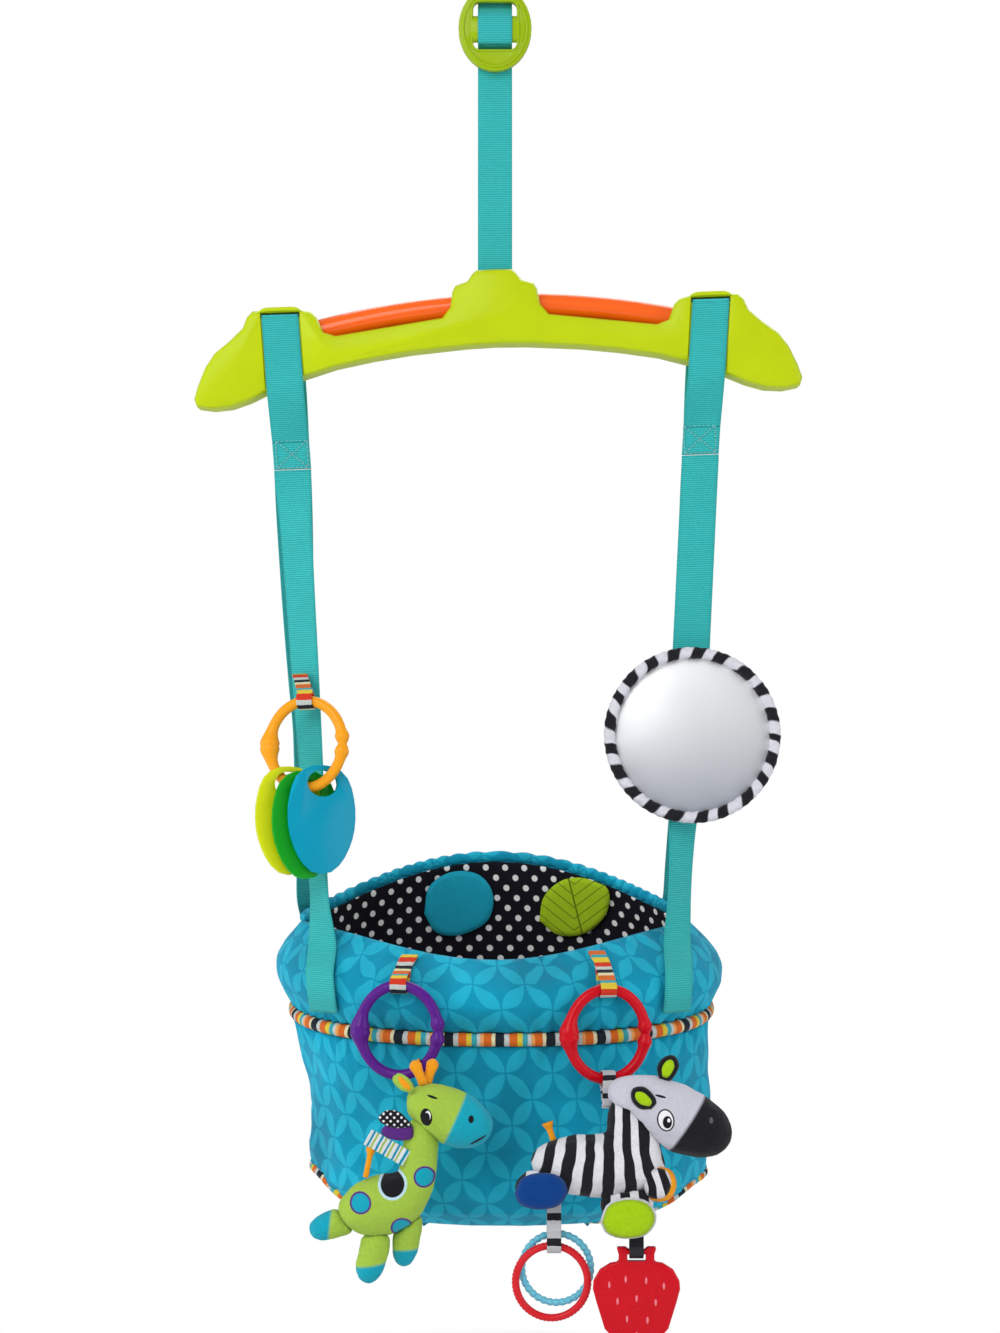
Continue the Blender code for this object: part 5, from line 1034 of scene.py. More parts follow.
def panel_point(angle, fall, inset=0.0):
    """A point of the lower panel, from its waist at 0 to its bottom at 1."""
    width = float(np.interp(fall, PANEL_FALLS, PANEL_WIDTHS))
    drift = float(np.interp(fall, PANEL_FALLS, PANEL_DRIFTS))
    x, y = on_oval(WAIST_HALF[0] * width - inset, WAIST_HALF[1] * width - inset, angle)
    top = waist_z(angle) - 0.0055
    return Vector((x + drift, y + SETBACK, top + (SEAT_BOTTOM + inset - top) * fall))


def fabric_place(angle, share, across, deep, down, shift=0.0):
    """Where the folds of a cloth are read from the noise, so that they close round the seat."""
    return Vector((across * math.cos(angle), deep * math.sin(angle), down * share + shift))


def leg_frame(sign):
    centre = Vector((sign * 0.087 + 0.009, -0.010 + SETBACK, -1.385))
    axis = Vector((sign * 0.62, -0.18, -0.76)).normalized()
    side = axis.cross(BACK).normalized()
    return centre, axis, side, axis.cross(side).normalized()


def from_leg_axis(point, sign):
    """How far a point is from a leg hole's axis, and how far out along it."""
    centre, axis, _, _ = leg_frame(sign)
    out = (point - centre).dot(axis)
    return (point - centre - axis * out), out


def cloth_skin(name, rows, thickness, finish, holes=False, closed_foot=None, level=0):
    """A cloth through closed rows, cut for the legs, with a map in metres from its level row."""
    bm = bmesh.new()
    layer = bm.loops.layers.uv.new("metres")
    count = len(rows[0])
    marks = []
    around = [0.0]
    for j in range(count):
        around.append(around[-1] + (rows[level][(j + 1) % count] - rows[level][j]).length)
    depths = [[0.0] * count]
    for first, second in zip(rows, rows[1:]):
        depths.append([d + (b - a).length for d, a, b in zip(depths[-1], first, second)])
    for row in depths:
        down = [d - at_level for d, at_level in zip(row, depths[level])]
        marks.append([(s - around[-1] / 2, d) for s, d in zip(around, (*down, down[0]))])
    down = marks[-1][0][1]
    verts = [[bm.verts.new(p) for p in row] for row in rows]
    for i in range(len(rows) - 1):
        for j in range(count):
            k = (j + 1) % count
            face = bm.faces.new((verts[i][j], verts[i + 1][j], verts[i + 1][k], verts[i][k]))
            for loop, (row, at) in zip(face.loops, ((i, j), (i + 1, j), (i + 1, j + 1), (i, j + 1))):
                loop[layer].uv = marks[row][at]
    if closed_foot is not None:
        foot = bm.verts.new(closed_foot)
        for j in range(count):
            face = bm.faces.new((verts[-1][j], foot, verts[-1][(j + 1) % count]))
            for loop, mark in zip(face.loops, (marks[-1][j], (0, down + 0.02), marks[-1][j + 1])):
                loop[layer].uv = mark
    if holes:
        for sign, _ in SIDES:
            inside = []
            for vertex in bm.verts:
                off, out = from_leg_axis(vertex.co, sign)
                if out > 0 and off.length < LEG_RADIUS:
                    inside.append(vertex)
            chosen = set(inside)
            gone = [f for f in bm.faces if all(v in chosen for v in f.verts)]
            bmesh.ops.delete(bm, geom=gone, context="FACES")
            for vertex in (v for v in inside if v.is_valid and v.link_faces):
                off, _ = from_leg_axis(vertex.co, sign)
                vertex.co += off.normalized() * (LEG_RADIUS - off.length)
        bmesh.ops.delete(bm, geom=[v for v in bm.verts if not v.link_faces], context="VERTS")
    bm.normal_update()
    mesh = bpy.data.meshes.new(name)
    bm.to_mesh(mesh)
    bm.free()
    made = place_piece(name, mesh, finish, "seat")
    thick = made.modifiers.new("Cloth thickness", "SOLIDIFY")
    thick.thickness = thickness
    thick.offset = -1
    return made


def gathers(angle, share, edge, count, reach):
    """Small puckers that fade away from a sewn edge."""
    wave = math.sin(count * angle + 1.7 * math.sin(5 * angle) + 0.9 * math.sin(13 * angle))
    return wave * math.exp(-abs(share - edge) / reach)


def strap_line(side, face):
    """Centres and width directions of one seat strap, from the box stitch to the waist piping."""
    sign = -1 if side == "left" else 1
    join = BEAM_MATRIX @ Vector((LOOP_FOOT_X[side], face * (WEB + GAP) / 2, -SWING_DROP - HINGE_GAP))
    xs = []
    for share, sideways in zip(STRAP_SHARES, STRAP_LANDINGS[side, face]):
        reach = COLLAR_HALF[0] + COLLAR_SPREAD[0] * share + 0.018 * math.sin(math.pi * share)
        xs.append(0.005 * share + reach * sideways)
    landing = [collar_at(x, share, face, -0.003) for x, share in zip(xs, STRAP_SHARES)]
    if face > 0:
        landing[0] = collar_at(xs[0], 0.0, face, -0.008) + UP * 0.008
    right, left = (collar_at(xs[1] + nudge, STRAP_SHARES[1], face) for nudge in (0.001, -0.001))
    tangent = right - left
    last_turn = math.degrees(math.atan(abs(tangent.y / tangent.x)))
    table = (*STRAP_TURNS[side, face], (1.0, last_turn))
    lead = join - UP * 2 * WEB
    centres, sides = [join], [SWING_AXIS]
    for i in range(STRAP_STEPS):
        share = i / STRAP_STEPS
        centres.append(lead.lerp(landing[0], share))
        bend = math.radians(np.interp(share, *zip(*table)))
        sides.append(Vector((math.cos(bend), -face * sign * math.sin(bend), SWING_AXIS.z * (1 - share))))
    bend = math.radians(last_turn)
    sides += [Vector((math.cos(bend), -face * sign * math.sin(bend), 0))] * len(landing)
    return centres + landing, sides


def sling(rod, reach, slack, route, across):
    """Centres and width directions of a ribbon that comes along the route, goes round a rod and goes back."""
    rod = Vector(rod)
    towards = route[0] - rod
    towards = (towards - across * towards.dot(across)).normalized()
    normal = across.cross(towards)
    radius = reach + slack + GAP + RIBBON / 2
    apart = (RIBBON + GAP) / 2
    fold = []
    for angle in np.radians(np.linspace(-100, 100, 9)):
        fold.append(rod + towards * slack + (-towards * math.cos(angle) + normal * math.sin(angle)) * radius)
    far, near = [], []
    for i, point in enumerate(route):
        ahead = (route[min(i + 1, len(route) - 1)] - (route[i - 1] if i else rod)).normalized()
        offset = across.cross(ahead).normalized() * apart
        far.append(point - offset)
        near.append(point + offset)
    return far[::-1] + fold + near, [across] * (2 * len(route) + 9)


def link_sling(rod, slack, route, across, width):
    """The sling of a ribbon round a link, lifted off it a little because the rod curves under its width."""
    lift = width**2 * LINK_HALF[1] / (8 * LINK_HALF[0] ** 2)
    return sling(rod, LINK_ROD + lift, slack - lift, route, across)


def link_place(top, turn, lean=0.0):
    return Matrix.Translation(top) @ Matrix.Rotation(-lean, 4, "X") @ Matrix.Rotation(-turn, 4, "Z")


def link_point(angle):
    return Vector((LINK_HALF[0] * math.cos(angle), 0, LINK_HALF[1] * math.sin(angle) - LINK_HALF[1]))


MIRROR_AXES = Matrix(((0.9985, 0, -0.0548), (0.05438, 0.12519, 0.99064), (0.00686, -0.99213, 0.12500)))
MIRROR_PLACE = Matrix.Translation((0.15117, -0.02827, -1.05266)) @ MIRROR_AXES.transposed().to_4x4()
ORANGE_LINK = link_place((-0.144, -0.05327, -1.02445), math.radians(17), math.radians(9.40))
PURPLE_LINK = link_place((-0.0716, -0.1077, -1.2365), math.radians(8))
RED_LINK = link_place((0.0842, -0.10567, -1.2396), math.radians(-13))


def on_toy(px, py):
    """x and z of a place on a soft toy, from where the photograph shows it."""
    return AIM.x + (px - PHOTO_SIZE[0] / 2) * TOY_SCALE, AIM.z - (py - PHOTO_SIZE[1] / 2) * TOY_SCALE


# The pieces


class JumperOperator(Operator):
    bl_options = {"REGISTER", "UNDO"}


class JUMPER_OT_stage(JumperOperator):
    """Makes the camera, the lights and the pale floor"""

    bl_idname = "jumper.stage"
    bl_label = "Stage"

    def execute(self, context):
        scene = context.scene
        stage = scene.jumper_stage
        lens = bpy.data.cameras.new("Photograph")
        lens.sensor_fit = "VERTICAL"
        lens.sensor_height = SENSOR
        lens.lens = SENSOR * CAMERA_DISTANCE / (PHOTO_SIZE[1] * PHOTO_SCALE)
        lens.clip_start = 0.05
        lens.clip_end = 50
        camera = bpy.data.objects.new("Photograph", lens)
        camera.location = (AIM.x, -CAMERA_DISTANCE, AIM.z)
        camera.rotation_euler = (math.pi / 2, 0, 0)
        scene.collection.objects.link(camera)
        scene.camera = camera
        scene.view_settings.view_transform = "Standard"
        for name, place, aim_z, size, power in (
            ("Key", (-0.9, -2.1, 0.3), -0.95, 1.7, stage.key),
            ("Left fill", (-2.0, -0.4, -0.8), -1, 1.6, stage.fill),
            ("Right fill", (2.0, -1.0, -0.7), -1, 1.6, stage.fill),
            ("Back fill", (0.3, 1.0, 0.3), -1, 1.4, stage.fill),
        ):
            lamp = bpy.data.lights.new(name, "AREA")
            lamp.size = size
            lamp.energy = power
            holder = bpy.data.objects.new(name, lamp)
            holder.location = place
            holder.rotation_euler = (Vector(place) - UP * aim_z).to_track_quat("Z", "Y").to_euler()
            scene.collection.objects.link(holder)
        scene.world = bpy.data.worlds.new("Pale room")
        scene.world.use_nodes = True
        tree = scene.world.node_tree
        room = tree.nodes["Background"]
        seen = tree.nodes.new("ShaderNodeBackground")
        for background, strength in ((room, stage.sky), (seen, 1)):
            background.inputs["Color"].default_value = WHITE
            background.inputs["Strength"].default_value = strength
        self.show(tree, self.seen_share(tree), room, seen, "World Output")
        self.floor(scene)
        return {"FINISHED"}

    def seen_share(self, tree):
        """1 for what the camera sees directly or through clear plastic."""
        rays = tree.nodes.new("ShaderNodeLightPath").outputs
        either = tree.nodes.new("ShaderNodeMath")
        either.operation = "MAXIMUM"
        tree.links.new(rays["Is Camera Ray"], either.inputs[0])
        tree.links.new(rays["Is Transmission Ray"], either.inputs[1])
        return either.outputs[0]

    def show(self, tree, share, first, second, output):
        """Shows the first shader at a share of 0 and the second at 1."""
        mix = tree.nodes.new("ShaderNodeMixShader")
        tree.links.new(share, mix.inputs[0])
        tree.links.new(first.outputs[0], mix.inputs[1])
        tree.links.new(second.outputs[0], mix.inputs[2])
        tree.links.new(mix.outputs[0], tree.nodes[output].inputs[0])

    def floor(self, scene):
        """A pale round floor that keeps the shadow below the jumper and is plain white further out."""
        bm = bmesh.new()
        rings = []
        for radius in FLOOR_RINGS:
            rings.append([(radius * math.cos(a), radius * math.sin(a), FLOOR_Z) for a in turns(96)])
        rows = skin(bm, rings)
        bm.faces.new(rows[0])
        mesh = bpy.data.meshes.new("Floor")
        bm.to_mesh(mesh)
        bm.free()
        floor = bpy.data.objects.new("Pale_floor", mesh)
        scene.collection.objects.link(floor)
        finish = Finish("Pale paper", 0.9)
        finish.set("Base Color", finish.mottled(3, (1, 1, 1), 0.86, 0.89, 2))
        glow = finish.node("Emission", {"Color": (1, 1, 1)})
        at = finish.parts(finish.place())
        reach = finish.math("SQRT", finish.squares(at[0], finish.minus(at[1], SHADOW_MIDDLE_Y)))
        far = finish.times(finish.step(reach, *SHADOW_FADE), self.seen_share(finish.tree))
        self.show(finish.tree, far, finish.shader, glow, "Material Output")
        mesh.materials.append(finish.material)
        mesh.polygons.foreach_set("use_smooth", [True] * len(mesh.polygons))


class JUMPER_OT_clamp(JumperOperator):
    """Finishes the door clamp, its yoke and the spring's caps, and adds pad ribs and pin heads"""

    bl_idname = "jumper.clamp"
    bl_label = "Door clamp and caps"

    def execute(self, context):
        tones = context.scene.jumper_plastics
        grey = plastic("Grey nylon", tones.grey, 0.42)
        metal = steel("Plated steel", tones.steel)
        pads = rubber("Black rubber", tones.rubber)
        for node in ("clamp_arm_back", "clamp_arm_front", "spring_top_cap", "spring_bottom_cap"):
            dress_solid(node, grey, 0.0007)
        for node in ("clamp_pin", "clamp_spring", "clamp_yoke", "swivel_nut", "loop_bar", "hub_pin"):
            dress_solid(node, metal, 0.0002)
        for side, body, inward in (("back", "clamp", -1), ("front", "clamp_front", 1)):
            node = f"clamp_pad_{side}"
            dress_solid(node, pads, 0.0006)
            low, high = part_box(node)
            face = low.y if inward < 0 else high.y
            bm = bmesh.new()
            for i in range(PAD_RIBS):
                z = low.z + (high.z - low.z) * (i + 0.5) / PAD_RIBS
                rings = []
                for x in np.linspace(low.x + PAD_MARGIN, high.x - PAD_MARGIN, 9):
                    rings.append([
                        (x, face + inward * PAD_RIB_RISE * math.cos(a), z + PAD_RIB_HALF * math.sin(a))
                        for a in turns(8)
                    ])
                closed_skin(bm, rings)
            add_mesh(f"pad_ribs_{side}", bm, pads, body)
        low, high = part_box("clamp_pin")
        middle = (low + high) / 2
        for (sign, side), x in zip(SIDES, (low.x, high.x)):
            place = Matrix.Translation((x, middle.y, middle.z)) @ Matrix.Rotation(sign * math.pi / 2, 4, "Y")
            turned(f"pin_head_{side}", PIN_HEAD, place, metal, "clamp", "steel")
        return {"FINISHED"}


class JUMPER_OT_spring(JumperOperator):
    """Winds the bounce spring and the twisted safety tether inside it"""

    bl_idname = "jumper.spring"
    bl_label = "Spring and tether"

    def execute(self, context):
        scene = context.scene
        top = SPRING_TOP - 2 * SPRING_WIRE
        bottom = SPRING_BOTTOM + 2 * SPRING_WIRE
        count = SPRING_TURNS * 26
        points = [(SPRING_RADIUS, 0, SPRING_TOP)]
        for i in range(count + 1):
            angle = math.tau * SPRING_TURNS * i / count
            z = top + (bottom - top) * i / count
            points.append((SPRING_RADIUS * math.cos(angle), SPRING_RADIUS * math.sin(angle), z))
        points.append((SPRING_RADIUS, 0, SPRING_BOTTOM))
        wire = lofted(tube_rings(points, SPRING_WIRE))
        stretching("wound_spring", wire, plated_steel(), "bounce_spring")
        high = SPIGOT_TOP - GAP
        low = SPIGOT_BOTTOM + GAP
        points = []
        for share in np.linspace(0, 1, 91):
            sway = TETHER_SWAY * math.sin(math.pi * share) * math.sin(math.tau * 3 * share)
            points.append((sway, 0, high + (low - high) * share))

        def strands(share, angle):
            return TETHER_RADIUS * (0.90 + 0.10 * abs(math.cos(1.5 * angle + share * 160)))

        finish = webbing_finish("Tether cord", scene.jumper_fabrics.webbing, scene.jumper_sizes, 0.85)
        rope = lofted(tube_rings(points, strands))
        stretching("twisted_tether", rope, finish, "safety_tether")
        return {"FINISHED"}


class JUMPER_OT_adjuster(JumperOperator):
    """Finishes the strap adjuster and raises the rims on both of its faces"""

    bl_idname = "jumper.adjuster"
    bl_label = "Strap adjuster"

    def execute(self, context):
        olive = plastic("Olive nylon", context.scene.jumper_plastics.olive, 0.22)
        dress_solid("adjuster_ring", olive, 0.0004)
        outer = [half - RIM_INSET for half in RING_HALF]
        inner = [half + RIM_PROUD for half in OPENING_HALF]
        for face, label in FACES:
            for name, halves, z, squareness, radius in (
                ("outer_rim", outer, RING_Z, 2, 0.0011),
                ("inner_rim", inner, OPENING_Z, 7, 0.0009),
            ):
                points = []
                for angle in turns(96):
                    x, rise = on_oval(*halves, angle, squareness)
                    points.append((x, face * RING_DEPTH / 2, z + rise))
                name = f"adjuster_{name}_{label}"
                tube(name, points, radius, olive, "adjuster", 10, True, BACK)
        return {"FINISHED"}


class JUMPER_OT_hanging_webbing(JumperOperator):
    """Weaves the loop above the adjuster and the run down to the cross-beam, with their sewn ends"""

    bl_idname = "jumper.hanging_webbing"
    bl_label = "Hanging webbing"

    def execute(self, context):
        scene = context.scene
        finish = webbing_finish("Hanging webbing", scene.jumper_fabrics.webbing, scene.jumper_sizes)
        half = WEB / 2
        behind = RING_DEPTH / 2 + GAP + half
        further = behind + WEB + GAP
        over_bar = BAR_RADIUS + GAP + half
        wrap_depth = RING_BAR_HALF[0] + GAP + half
        wrap_height = RING_BAR_HALF[1] + GAP + half
        rim_top = RING_Z + RING_HALF[1]
        rim_bottom = RING_Z - RING_HALF[1]
        opening_top = OPENING_Z + OPENING_HALF[1]
        opening_bottom = OPENING_Z - OPENING_HALF[1]
        bar_top = RING_BAR_Z + RING_BAR_HALF[1]
        wrap = [
            (-RING_BAR_FORWARD - wrap_depth * math.cos(a), RING_BAR_Z + wrap_height * math.sin(a))
            for a in np.radians(np.linspace(72, -82, 12))
        ]
        sewn_y = -RING_BAR_FORWARD + wrap_depth + GAP
        up = [
            (sewn_y, RING_BAR_Z),
            (sewn_y + GAP, RING_BAR_Z + RING_BAR_HALF[1] / 2),
            (behind, bar_top + 2 * GAP),
            (further, opening_top),
            (further, rim_top),
            (over_bar, BAR_Z - 4 * BAR_RADIUS),
        ]
        over = [
            (over_bar * math.cos(a), BAR_Z + over_bar * math.sin(a))
            for a in np.radians(np.linspace(0, 180, 9))
        ]
        back_down = [
            (-over_bar + 0.002, BAR_Z - 0.014),
            (behind, rim_top),
            (behind, opening_top - 3 * GAP),
            ((behind - RING_BAR_FORWARD) / 4, (opening_top + bar_top) / 2 - GAP),
        ]
        ends = (BAR_Z - 0.010, rim_top + 0.006)
        path = up + over + back_down + wrap
        sides = [RIGHT] * len(path)
        self.weave("webbing_loop", path, sides, finish, ("carrier", "adjuster"), ends, "loop_strap")
        foot_top = HUB.z + HUB_TOP_SHARE * BEAM_FALL
        slot_top = foot_top + 0.0165
        down = [
            (wrap[-1][0] + WEB + GAP, wrap[-1][1] - GAP),
            (behind, opening_bottom + 3 * GAP),
            (behind, opening_bottom - 0.006),
            (behind, rim_bottom),
            (behind * 0.66, -0.585),
            (behind * 0.33, -0.636),
            (GAP, slot_top),
            (-over_bar * 0.40, foot_top + 0.0082),
            (-over_bar + 2 * GAP, foot_top),
            (-over_bar + GAP, foot_top - 0.005),
        ]
        foot = [
            ((over_bar + GAP) * math.cos(a), HUB.z + HUB_PIN_RISE + (over_bar + GAP) * math.sin(a))
            for a in np.radians(np.linspace(180, 360, 9))
        ]
        foot.append((over_bar + GAP, foot_top - 0.0015))
        sides = [RIGHT] * (len(down) - 1) + [SWING_AXIS] * (len(foot) + 1)
        ends = (rim_bottom - 0.004, slot_top)
        self.weave("webbing_hanger", down + foot, sides, finish, ("adjuster", "hanger"), ends, "hanger_strap")
        return {"FINISHED"}

    def weave(self, name, path, sides, finish, bodies, ends, node):
        bm = strap_bm([(0, y, z) for y, z in path], sides, HANGER_WIDTH, WEB, 0.0022)
        stretching(name, bm, finish, node)


class JUMPER_OT_cross_beam(JumperOperator):
    """Finishes the cross-beam's shells and adds its grip bar, slot lips and screws"""

    bl_idname = "jumper.cross_beam"
    bl_label = "Cross-beam"

    def execute(self, context):
        tones = context.scene.jumper_plastics
        lime = plastic("Lime plastic", tones.lime, 0.36, 1.12)
        for _, label in FACES:
            dress_solid(f"beam_shell_{label}", lime, 0.0009)
        grip = plastic("Orange grip plastic", tones.grip, 0.22).set("Coat Weight", 0.55)
        points = []
        for x in np.linspace(-GRIP_HALF_LENGTH, GRIP_HALF_LENGTH, 81):
            fall = GRIP_TOP + GRIP_FALL * (x / GRIP_HALF_LENGTH) ** 2
            points.append(BEAM_MATRIX @ Vector((x, 0, -fall)))

        def moulded(share, angle):
            end = min(share, 1 - share)
            seam = 1 + 0.012 * math.exp(-((math.sin(angle) / 0.06) ** 2))
            return GRIP_RADIUS * 0.985 * seam * (1 - 0.10 * math.exp(-end / 0.006))

        def rounded_lip(share, angle):
            return LIP_RADIUS * max(0.15, 1 - abs(2 * share - 1) ** 8)

        made = tube("arched_grip", points, moulded, grip, "beam", 40, False, UP)
        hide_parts("grip_bar")
        for sign, side in SIDES:
            for face, label in FACES:
                lip = []
                for share in np.linspace(-1, 1, 25):
                    rise = LIP_ARCH * (1 - abs(share) ** 6)
                    x = sign * SLOT_X + share * LIP_HALF_LENGTH
                    lip.append(BEAM_MATRIX @ Vector((x, face * (BEAM_FACE - LIP_INSET), rise - LIP_DROP)))
                name = f"slot_lip_{side}_{label}"
                tube(name, lip, rounded_lip, lime, "beam", 10, False, BACK)
        metal = plated_steel()
        for i, (x, z) in enumerate(BEAM_SCREWS):
            facing_back = Matrix.Rotation(-math.pi / 2, 4, "X")
            place = BEAM_MATRIX @ Matrix.Translation((x, BEAM_FACE, z)) @ facing_back
            turned(f"screw_seat_{i}", SCREW_SEAT, place, lime, "beam", "lime_plastic")
            turned(f"screw_{i}", SCREW_HEAD, place, metal, "beam", "steel")
        return {"FINISHED"}


class JUMPER_OT_side_webbing(JumperOperator):
    """Weaves the loops over the beam's ends and the four seat straps, with their box stitches"""

    bl_idname = "jumper.side_webbing"
    bl_label = "Side webbing"

    def execute(self, context):
        tones, sizes = context.scene.jumper_fabrics, context.scene.jumper_sizes
        woven = {
            "front": webbing_finish("Side webbing", tones.webbing, sizes),
            # The rear straps take the same webbing at 0.82 of its tone, a painted shade.
            "rear": webbing_finish("Rear webbing", tones.webbing, sizes, 0.82),
        }
        thread = webbing_finish("Pale turquoise thread", linear("8ADBDC"), sizes)
        for sign, side in SIDES:
            self.loop(side, sign, woven["front"])
            for face, label in FACES:
                corners = self.stitch_corners(side, face)
                lines = [(corners[i], corners[(i + 1) % 4]) for i in range(4)]
                lines += [(corners[0], corners[2]), (corners[1], corners[3])]
                name = f"box_stitch_{side}_{label}"
                stitches(name, lines, BACK * face, thread, "beam", sizes.stitch, BOX_THREAD)
            for face, label in FACES:
                centres, sides = strap_line(side, face)
                name = f"{label}_{side}"
                title, slot, node = f"webbing_{name}", "turquoise_webbing", f"strap_{name}"
                strap(title, centres, sides, SIDE_WIDTH, WEB, woven[label], "seat", slot, node)
                across = sides[-1].normalized()
                normal = (centres[-1] - centres[-3]).normalized().cross(across)
                if normal.y * face < 0:
                    normal = -normal
                lines = []
                for reach in (-LANDING_STITCH_REACH, LANDING_STITCH_REACH):
                    shift = across * reach + normal * STITCH_PROUD
                    lines.append((centres[-3] + shift, centres[-1] + shift))
                stitches(f"landing_stitch_{name}", lines, normal, thread, "seat", sizes.stitch)
        return {"FINISHED"}

    def loop(self, side, sign, finish):
        half = WEB / 2
        top_x = sign * SLOT_X
        slant = LOOP_FOOT_X[side] - top_x
        floor_y = BEAM_FACE - GROOVE_DEPTH
        turn_radius = GAP + half + GAP / 2
        stitch_top = -SWING_DROP + STITCH_BOX_LENGTH
        layer = half + GAP / 2
        groove_y = floor_y + turn_radius
        block_bottom = BEAM_FALL * BLOCK_SHARE
        turn = [
            (-floor_y + turn_radius * math.cos(a), -SLOT_FLOOR_DROP + turn_radius * math.sin(a))
            for a in np.radians(np.linspace(90, 180, 5))
        ]
        front = [
            *turn,
            (-groove_y, -SLOT_FLOOR_DROP * 2),
            (-groove_y, -block_bottom * 0.6),
            (-groove_y, -block_bottom),
            (-layer * 2.2, stitch_top),
            (-layer, stitch_top - 0.003),
            (-layer, -SWING_DROP + HINGE_GAP),
        ]
        centres = []
        for y, z in [(-y, z) for y, z in reversed(front)] + front:
            share = min(1, max(0, (-z - SLOT_FLOOR_DROP) / (SWING_DROP - SLOT_FLOOR_DROP)))
            centres.append(BEAM_MATRIX @ Vector((top_x + slant * share, y, z)))
        bm = strap_bm(centres, [SWING_AXIS] * len(centres), SIDE_WIDTH, WEB, 0.0016)
        made = add_mesh(f"webbing_loop_{side}", bm, finish, "beam")
        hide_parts(f"side_loop_{side}")

    def stitch_corners(self, side, face):
        left = LOOP_FOOT_X[side] - BOX_STITCH_HALF
        right = LOOP_FOOT_X[side] + BOX_STITCH_HALF
        top = -SWING_DROP + STITCH_BOX_LENGTH - 0.001
        bottom = -SWING_DROP + 0.0014
        y = face * (WEB + GAP / 2 + 0.00012)
        corners = ((left, top), (right, top), (right, bottom), (left, bottom))
        return [BEAM_MATRIX @ Vector((x, y, z)) for x, z in corners]


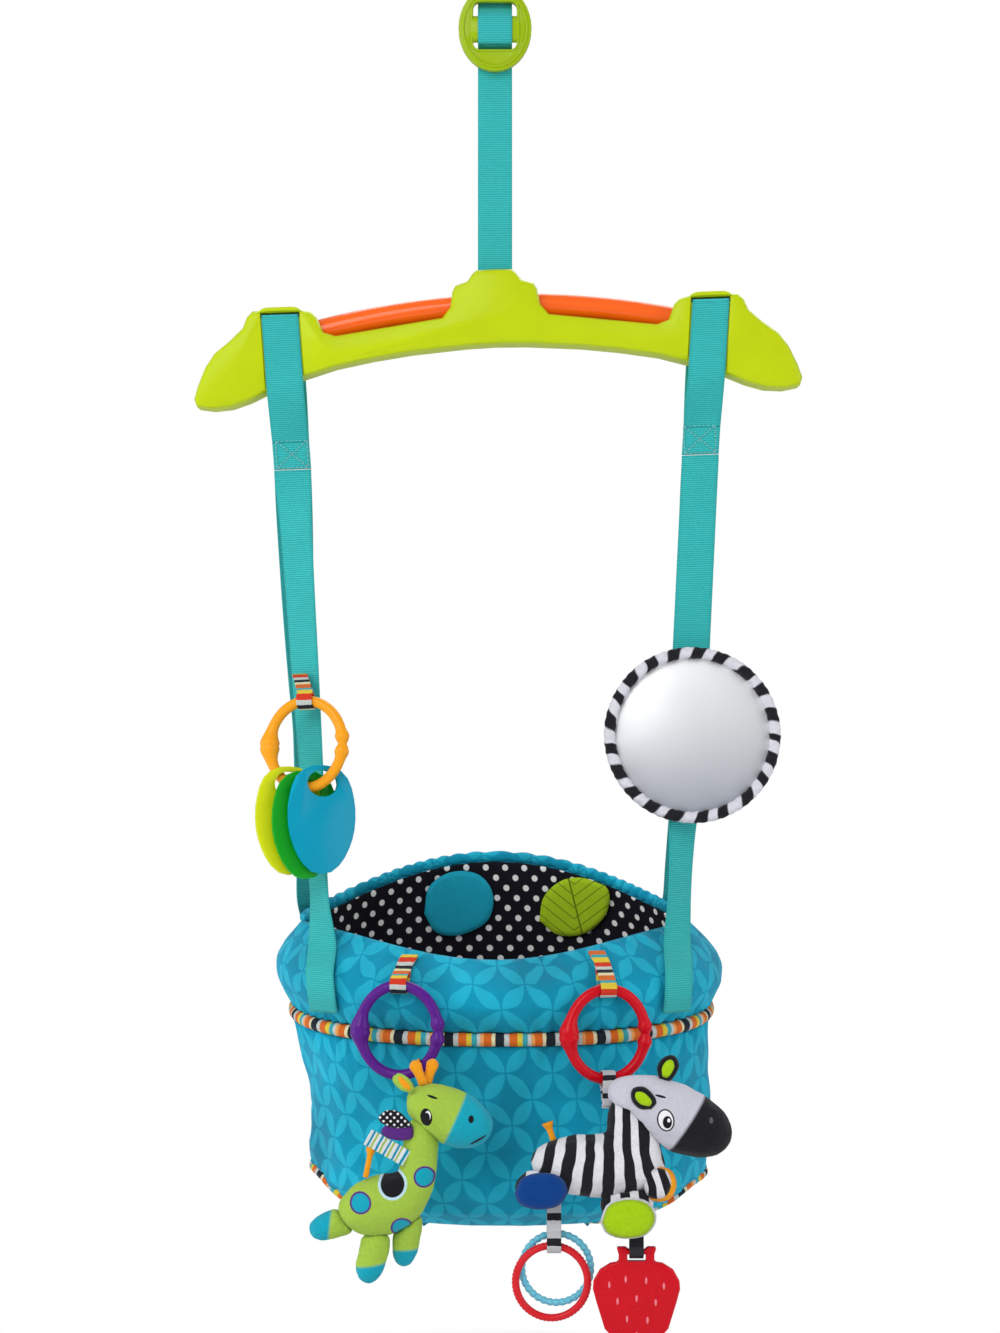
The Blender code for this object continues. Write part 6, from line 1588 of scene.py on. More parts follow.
class JUMPER_OT_seat(JumperOperator):
    """Sews the seat: padded collar, lower panel, spotted lining, bindings, piping, patches and tabs"""

    bl_idname = "jumper.seat"
    bl_label = "Seat"

    def execute(self, context):
        tones, sizes = context.scene.jumper_fabrics, context.scene.jumper_sizes
        printed = seat_finish("Petal print cotton", tones, sizes)
        spotted = lining_finish("Spotted lining", tones, sizes)
        angles = [math.pi / 2 + angle for angle in turns(420)]
        self.collar(angles, printed, sizes)
        panel = self.panel(angles, printed, sizes)
        self.lining([angle + math.pi for angle in angles], spotted)
        self.binding(seat_finish("Gathered binding cotton", tones, sizes))
        self.piping(striped_finish("Striped piping", 0.038, stops(PIPING_STOPS)), panel)
        self.patches(tones)
        self.tabs(striped_finish("Striped tab ribbon", 0.031, stops(TAB_STOPS)))
        return {"FINISHED"}

    def collar(self, angles, finish, sizes):
        rows = []
        for share in np.linspace(0, 1, 45):
            row = []
            middle = math.sin(math.pi * share)
            for angle in angles:
                gather = gathers(angle, share, 0.0, 64, 0.09) + 1.25 * gathers(angle, share, 1.0, 78, 0.12)
                at = fabric_place(angle, share, 3.4, 2.6, 2.2)
                fold = noise.noise(at) * 0.8 + noise.noise(at * 2.7 + RIGHT * 7) * 0.35
                inset = -sizes.pucker * gather - sizes.fold * 0.55 * fold * middle + 0.0008 * middle
                row.append(collar_point(angle, share, inset))
            rows.append(row)
        top = [collar_point(angle, 0.0, 0.0030) + UP * 0.0022 for angle in angles]
        inset = COLLAR_THICKNESS - 0.0012
        inner = [[collar_point(angle, share, inset, 0.0) for angle in angles] for share in (0.35, 0.0)]
        rows = [*inner, top, *rows]
        made = cloth_skin("padded_collar", rows, 0.0011, finish, level=len(rows) - 1)
        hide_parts("seat_collar")

    def panel(self, angles, finish, sizes):
        """Makes the panel and gives its surface before the leg holes are cut."""
        rows = []
        for fall in np.linspace(0, 0.985, 88):
            row = []
            swell = sizes.fold * (0.25 + 0.75 * math.sin(math.pi * min(1.0, fall * 1.15)))
            for angle in angles:
                point = panel_point(angle, fall)
                gather = gathers(angle, fall, 0.0, 84, 0.07) * sizes.pucker * 1.2
                at = fabric_place(angle, fall, 2.8, 2.2, 3.2)
                fold = noise.noise(at + RIGHT * 3) * 0.9 + noise.noise(at * 2.4 + BACK * 5) * 0.4
                drag = sum(self.drag(point, sign) for sign, _ in SIDES)
                outward = Vector((math.cos(angle), math.sin(angle), -0.2)).normalized()
                row.append(point + outward * (gather + swell * fold * 1.5 + drag - 0.0012))
            rows.append(row)
        foot = Vector((PANEL_DRIFTS[-1], SETBACK, SEAT_BOTTOM))
        whole = cloth_skin("panel_whole", rows, 0.001, finish, False, foot)
        mesh = whole.data
        tree = BVHTree.FromPolygons([v.co for v in mesh.vertices], [p.vertices for p in mesh.polygons])
        bpy.data.objects.remove(whole, do_unlink=True)
        made = cloth_skin("lower_panel", rows, 0.0022, finish, True, foot)
        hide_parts("seat_panel")
        return tree

    def drag(self, point, sign):
        """Small folds that run out from a leg hole."""
        off, out = from_leg_axis(point, sign)
        if out <= 0:
            return 0.0
        near = math.exp(-max(0.0, off.length - LEG_RADIUS) / 0.016)
        spoke = math.atan2(off.z, off.x)
        return near * 0.0011 * math.sin(26 * spoke + 2 * math.sin(3 * spoke))

    def lining(self, angles, finish):
        rows = []
        for share in np.linspace(0, 1, 34):
            row = []
            for angle in angles:
                ripple = 0.0008 * noise.noise(fabric_place(angle, share, 3, 3, 2, 9))
                row.append(collar_point(angle, share, LINING_INSET + ripple, 0.0))
            rows.append(row)
        for fall in np.linspace(0, 0.97, 60)[1:]:
            row = []
            for angle in angles:
                ripple = 0.0012 * noise.noise(fabric_place(angle, fall, 3, 3, 3, 14))
                row.append(panel_point(angle, fall, LINING_INSET + ripple))
            rows.append(row)
        foot = Vector((PANEL_DRIFTS[-1], SETBACK, SEAT_BOTTOM + LINING_INSET))
        made = cloth_skin("spotted_lining_cloth", rows, 0.0012, finish, True, foot, 33)
        made.modifiers["Cloth thickness"].offset = 1
        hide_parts("seat_lining")

    def binding(self, finish):
        points = []
        for angle in np.radians(np.linspace(-8, 188, 421)):
            points.append(collar_point(angle, 0, COLLAR_THICKNESS / 2) + UP * 0.0043)

        def ruched(share, angle):
            wave = abs(math.sin(42 * math.pi * share + 1.4 * math.sin(21 * share) + 0.5 * math.sin(angle)))
            end = min(share, 1 - share)
            return 0.0047 * (0.70 + 0.32 * wave) * min(1.0, 0.35 + end * 40)

        made = tube("ruched_binding", points, ruched, finish, "seat", 14, False, UP)
        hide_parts("rim_binding")

    def piping(self, finish, panel):
        points = []
        for angle in turns(300):
            x, y = on_oval(WAIST_HALF[0] - 0.001, WAIST_HALF[1] - 0.001, angle)
            points.append((x + 0.005, y + SETBACK, waist_z(angle)))

        def corded(share, angle):
            return 0.0051 * (1 + 0.02 * math.sin(130 * math.pi * share))

        made = tube("waist_cord", points, corded, finish, "seat", 14, True, UP)
        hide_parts("waist_piping")
        for sign, side in SIDES:
            centre, axis, across, other = leg_frame(sign)
            found = []
            for angle in turns(120):
                base = centre + (across * math.cos(angle) + other * math.sin(angle)) * LEG_EDGE_RADIUS
                hit = panel.ray_cast(base - axis * 0.02, axis)[0]
                found.append(hit - axis * 0.0012)
            points = []
            for i in range(120):
                near = [found[(i + k) % 120] for k in range(-4, 5)]
                points.append(sum(near, Vector()) / 9)
            made = tube(f"leg_cord_{side}", points, 0.0036, finish, "seat", 14, True, axis)
            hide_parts(f"leg_piping_{side}")

    def patches(self, tones):
        """A leaf and a plain shape sewn on the back of the lining, both lying on it."""
        lime = Finish("Leaf cotton", 0.8, Sheen_Weight=0.05, Specular_IOR_Level=0.15)
        at = lime.parts(lime.place())
        dx = lime.minus(at[0], LEAF_MIDDLE[0])
        dz = lime.minus(at[2], LEAF_MIDDLE[1])
        middle = lime.step(lime.math("ABSOLUTE", lime.plus(dx, lime.times(dz, 0.25))), 0.0009, 0.0004)
        side = lime.minus(dz, lime.times(lime.math("ABSOLUTE", dx), 0.8))
        rows = lime.math("FRACT", lime.over(side, 0.0095))
        branch = lime.step(lime.math("ABSOLUTE", lime.minus(rows, 0.5)), 0.06, 0.03)
        veins = lime.math("MAXIMUM", middle, branch)
        base = lime.mottled(200, tones.leaf, 0.85, 1.08)
        lime.set("Base Color", lime.mix(veins, base, shade(tones.leaf, 0.30)))
        plain = Finish("Turquoise patch cotton", 0.8, Sheen_Weight=0.05, Specular_IOR_Level=0.15)
        plain.set("Base Color", plain.mottled(180, tones.petal, 0.75, 1.0))
        for name, outline, finish in (("leaf_patch", LEAF_PATCH, lime), ("plain_patch", PLAIN_PATCH, plain)):
            finish.bump(finish.noise(1400, 2), 0.0001)
            closed = [(x, 0, z) for x, z in (*outline, outline[0])]
            fine = smooth_path(closed, 49)[:-1]
            middle = Vector(fine.mean(axis=0))
            rings = []
            for proud, shares in ((0.0022, np.linspace(0.05, 1, 7)), (0.0002, np.linspace(1, 0.05, 7))):
                for share in shares:
                    ring = []
                    for p in fine:
                        flat = middle + (Vector(p) - middle) * share
                        forward = proud + 0.0010 * (1 - share**6)
                        ring.append(self.on_lining(flat.x, flat.z) - BACK * forward)
                    rings.append(ring)
            add_mesh(name, lofted(rings), finish, "seat")

    def on_lining(self, x, z):
        """The point of the lining's back at this x and z."""

        def at(share):
            low, high = 0.02, math.pi - 0.02
            angle = last_before(low, high, lambda a: collar_point(a, share, PATCH_INSET, 0.0).x > x, 24)
            return collar_point(angle, share, PATCH_INSET, 0.0)

        return at(last_before(0.0, 1.0, lambda share: at(share).z > z, 24))

    def tabs(self, finish):
        for name, link, lean in (("purple", PURPLE_LINK, TAB_LEAN), ("red", RED_LINK, -TAB_LEAN)):
            rod = link.translation
            route = []
            for step, share in enumerate((0.2, 0.1, 0.03)):
                point = collar_at(rod.x + lean * (step + 1) / 3, share, -1)
                route.append(point - BACK * (RIBBON + 8 * GAP))
            self.tab(name, link, TAB_SLACK, route, finish)
        centres, _ = strap_line("left", -1)
        line = centres[STRAP_STEPS::-1]
        z = ORANGE_LINK.translation.z + 0.020
        zs = [c.z for c in line]
        x = float(np.interp(z, zs, [c.x for c in line]))
        y = float(np.interp(z, zs, [c.y for c in line]))
        turn = math.radians(np.interp(0.45, *zip(*STRAP_TURNS["left", -1])))
        anchor = Vector((x, y, z)) - Vector((math.sin(turn), math.cos(turn), 0)) * 0.0058
        self.tab("orange", ORANGE_LINK, 2 * TAB_SLACK, [anchor], finish)

    def tab(self, name, link, slack, route, finish):
        across = link.to_3x3() @ RIGHT
        looped = link_sling(link.translation, slack, route, across, TAB_WIDTH)
        title, node = f"ribbon_tab_{name}", f"tab_{name}"
        strap(title, *looped, TAB_WIDTH, RIBBON, finish, "seat", "striped_ribbon", node)


class JUMPER_OT_links(JumperOperator):
    """Moulds the three links with their bosses and clasps, and finishes the teething discs"""

    bl_idname = "jumper.links"
    bl_label = "Links and discs"

    def execute(self, context):
        tones = context.scene.jumper_plastics

        def rod(share, angle):
            signed = math.remainder(share * math.tau, math.tau)
            boss = abs(signed) - math.pi
            swell = 0.96 * math.exp(-((boss / 0.26) ** 2)) - 0.22 * math.exp(-((boss / 0.045) ** 2))
            for jaw in (0.16, -0.20):
                swell += 0.38 * math.exp(-(((signed - jaw) / 0.10) ** 2))
            notch = 0.30 * math.exp(-(((signed + 0.02) / 0.028) ** 2))
            return LINK_ROD * 0.985 * (1 + swell - notch)

        for name, place in (("orange", ORANGE_LINK), ("purple", PURPLE_LINK), ("red", RED_LINK)):
            finish = plastic(f"{name.capitalize()} link plastic", getattr(tones, name), 0.24)
            points = [place @ link_point(angle) for angle in turns(160)]
            body, slot = f"{name}_link", f"{name}_plastic"
            made = tube(f"moulded_link_{name}", points, rod, finish, body, 22, True, BACK)
            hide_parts(f"link_{name}")
        for name in ("yellow", "green", "blue"):
            finish = plastic(f"{name.capitalize()} disc plastic", getattr(tones, f"disc_{name}"), 0.30, 1.5)
            dress_solid(f"disc_{name}", finish, 0.0008)
        return {"FINISHED"}


class JUMPER_OT_mirror(JumperOperator):
    """Sews the mirror's padded striped rim round its film, with the cloth back and its strap loop"""

    bl_idname = "jumper.mirror"
    bl_label = "Toy mirror"

    def execute(self, context):
        tones, sizes = context.scene.jumper_fabrics, context.scene.jumper_sizes
        self.film()
        self.rim(self.stripes(tones))
        cloth = plain_plush("Mirror back cloth", sizes, tones.black_plush)
        turned("mirror_back_cloth", MIRROR_BACK_PROFILE, MIRROR_PLACE, cloth, "mirror", "mirror_trim", 72)
        deep = -(WEB / 2 + 0.0007)
        across = SIDE_WIDTH / 2 + 0.0007
        left = -across - LOOP_SHIFT
        right = across - LOOP_SHIFT
        path = [
            (left - LOOP_WALL / 2, MIRROR_BACK - 0.0004),
            (left - LOOP_WALL / 2, deep),
            (left + 0.001, deep - LOOP_WALL / 2),
            ((left + right) / 2, deep - LOOP_WALL / 2 - 0.0003),
            (right - 0.001, deep - LOOP_WALL / 2),
            (right + LOOP_WALL / 2, deep),
            (right + LOOP_WALL / 2, MIRROR_BACK - 0.0004),
        ]
        centres = [MIRROR_PLACE @ Vector((x, 0, z)) for x, z in path]
        up = MIRROR_PLACE.to_3x3() @ BACK
        bm = strap_bm(centres, [up] * len(centres), LOOP_WIDTH, 0.0014, 0.002, 12)
        add_mesh("mirror_strap_loop", bm, cloth, "mirror")
        return {"FINISHED"}

    def film(self):
        """Soft silver film with a painted reflection: a gradient from dark at its foot to light at its top.
        """
        glass = Finish("Mirror film", 0.3, Metallic=0.25)
        waves = glass.times(glass.minus(glass.noise(14, 2), 0.5), 0.030)
        height = glass.plus(glass.parts(glass.place())[2], waves)
        share = glass.step(height, MIRROR_MIDDLE_Z - MIRROR_FILM_RADIUS, MIRROR_MIDDLE_Z + MIRROR_FILM_RADIUS)
        glass.set("Base Color", glass.ramp(share, [(at, linear(code)) for at, code in PAINTED_REFLECTION_STOPS], True))
        glass.set("Roughness", glass.scaled(glass.noise(30, 3), 0.30, 0.40)).bump(glass.noise(22, 2), 0.0005)
        dress_solid("mirror_glass", glass, 0.0003)

    def rim(self, finish):
        half = MIRROR_RIM / 2
        centre_z = MIRROR_FRONT - half
        outline = [(MIRROR_FILM_RADIUS - 0.0010, MIRROR_BACK + 0.0032), (0.0597, MIRROR_BACK + 0.0056)]
        outline += [
            (MIRROR_RADIUS - half + half * math.cos(a), centre_z + half * math.sin(a))
            for a in np.linspace(math.pi, 0, 9)
        ]
        outline += [(MIRROR_RADIUS, MIRROR_BACK + half), (0.0668, MIRROR_BACK + 0.0018)]
        outline.append((0.0645, MIRROR_BACK))
        rows = []
        for angle in turns(300):
            out = Vector((math.cos(angle), math.sin(angle), 0))
            ring = []
            for j, (r, z) in enumerate(outline):
                lift = math.sin(math.pi * min(1, max(0, (j - 1) / 9)))
                pucker = 0.00065 * math.sin(58 * angle + 0.6 * j + math.sin(7 * angle))
                swell = 0.0005 * noise.noise(out * 4 + UP * j * 0.2)
                reach = r + (pucker + swell) * (0.35 + 0.5 * lift) - 0.0004
                ring.append(MIRROR_PLACE @ (out * reach + UP * (z + pucker * 0.6 * lift)))
            rows.append(ring)
        made = add_mesh("padded_mirror_rim", lofted(rows, True), finish, "mirror")
        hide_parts("mirror_frame")

    def stripes(self, tones):
        made = Finish("Striped rim plush", 0.85, Sheen_Weight=0.08, Specular_IOR_Level=0.12)
        around, along = made.along()
        slant = made.plus(made.over(along, 0.0192), made.times(around, 14))
        share = made.math("FRACT", made.plus(slant, made.times(made.noise(32, 2), 0.9)))
        black = made.times(made.step(share, 0.40, 0.46), made.step(share, 0.98, 0.92))
        white = made.mix(made.noise(300, 3), shade(tones.lilac, 0.92), tones.white_plush)
        made.set("Base Color", made.mix(black, white, made.mottled(300, tones.black_plush, 0.8, 2.0)))
        return made.bump(made.noise(1000, 3), 0.0004)


class JUMPER_OT_giraffe(JumperOperator):
    """Stuffs the giraffe and sews on its horns, ears, tail, wing tags and crinkle ribbon"""

    bl_idname = "jumper.giraffe"
    bl_label = "Giraffe toy"

    def execute(self, context):
        tones, sizes = context.scene.jumper_fabrics, context.scene.jumper_sizes
        head = self.face(tones, sizes)
        body = plush_base("Spotted lime plush", sizes, tones.lime_plush)
        spots = []
        looks = [(tones.black_plush, linear("BFDDEB"))] + [(tones.teal_plush, PURPLE)] * 3
        for pixel, pixels, (fill, ring) in zip(GIRAFFE_SPOTS, GIRAFFE_SPOT_RADII, looks):
            at = on_toy(*pixel)
            radius = pixels * TOY_SCALE
            spots += [(*at, radius * 1.22, radius * 1.22, 0, ring), (*at, radius, radius, 0, fill)]
        body.set("Base Color", body.painted(body.pile_tone, spots))
        plush_copy("giraffe_body", body, "giraffe_plush_body")
        plush_copy("giraffe_head", head, "giraffe_plush_head")
        for leg, seam in HOOF_SEAMS.items():
            finish = plush_base(f"Lime leg plush {leg}", sizes, tones.lime_plush)
            hoof = finish.mottled(420, tones.teal_plush, 0.85, 1.1)
            finish.set("Base Color", finish.mix(finish.beyond(*seam), finish.pile_tone, hoof))
            plush_copy(f"giraffe_leg_{leg}", finish, f"giraffe_plush_leg_{leg}", 0.0017, 0.0003)
        self.horns_and_ears(tones, sizes)
        self.tags(tones, sizes)
        self.loop(tones, sizes)
        return {"FINISHED"}

    def face(self, tones, sizes):
        made = plush_base("Giraffe face plush", sizes, tones.lime_plush)
        muzzle = made.mottled(420, tones.teal_plush, 0.85, 1.1)
        seam = [on_toy(*pixel) for pixel in GIRAFFE_MUZZLE_SEAM]
        look = made.mix(made.beyond(*seam), made.pile_tone, muzzle)
        black = tones.black_plush
        x, z = on_toy(*GIRAFFE_EYE)
        marks = [
            (*on_toy(*GIRAFFE_NOSTRIL), 0.0020, 0.0028, 0, black),
            (x, z, 0.0044, 0.0066, 0.1, black),
            (x + 0.0012, z + 0.0012, 0.0021, 0.0036, 0, (0.85, 0.85, 0.88)),
            (x + 0.0004, z - 0.0002, 0.0022, 0.0036, 0, black),
            (*on_toy(*GIRAFFE_BROW), 0.0040, 0.0009, -0.3, black),
            (*on_toy(*GIRAFFE_MOUTH), 0.0070, 0.0009, 0.5, black),
        ]
        return made.set("Base Color", made.painted(look, marks))

    def horns_and_ears(self, tones, sizes):
        horn = plain_plush("Orange horn plush", sizes, tones.horn)
        lime = plain_plush("Lime ear plush", sizes, tones.lime_plush)
        for i, (turn, shift) in enumerate(((0.42, 0.0), (-0.30, 0.004))):
            base = Vector((HORN_FOOT[0] + shift, GIRAFFE_Y - 0.002 + 0.005 * i, HORN_FOOT[1]))
            soft_leaf(f"giraffe_horn_{i}", HORN, base, 0.0075, horn, "giraffe", -turn)
        for i, (turn, depth) in enumerate(((-0.75, -0.0115), (-1.05, 0.006))):
            base = Vector((EAR_FOOT[0], GIRAFFE_Y + depth, EAR_FOOT[1]))
            front = base - BACK * 0.0016
            inner = [(x * 0.55, 0.002 + z * 0.75) for x, z in GIRAFFE_EAR]
            soft_leaf(f"giraffe_ear_{i}", GIRAFFE_EAR, base, 0.0045, lime, "giraffe", turn)
            soft_leaf(f"giraffe_ear_lining_{i}", inner, front, 0.0028, horn, "giraffe", turn)
        x, z = GIRAFFE_TAIL_ROOT
        tail = [Vector((x + 0.0045 * t, GIRAFFE_Y - 0.006, z + 0.0230 * t)) for t in np.linspace(0, 1, 14)]

        def knotted(share, angle):
            return 0.0021 * (1 + 0.9 * math.exp(-(((share - 0.9) / 0.12) ** 2)))

        tube("giraffe_tail", tail, knotted, horn, "giraffe", 12)

    def tags(self, tones, sizes):
        """The two cloth wings and the crinkled ribbon on the giraffe's side."""
        x, z = on_toy(*GIRAFFE_WINGS)
        dotted = self.dotted(tones, sizes)
        purple = plain_plush("Purple wing cloth", sizes, PURPLE)
        for name, outline, forward, finish in (
            ("giraffe_wing_lower", LOWER_WING, 0.0110, purple),
            ("giraffe_wing_upper", UPPER_WING, 0.0130, dotted),
        ):
            at = Vector((x, GIRAFFE_Y - forward, z))
            soft_leaf(name, outline, at, 0.004, finish, "giraffe")
        pale = (0.8, 0.83, 0.86)
        bands = [(0.0, pale), (0.35, tones.seat), (0.6, pale), (0.8, tones.lime_plush)]
        ribbon = striped_finish("Crinkle ribbon", 0.0075, bands)
        start, end = (on_toy(*pixel) for pixel in CRINKLE_RIBBON_ENDS)
        path = []
        for t in np.linspace(0, 1, 19):
            x, z = start[0] + (end[0] - start[0]) * t, start[1] + (end[1] - start[1]) * t
            path.append(Vector((x, GIRAFFE_Y - 0.0105 - 0.0012 * math.cos(22 * t), z)))
        across = Vector((start[1] - end[1], 0, end[0] - start[0]))
        sides = [across] * len(path)
        strap("giraffe_crinkle_ribbon", path, sides, 0.0125, 0.0011, ribbon, "giraffe", "striped_ribbon")

    def loop(self, tones, sizes):
        finish = plain_plush("Orange hanging loop", sizes, tones.horn)
        angle = math.radians(-56)
        rod = PURPLE_LINK @ link_point(angle)
        run = Vector((-LINK_HALF[0] * math.sin(angle), 0, LINK_HALF[1] * math.cos(angle)))
        anchor = Vector((GIRAFFE_LOOP_FOOT[0], GIRAFFE_Y, GIRAFFE_LOOP_FOOT[1]))
        ahead = PURPLE_LINK.to_3x3() @ run
        looped = link_sling(rod, 2 * TAB_SLACK, [anchor], ahead.normalized(), 0.007)
        slot, node = "orange_plastic", "giraffe_loop"
        strap("giraffe_hanging_loop", *looped, 0.007, RIBBON, finish, "giraffe", slot, node)

    def dotted(self, tones, sizes):
        made = plush_base("Dotted wing cloth", sizes, tones.black_plush)
        at = made.parts(made.place())
        first, second = (made.minus(share, 0.5) for share in made.diagonals(at[0], at[2], 190))
        dots = made.step(made.squares(first, second), 0.07, 0.05)
        return made.set("Base Color", made.mix(dots, made.pile_tone, (0.8, 0.8, 0.85)))


class JUMPER_OT_zebra(JumperOperator):
    """Stuffs the zebra and sews on its ears, feet, tail and hanging ribbons"""

    bl_idname = "jumper.zebra"
    bl_label = "Zebra toy"

    def execute(self, context):
        tones, sizes = context.scene.jumper_fabrics, context.scene.jumper_sizes
        striped = self.stripes("Zebra stripe plush", tones, sizes, 0.0152)
        plush_copy("zebra_body", striped, "zebra_plush_body")
        plush_copy("zebra_head", self.face(tones, sizes), "zebra_plush_head")
        for leg, period in (("rear", 0.0152), ("front", 0.0120)):
            finish = self.stripes(f"Zebra {leg} leg plush", tones, sizes, period)
            plush_copy(f"zebra_leg_{leg}", finish, f"zebra_plush_leg_{leg}", 0.002, 0.0003)
        orange = plain_plush("Orange trim plush", sizes, tones.horn)
        self.ears_and_feet(tones, sizes, orange)
        self.tail(orange)
        self.ribbons()
        return {"FINISHED"}

    def stripes(self, name, tones, sizes, period):
        made = plush_base(name, sizes, tones.white_plush)
        at = made.parts(made.place())
        bent = made.times(made.noise(26, 2), 0.011)
        fan = made.plus(made.times(made.minus(at[2], ZEBRA_STRIPE_MIDDLE[1]), 7.0), 1.0)
        along = made.times(made.minus(at[0], ZEBRA_STRIPE_MIDDLE[0]), fan)
        wave = made.math("SINE", made.times(made.plus(along, bent), math.tau / period))
        dark = made.mottled(420, tones.black_plush, 0.8, 1.8)
        return made.set("Base Color", made.mix(made.step(wave, -0.18, -0.04), made.pile_tone, dark))

    def face(self, tones, sizes):
        made = plush_base("Zebra face plush", sizes, tones.lilac)
        dark = made.mottled(420, tones.black_plush, 0.8, 1.8)
        seam = [on_toy(*pixel) for pixel in ZEBRA_MUZZLE_SEAM]
        look = made.mix(made.beyond(*seam), made.pile_tone, dark)
        black = tones.black_plush
        x, z = on_toy(*ZEBRA_EYE)
        brow_x, brow_z = on_toy(*ZEBRA_BROW)
        marks = [
            (x, z, 0.0064, 0.0084, 0.2, black),
            (x, z, 0.0053, 0.0073, 0.2, (0.86, 0.86, 0.9)),
            (x + 0.0012, z - 0.0014, 0.0034, 0.0046, 0, black),
            (x + 0.0022, z, 0.0011, 0.0015, 0, (0.9, 0.9, 0.92)),
            (brow_x, brow_z + 0.0012, 0.0042, 0.0009, -0.25, black),
            (*on_toy(*ZEBRA_NOSTRIL), 0.0014, 0.0022, 0, (0.10, 0.10, 0.12)),
        ]
        return made.set("Base Color", made.painted(look, marks))

    def ears_and_feet(self, tones, sizes, orange):
        black = plain_plush("Black zebra plush", sizes, tones.black_plush)
        lime = plain_plush("Lime foot plush", sizes, tones.lime_foot)
        blue = plain_plush("Blue foot plush", sizes, tones.blue_foot)
        white = plain_plush("White trim plush", sizes, tones.white_plush)
        striped = self.stripes("Zebra far leg plush", tones, sizes, 0.0100)
        for i, (pixel, turn, depth) in enumerate(zip(ZEBRA_EARS, (0.35, -0.95), (-0.004, -0.0195))):
            x, z = on_toy(*pixel)
            base = Vector((x, ZEBRA_Y + depth, z - 0.006))
            front = base - BACK * 0.0026
            inner = [(ix * 0.58, 0.002 + iz * 0.68) for ix, iz in ZEBRA_EAR]
            soft_leaf(f"zebra_ear_{i}", ZEBRA_EAR, base, 0.0065, black, "zebra", turn)
            soft_leaf(f"zebra_ear_lining_{i}", inner, front, 0.0030, lime, "zebra", turn)
        rear, near, far = (on_toy(*foot) for foot in (ZEBRA_REAR_FOOT, ZEBRA_FRONT_FOOT, ZEBRA_FAR_FOOT))
        for name, (x, z), forward, wide, tall, thick, finish in (
            ("zebra_rear_sole", rear, 0.0245, 1, 1, 0.0075, blue),
            ("zebra_front_sole_edge", near, 0.0290, 1.06, 1.12, 0.006, white),
            ("zebra_front_sole", near, 0.0318, 0.99, 1.04, 0.0062, lime),
            ("zebra_far_sole_edge", far, 0.0120, 0.62, 0.95, 0.007, orange),
            ("zebra_far_sole", (far[0] - 0.0022, far[1] + 0.0012), 0.0150, 0.52, 0.84, 0.007, striped),
        ):
            sole = [(ix * wide, iz * tall) for ix, iz in ZEBRA_SOLE]
            soft_leaf(name, sole, Vector((x, ZEBRA_Y - forward, z)), thick, finish, "zebra")

    def tail(self, finish):
        x, z = on_toy(*ZEBRA_TAIL)
        points = []
        for t in np.linspace(0, 1, 14):
            points.append(Vector((x + 0.006 * t, ZEBRA_Y + 0.004, z - 0.012 + 0.018 * (1 - t))))

        def tufted(share, angle):
            return 0.0023 * (1 + 0.9 * math.exp(-((share / 0.18) ** 2)))

        tube("zebra_tail", points, tufted, finish, "zebra", 12)

    def ribbons(self):
        bands = [(0.0, (0.62, 0.63, 0.66)), (0.42, (0.012, 0.012, 0.016)), (0.72, (0.55, 0.56, 0.60))]
        banded = striped_finish("Banded ribbon", 0.0185, bands)
        bands = [(0.0, (0.016, 0.016, 0.02)), (0.7, (0.03, 0.03, 0.036))]
        black = striped_finish("Black ribbon", 0.02, bands)
        rod = RED_LINK @ link_point(-math.pi / 2)
        anchor = Vector((rod.x, ZEBRA_Y + 0.0055, ZEBRA_LOOP_FOOT_Z))
        looped = link_sling(rod, 2 * TAB_SLACK, [anchor], RED_LINK.to_3x3() @ RIGHT, 0.010)
        strap("zebra_hanging_ribbon", *looped, 0.010, RIBBON, banded, "zebra", "white_plush", "zebra_loop")
        middle = (RED_RING_TOP + AQUA_RING_TOP) / 2
        slack = TAB_SLACK / 2
        reach = ((RED_RING_TOP - AQUA_RING_TOP).length + RED_RING_ROD + AQUA_RING_ROD) / 2 + slack
        anchor = Vector((middle.x, ZEBRA_Y - 0.00155, RINGS_RIBBON_TOP_Z))
        looped = sling(middle, reach, slack, [anchor], RIGHT)
        slot, node = "white_plush", "ribbon_rings"
        strap("ribbon_for_rings", *looped, TOY_RIBBON_WIDTH, RIBBON, banded, "zebra", slot, node)
        anchor = Vector((BERRY_TOP.x, BERRY_TOP.y, BERRY_RIBBON_TOP_Z))
        looped = sling(BERRY_TOP, math.hypot(0.007, 0.0036) / 2, 0.0, [anchor], RIGHT)
        slot, node = "black_ribbon", "ribbon_berry"
        strap("ribbon_for_berry", *looped, TOY_RIBBON_WIDTH, RIBBON, black, "zebra", slot, node)


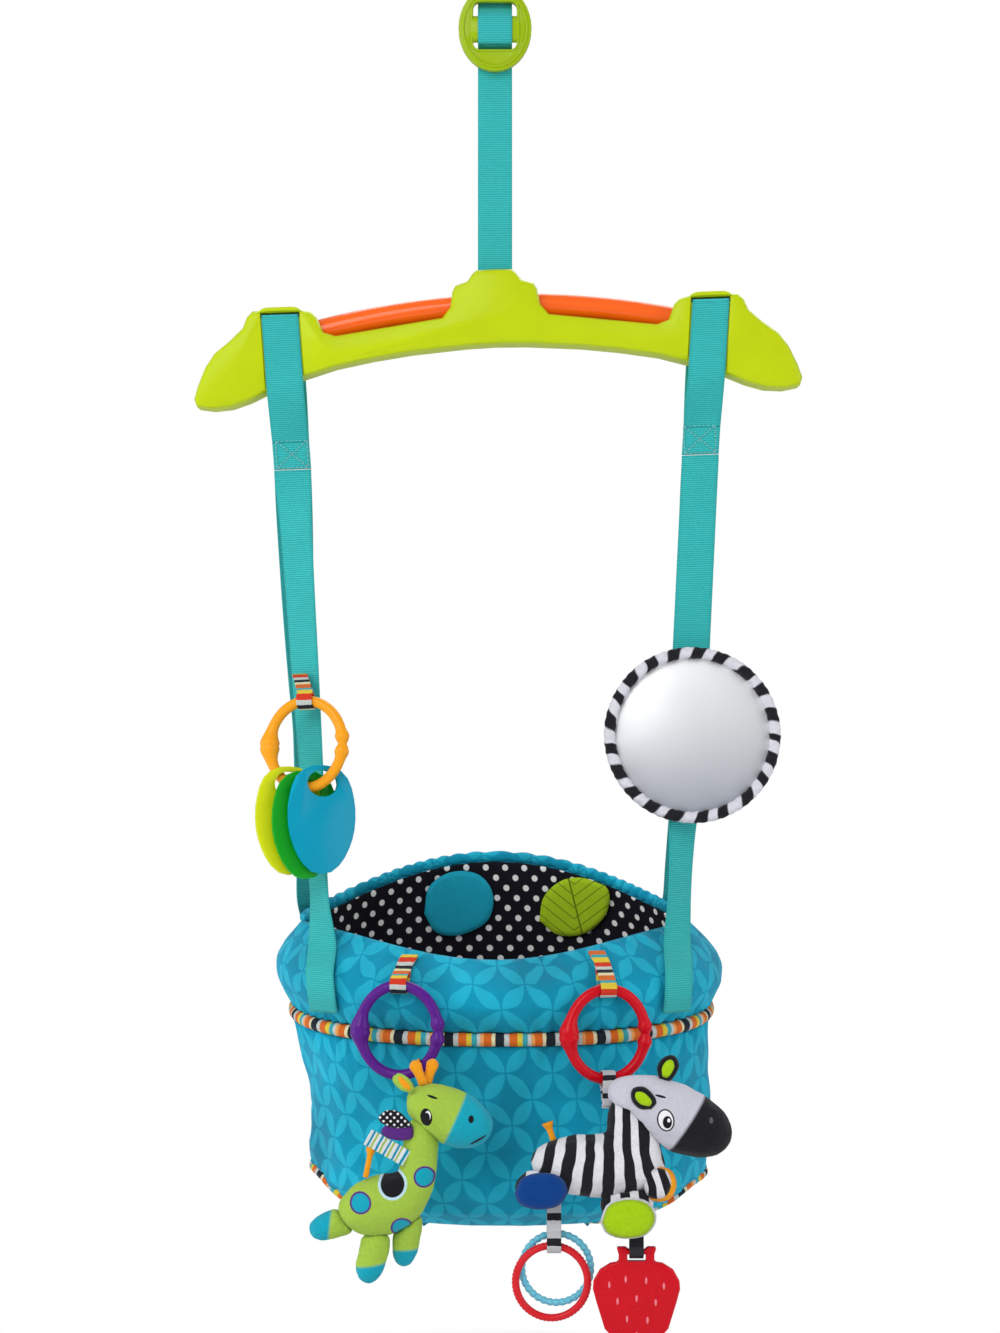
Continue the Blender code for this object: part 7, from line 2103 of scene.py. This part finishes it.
class JUMPER_OT_teethers(JumperOperator):
    """Moulds the ribbed red ring and the bumpy aqua ring, and finishes the berry with its seeds"""

    bl_idname = "jumper.teethers"
    bl_label = "Teethers"

    def execute(self, context):
        tones = context.scene.jumper_plastics
        red = plastic("Red ring plastic", tones.ring_red, 0.28)
        aqua = clear_plastic("Aqua ring silicone", tones.ring_aqua)

        def ribbed(share, angle):
            outer = max(0.0, math.cos(angle)) ** 0.7
            return 0.0028 * (1 + 0.07 * outer * math.sin(60 * math.tau * share))

        def bumpy(share, angle):
            return 0.0026 * (0.80 + 0.28 * abs(math.sin(34 * math.pi * share)))

        for name, top, radius, rod, finish, slot in (
            ("red", RED_RING_TOP, RED_RING_RADIUS, ribbed, red, "red_plastic"),
            ("aqua", AQUA_RING_TOP, AQUA_RING_RADIUS, bumpy, aqua, "aqua_plastic"),
        ):
            centre = top - UP * radius
            points = [centre + Vector((radius * math.cos(a), 0, radius * math.sin(a))) for a in turns(420)]
            made = tube(f"moulded_ring_{name}", points, rod, finish, f"{name}_ring", 14, True, RIGHT)
            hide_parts(f"ring_{name}")
        dress_solid("berry", plastic("Berry plastic", tones.berry, 0.26, 1.5), 0.0009)
        seeds = plastic("Berry seed marks", linear("E9808A"), 0.3)
        for face, label in FACES:
            bm = bmesh.new()
            for x, z in BERRY_SEEDS:
                rings = []
                for share in np.linspace(-1, 1, 7):
                    size = 0.0009 * math.sqrt(max(0.02, 1 - share * share))
                    ring = []
                    for a in turns(10):
                        y = face * (0.0035 + 0.5 * size * math.sin(a))
                        ring.append(BERRY_TOP + Vector((x + size * math.cos(a), y, z + share * 0.0026)))
                    rings.append(ring)
                closed_skin(bm, rings)
            add_mesh(f"berry_seeds_{label}", bm, seeds, "berry_charm")
        return {"FINISHED"}


class JUMPER_PT_pieces(Panel):
    """The jumper's pieces, colours and sizes"""

    bl_label = "Baby doorway jumper"
    bl_idname = "JUMPER_PT_pieces"
    bl_space_type = "VIEW_3D"
    bl_region_type = "UI"
    bl_category = "Jumper"

    def draw(self, context):
        column = self.layout.column()
        for operator in OPERATORS:
            column.operator(operator.bl_idname)
        for group in ("jumper_plastics", "jumper_fabrics", "jumper_sizes", "jumper_stage"):
            values = getattr(context.scene, group)
            box = self.layout.box()
            for key in values.__annotations__:
                box.prop(values, key)


OPERATORS = (
    JUMPER_OT_stage, JUMPER_OT_clamp, JUMPER_OT_spring, JUMPER_OT_adjuster, JUMPER_OT_hanging_webbing,
    JUMPER_OT_cross_beam, JUMPER_OT_side_webbing, JUMPER_OT_seat, JUMPER_OT_links, JUMPER_OT_mirror,
    JUMPER_OT_giraffe, JUMPER_OT_zebra, JUMPER_OT_teethers,
)
GROUPS = {
    "jumper_plastics": JumperPlasticColours,
    "jumper_fabrics": JumperFabricColours,
    "jumper_sizes": JumperSizes,
    "jumper_stage": JumperStage,
}


def register():
    for cls in (*GROUPS.values(), *OPERATORS, JUMPER_PT_pieces):
        bpy.utils.register_class(cls)
    for name, cls in GROUPS.items():
        setattr(bpy.types.Scene, name, PointerProperty(type=cls))


def unregister():
    for name in GROUPS:
        delattr(bpy.types.Scene, name)
    for cls in (JUMPER_PT_pieces, *reversed(OPERATORS), *reversed(list(GROUPS.values()))):
        bpy.utils.unregister_class(cls)


def main():
    register()
    for operator in OPERATORS:
        module, name = operator.bl_idname.split(".")
        getattr(getattr(bpy.ops, module), name)()


if __name__ == "__main__":
    main()
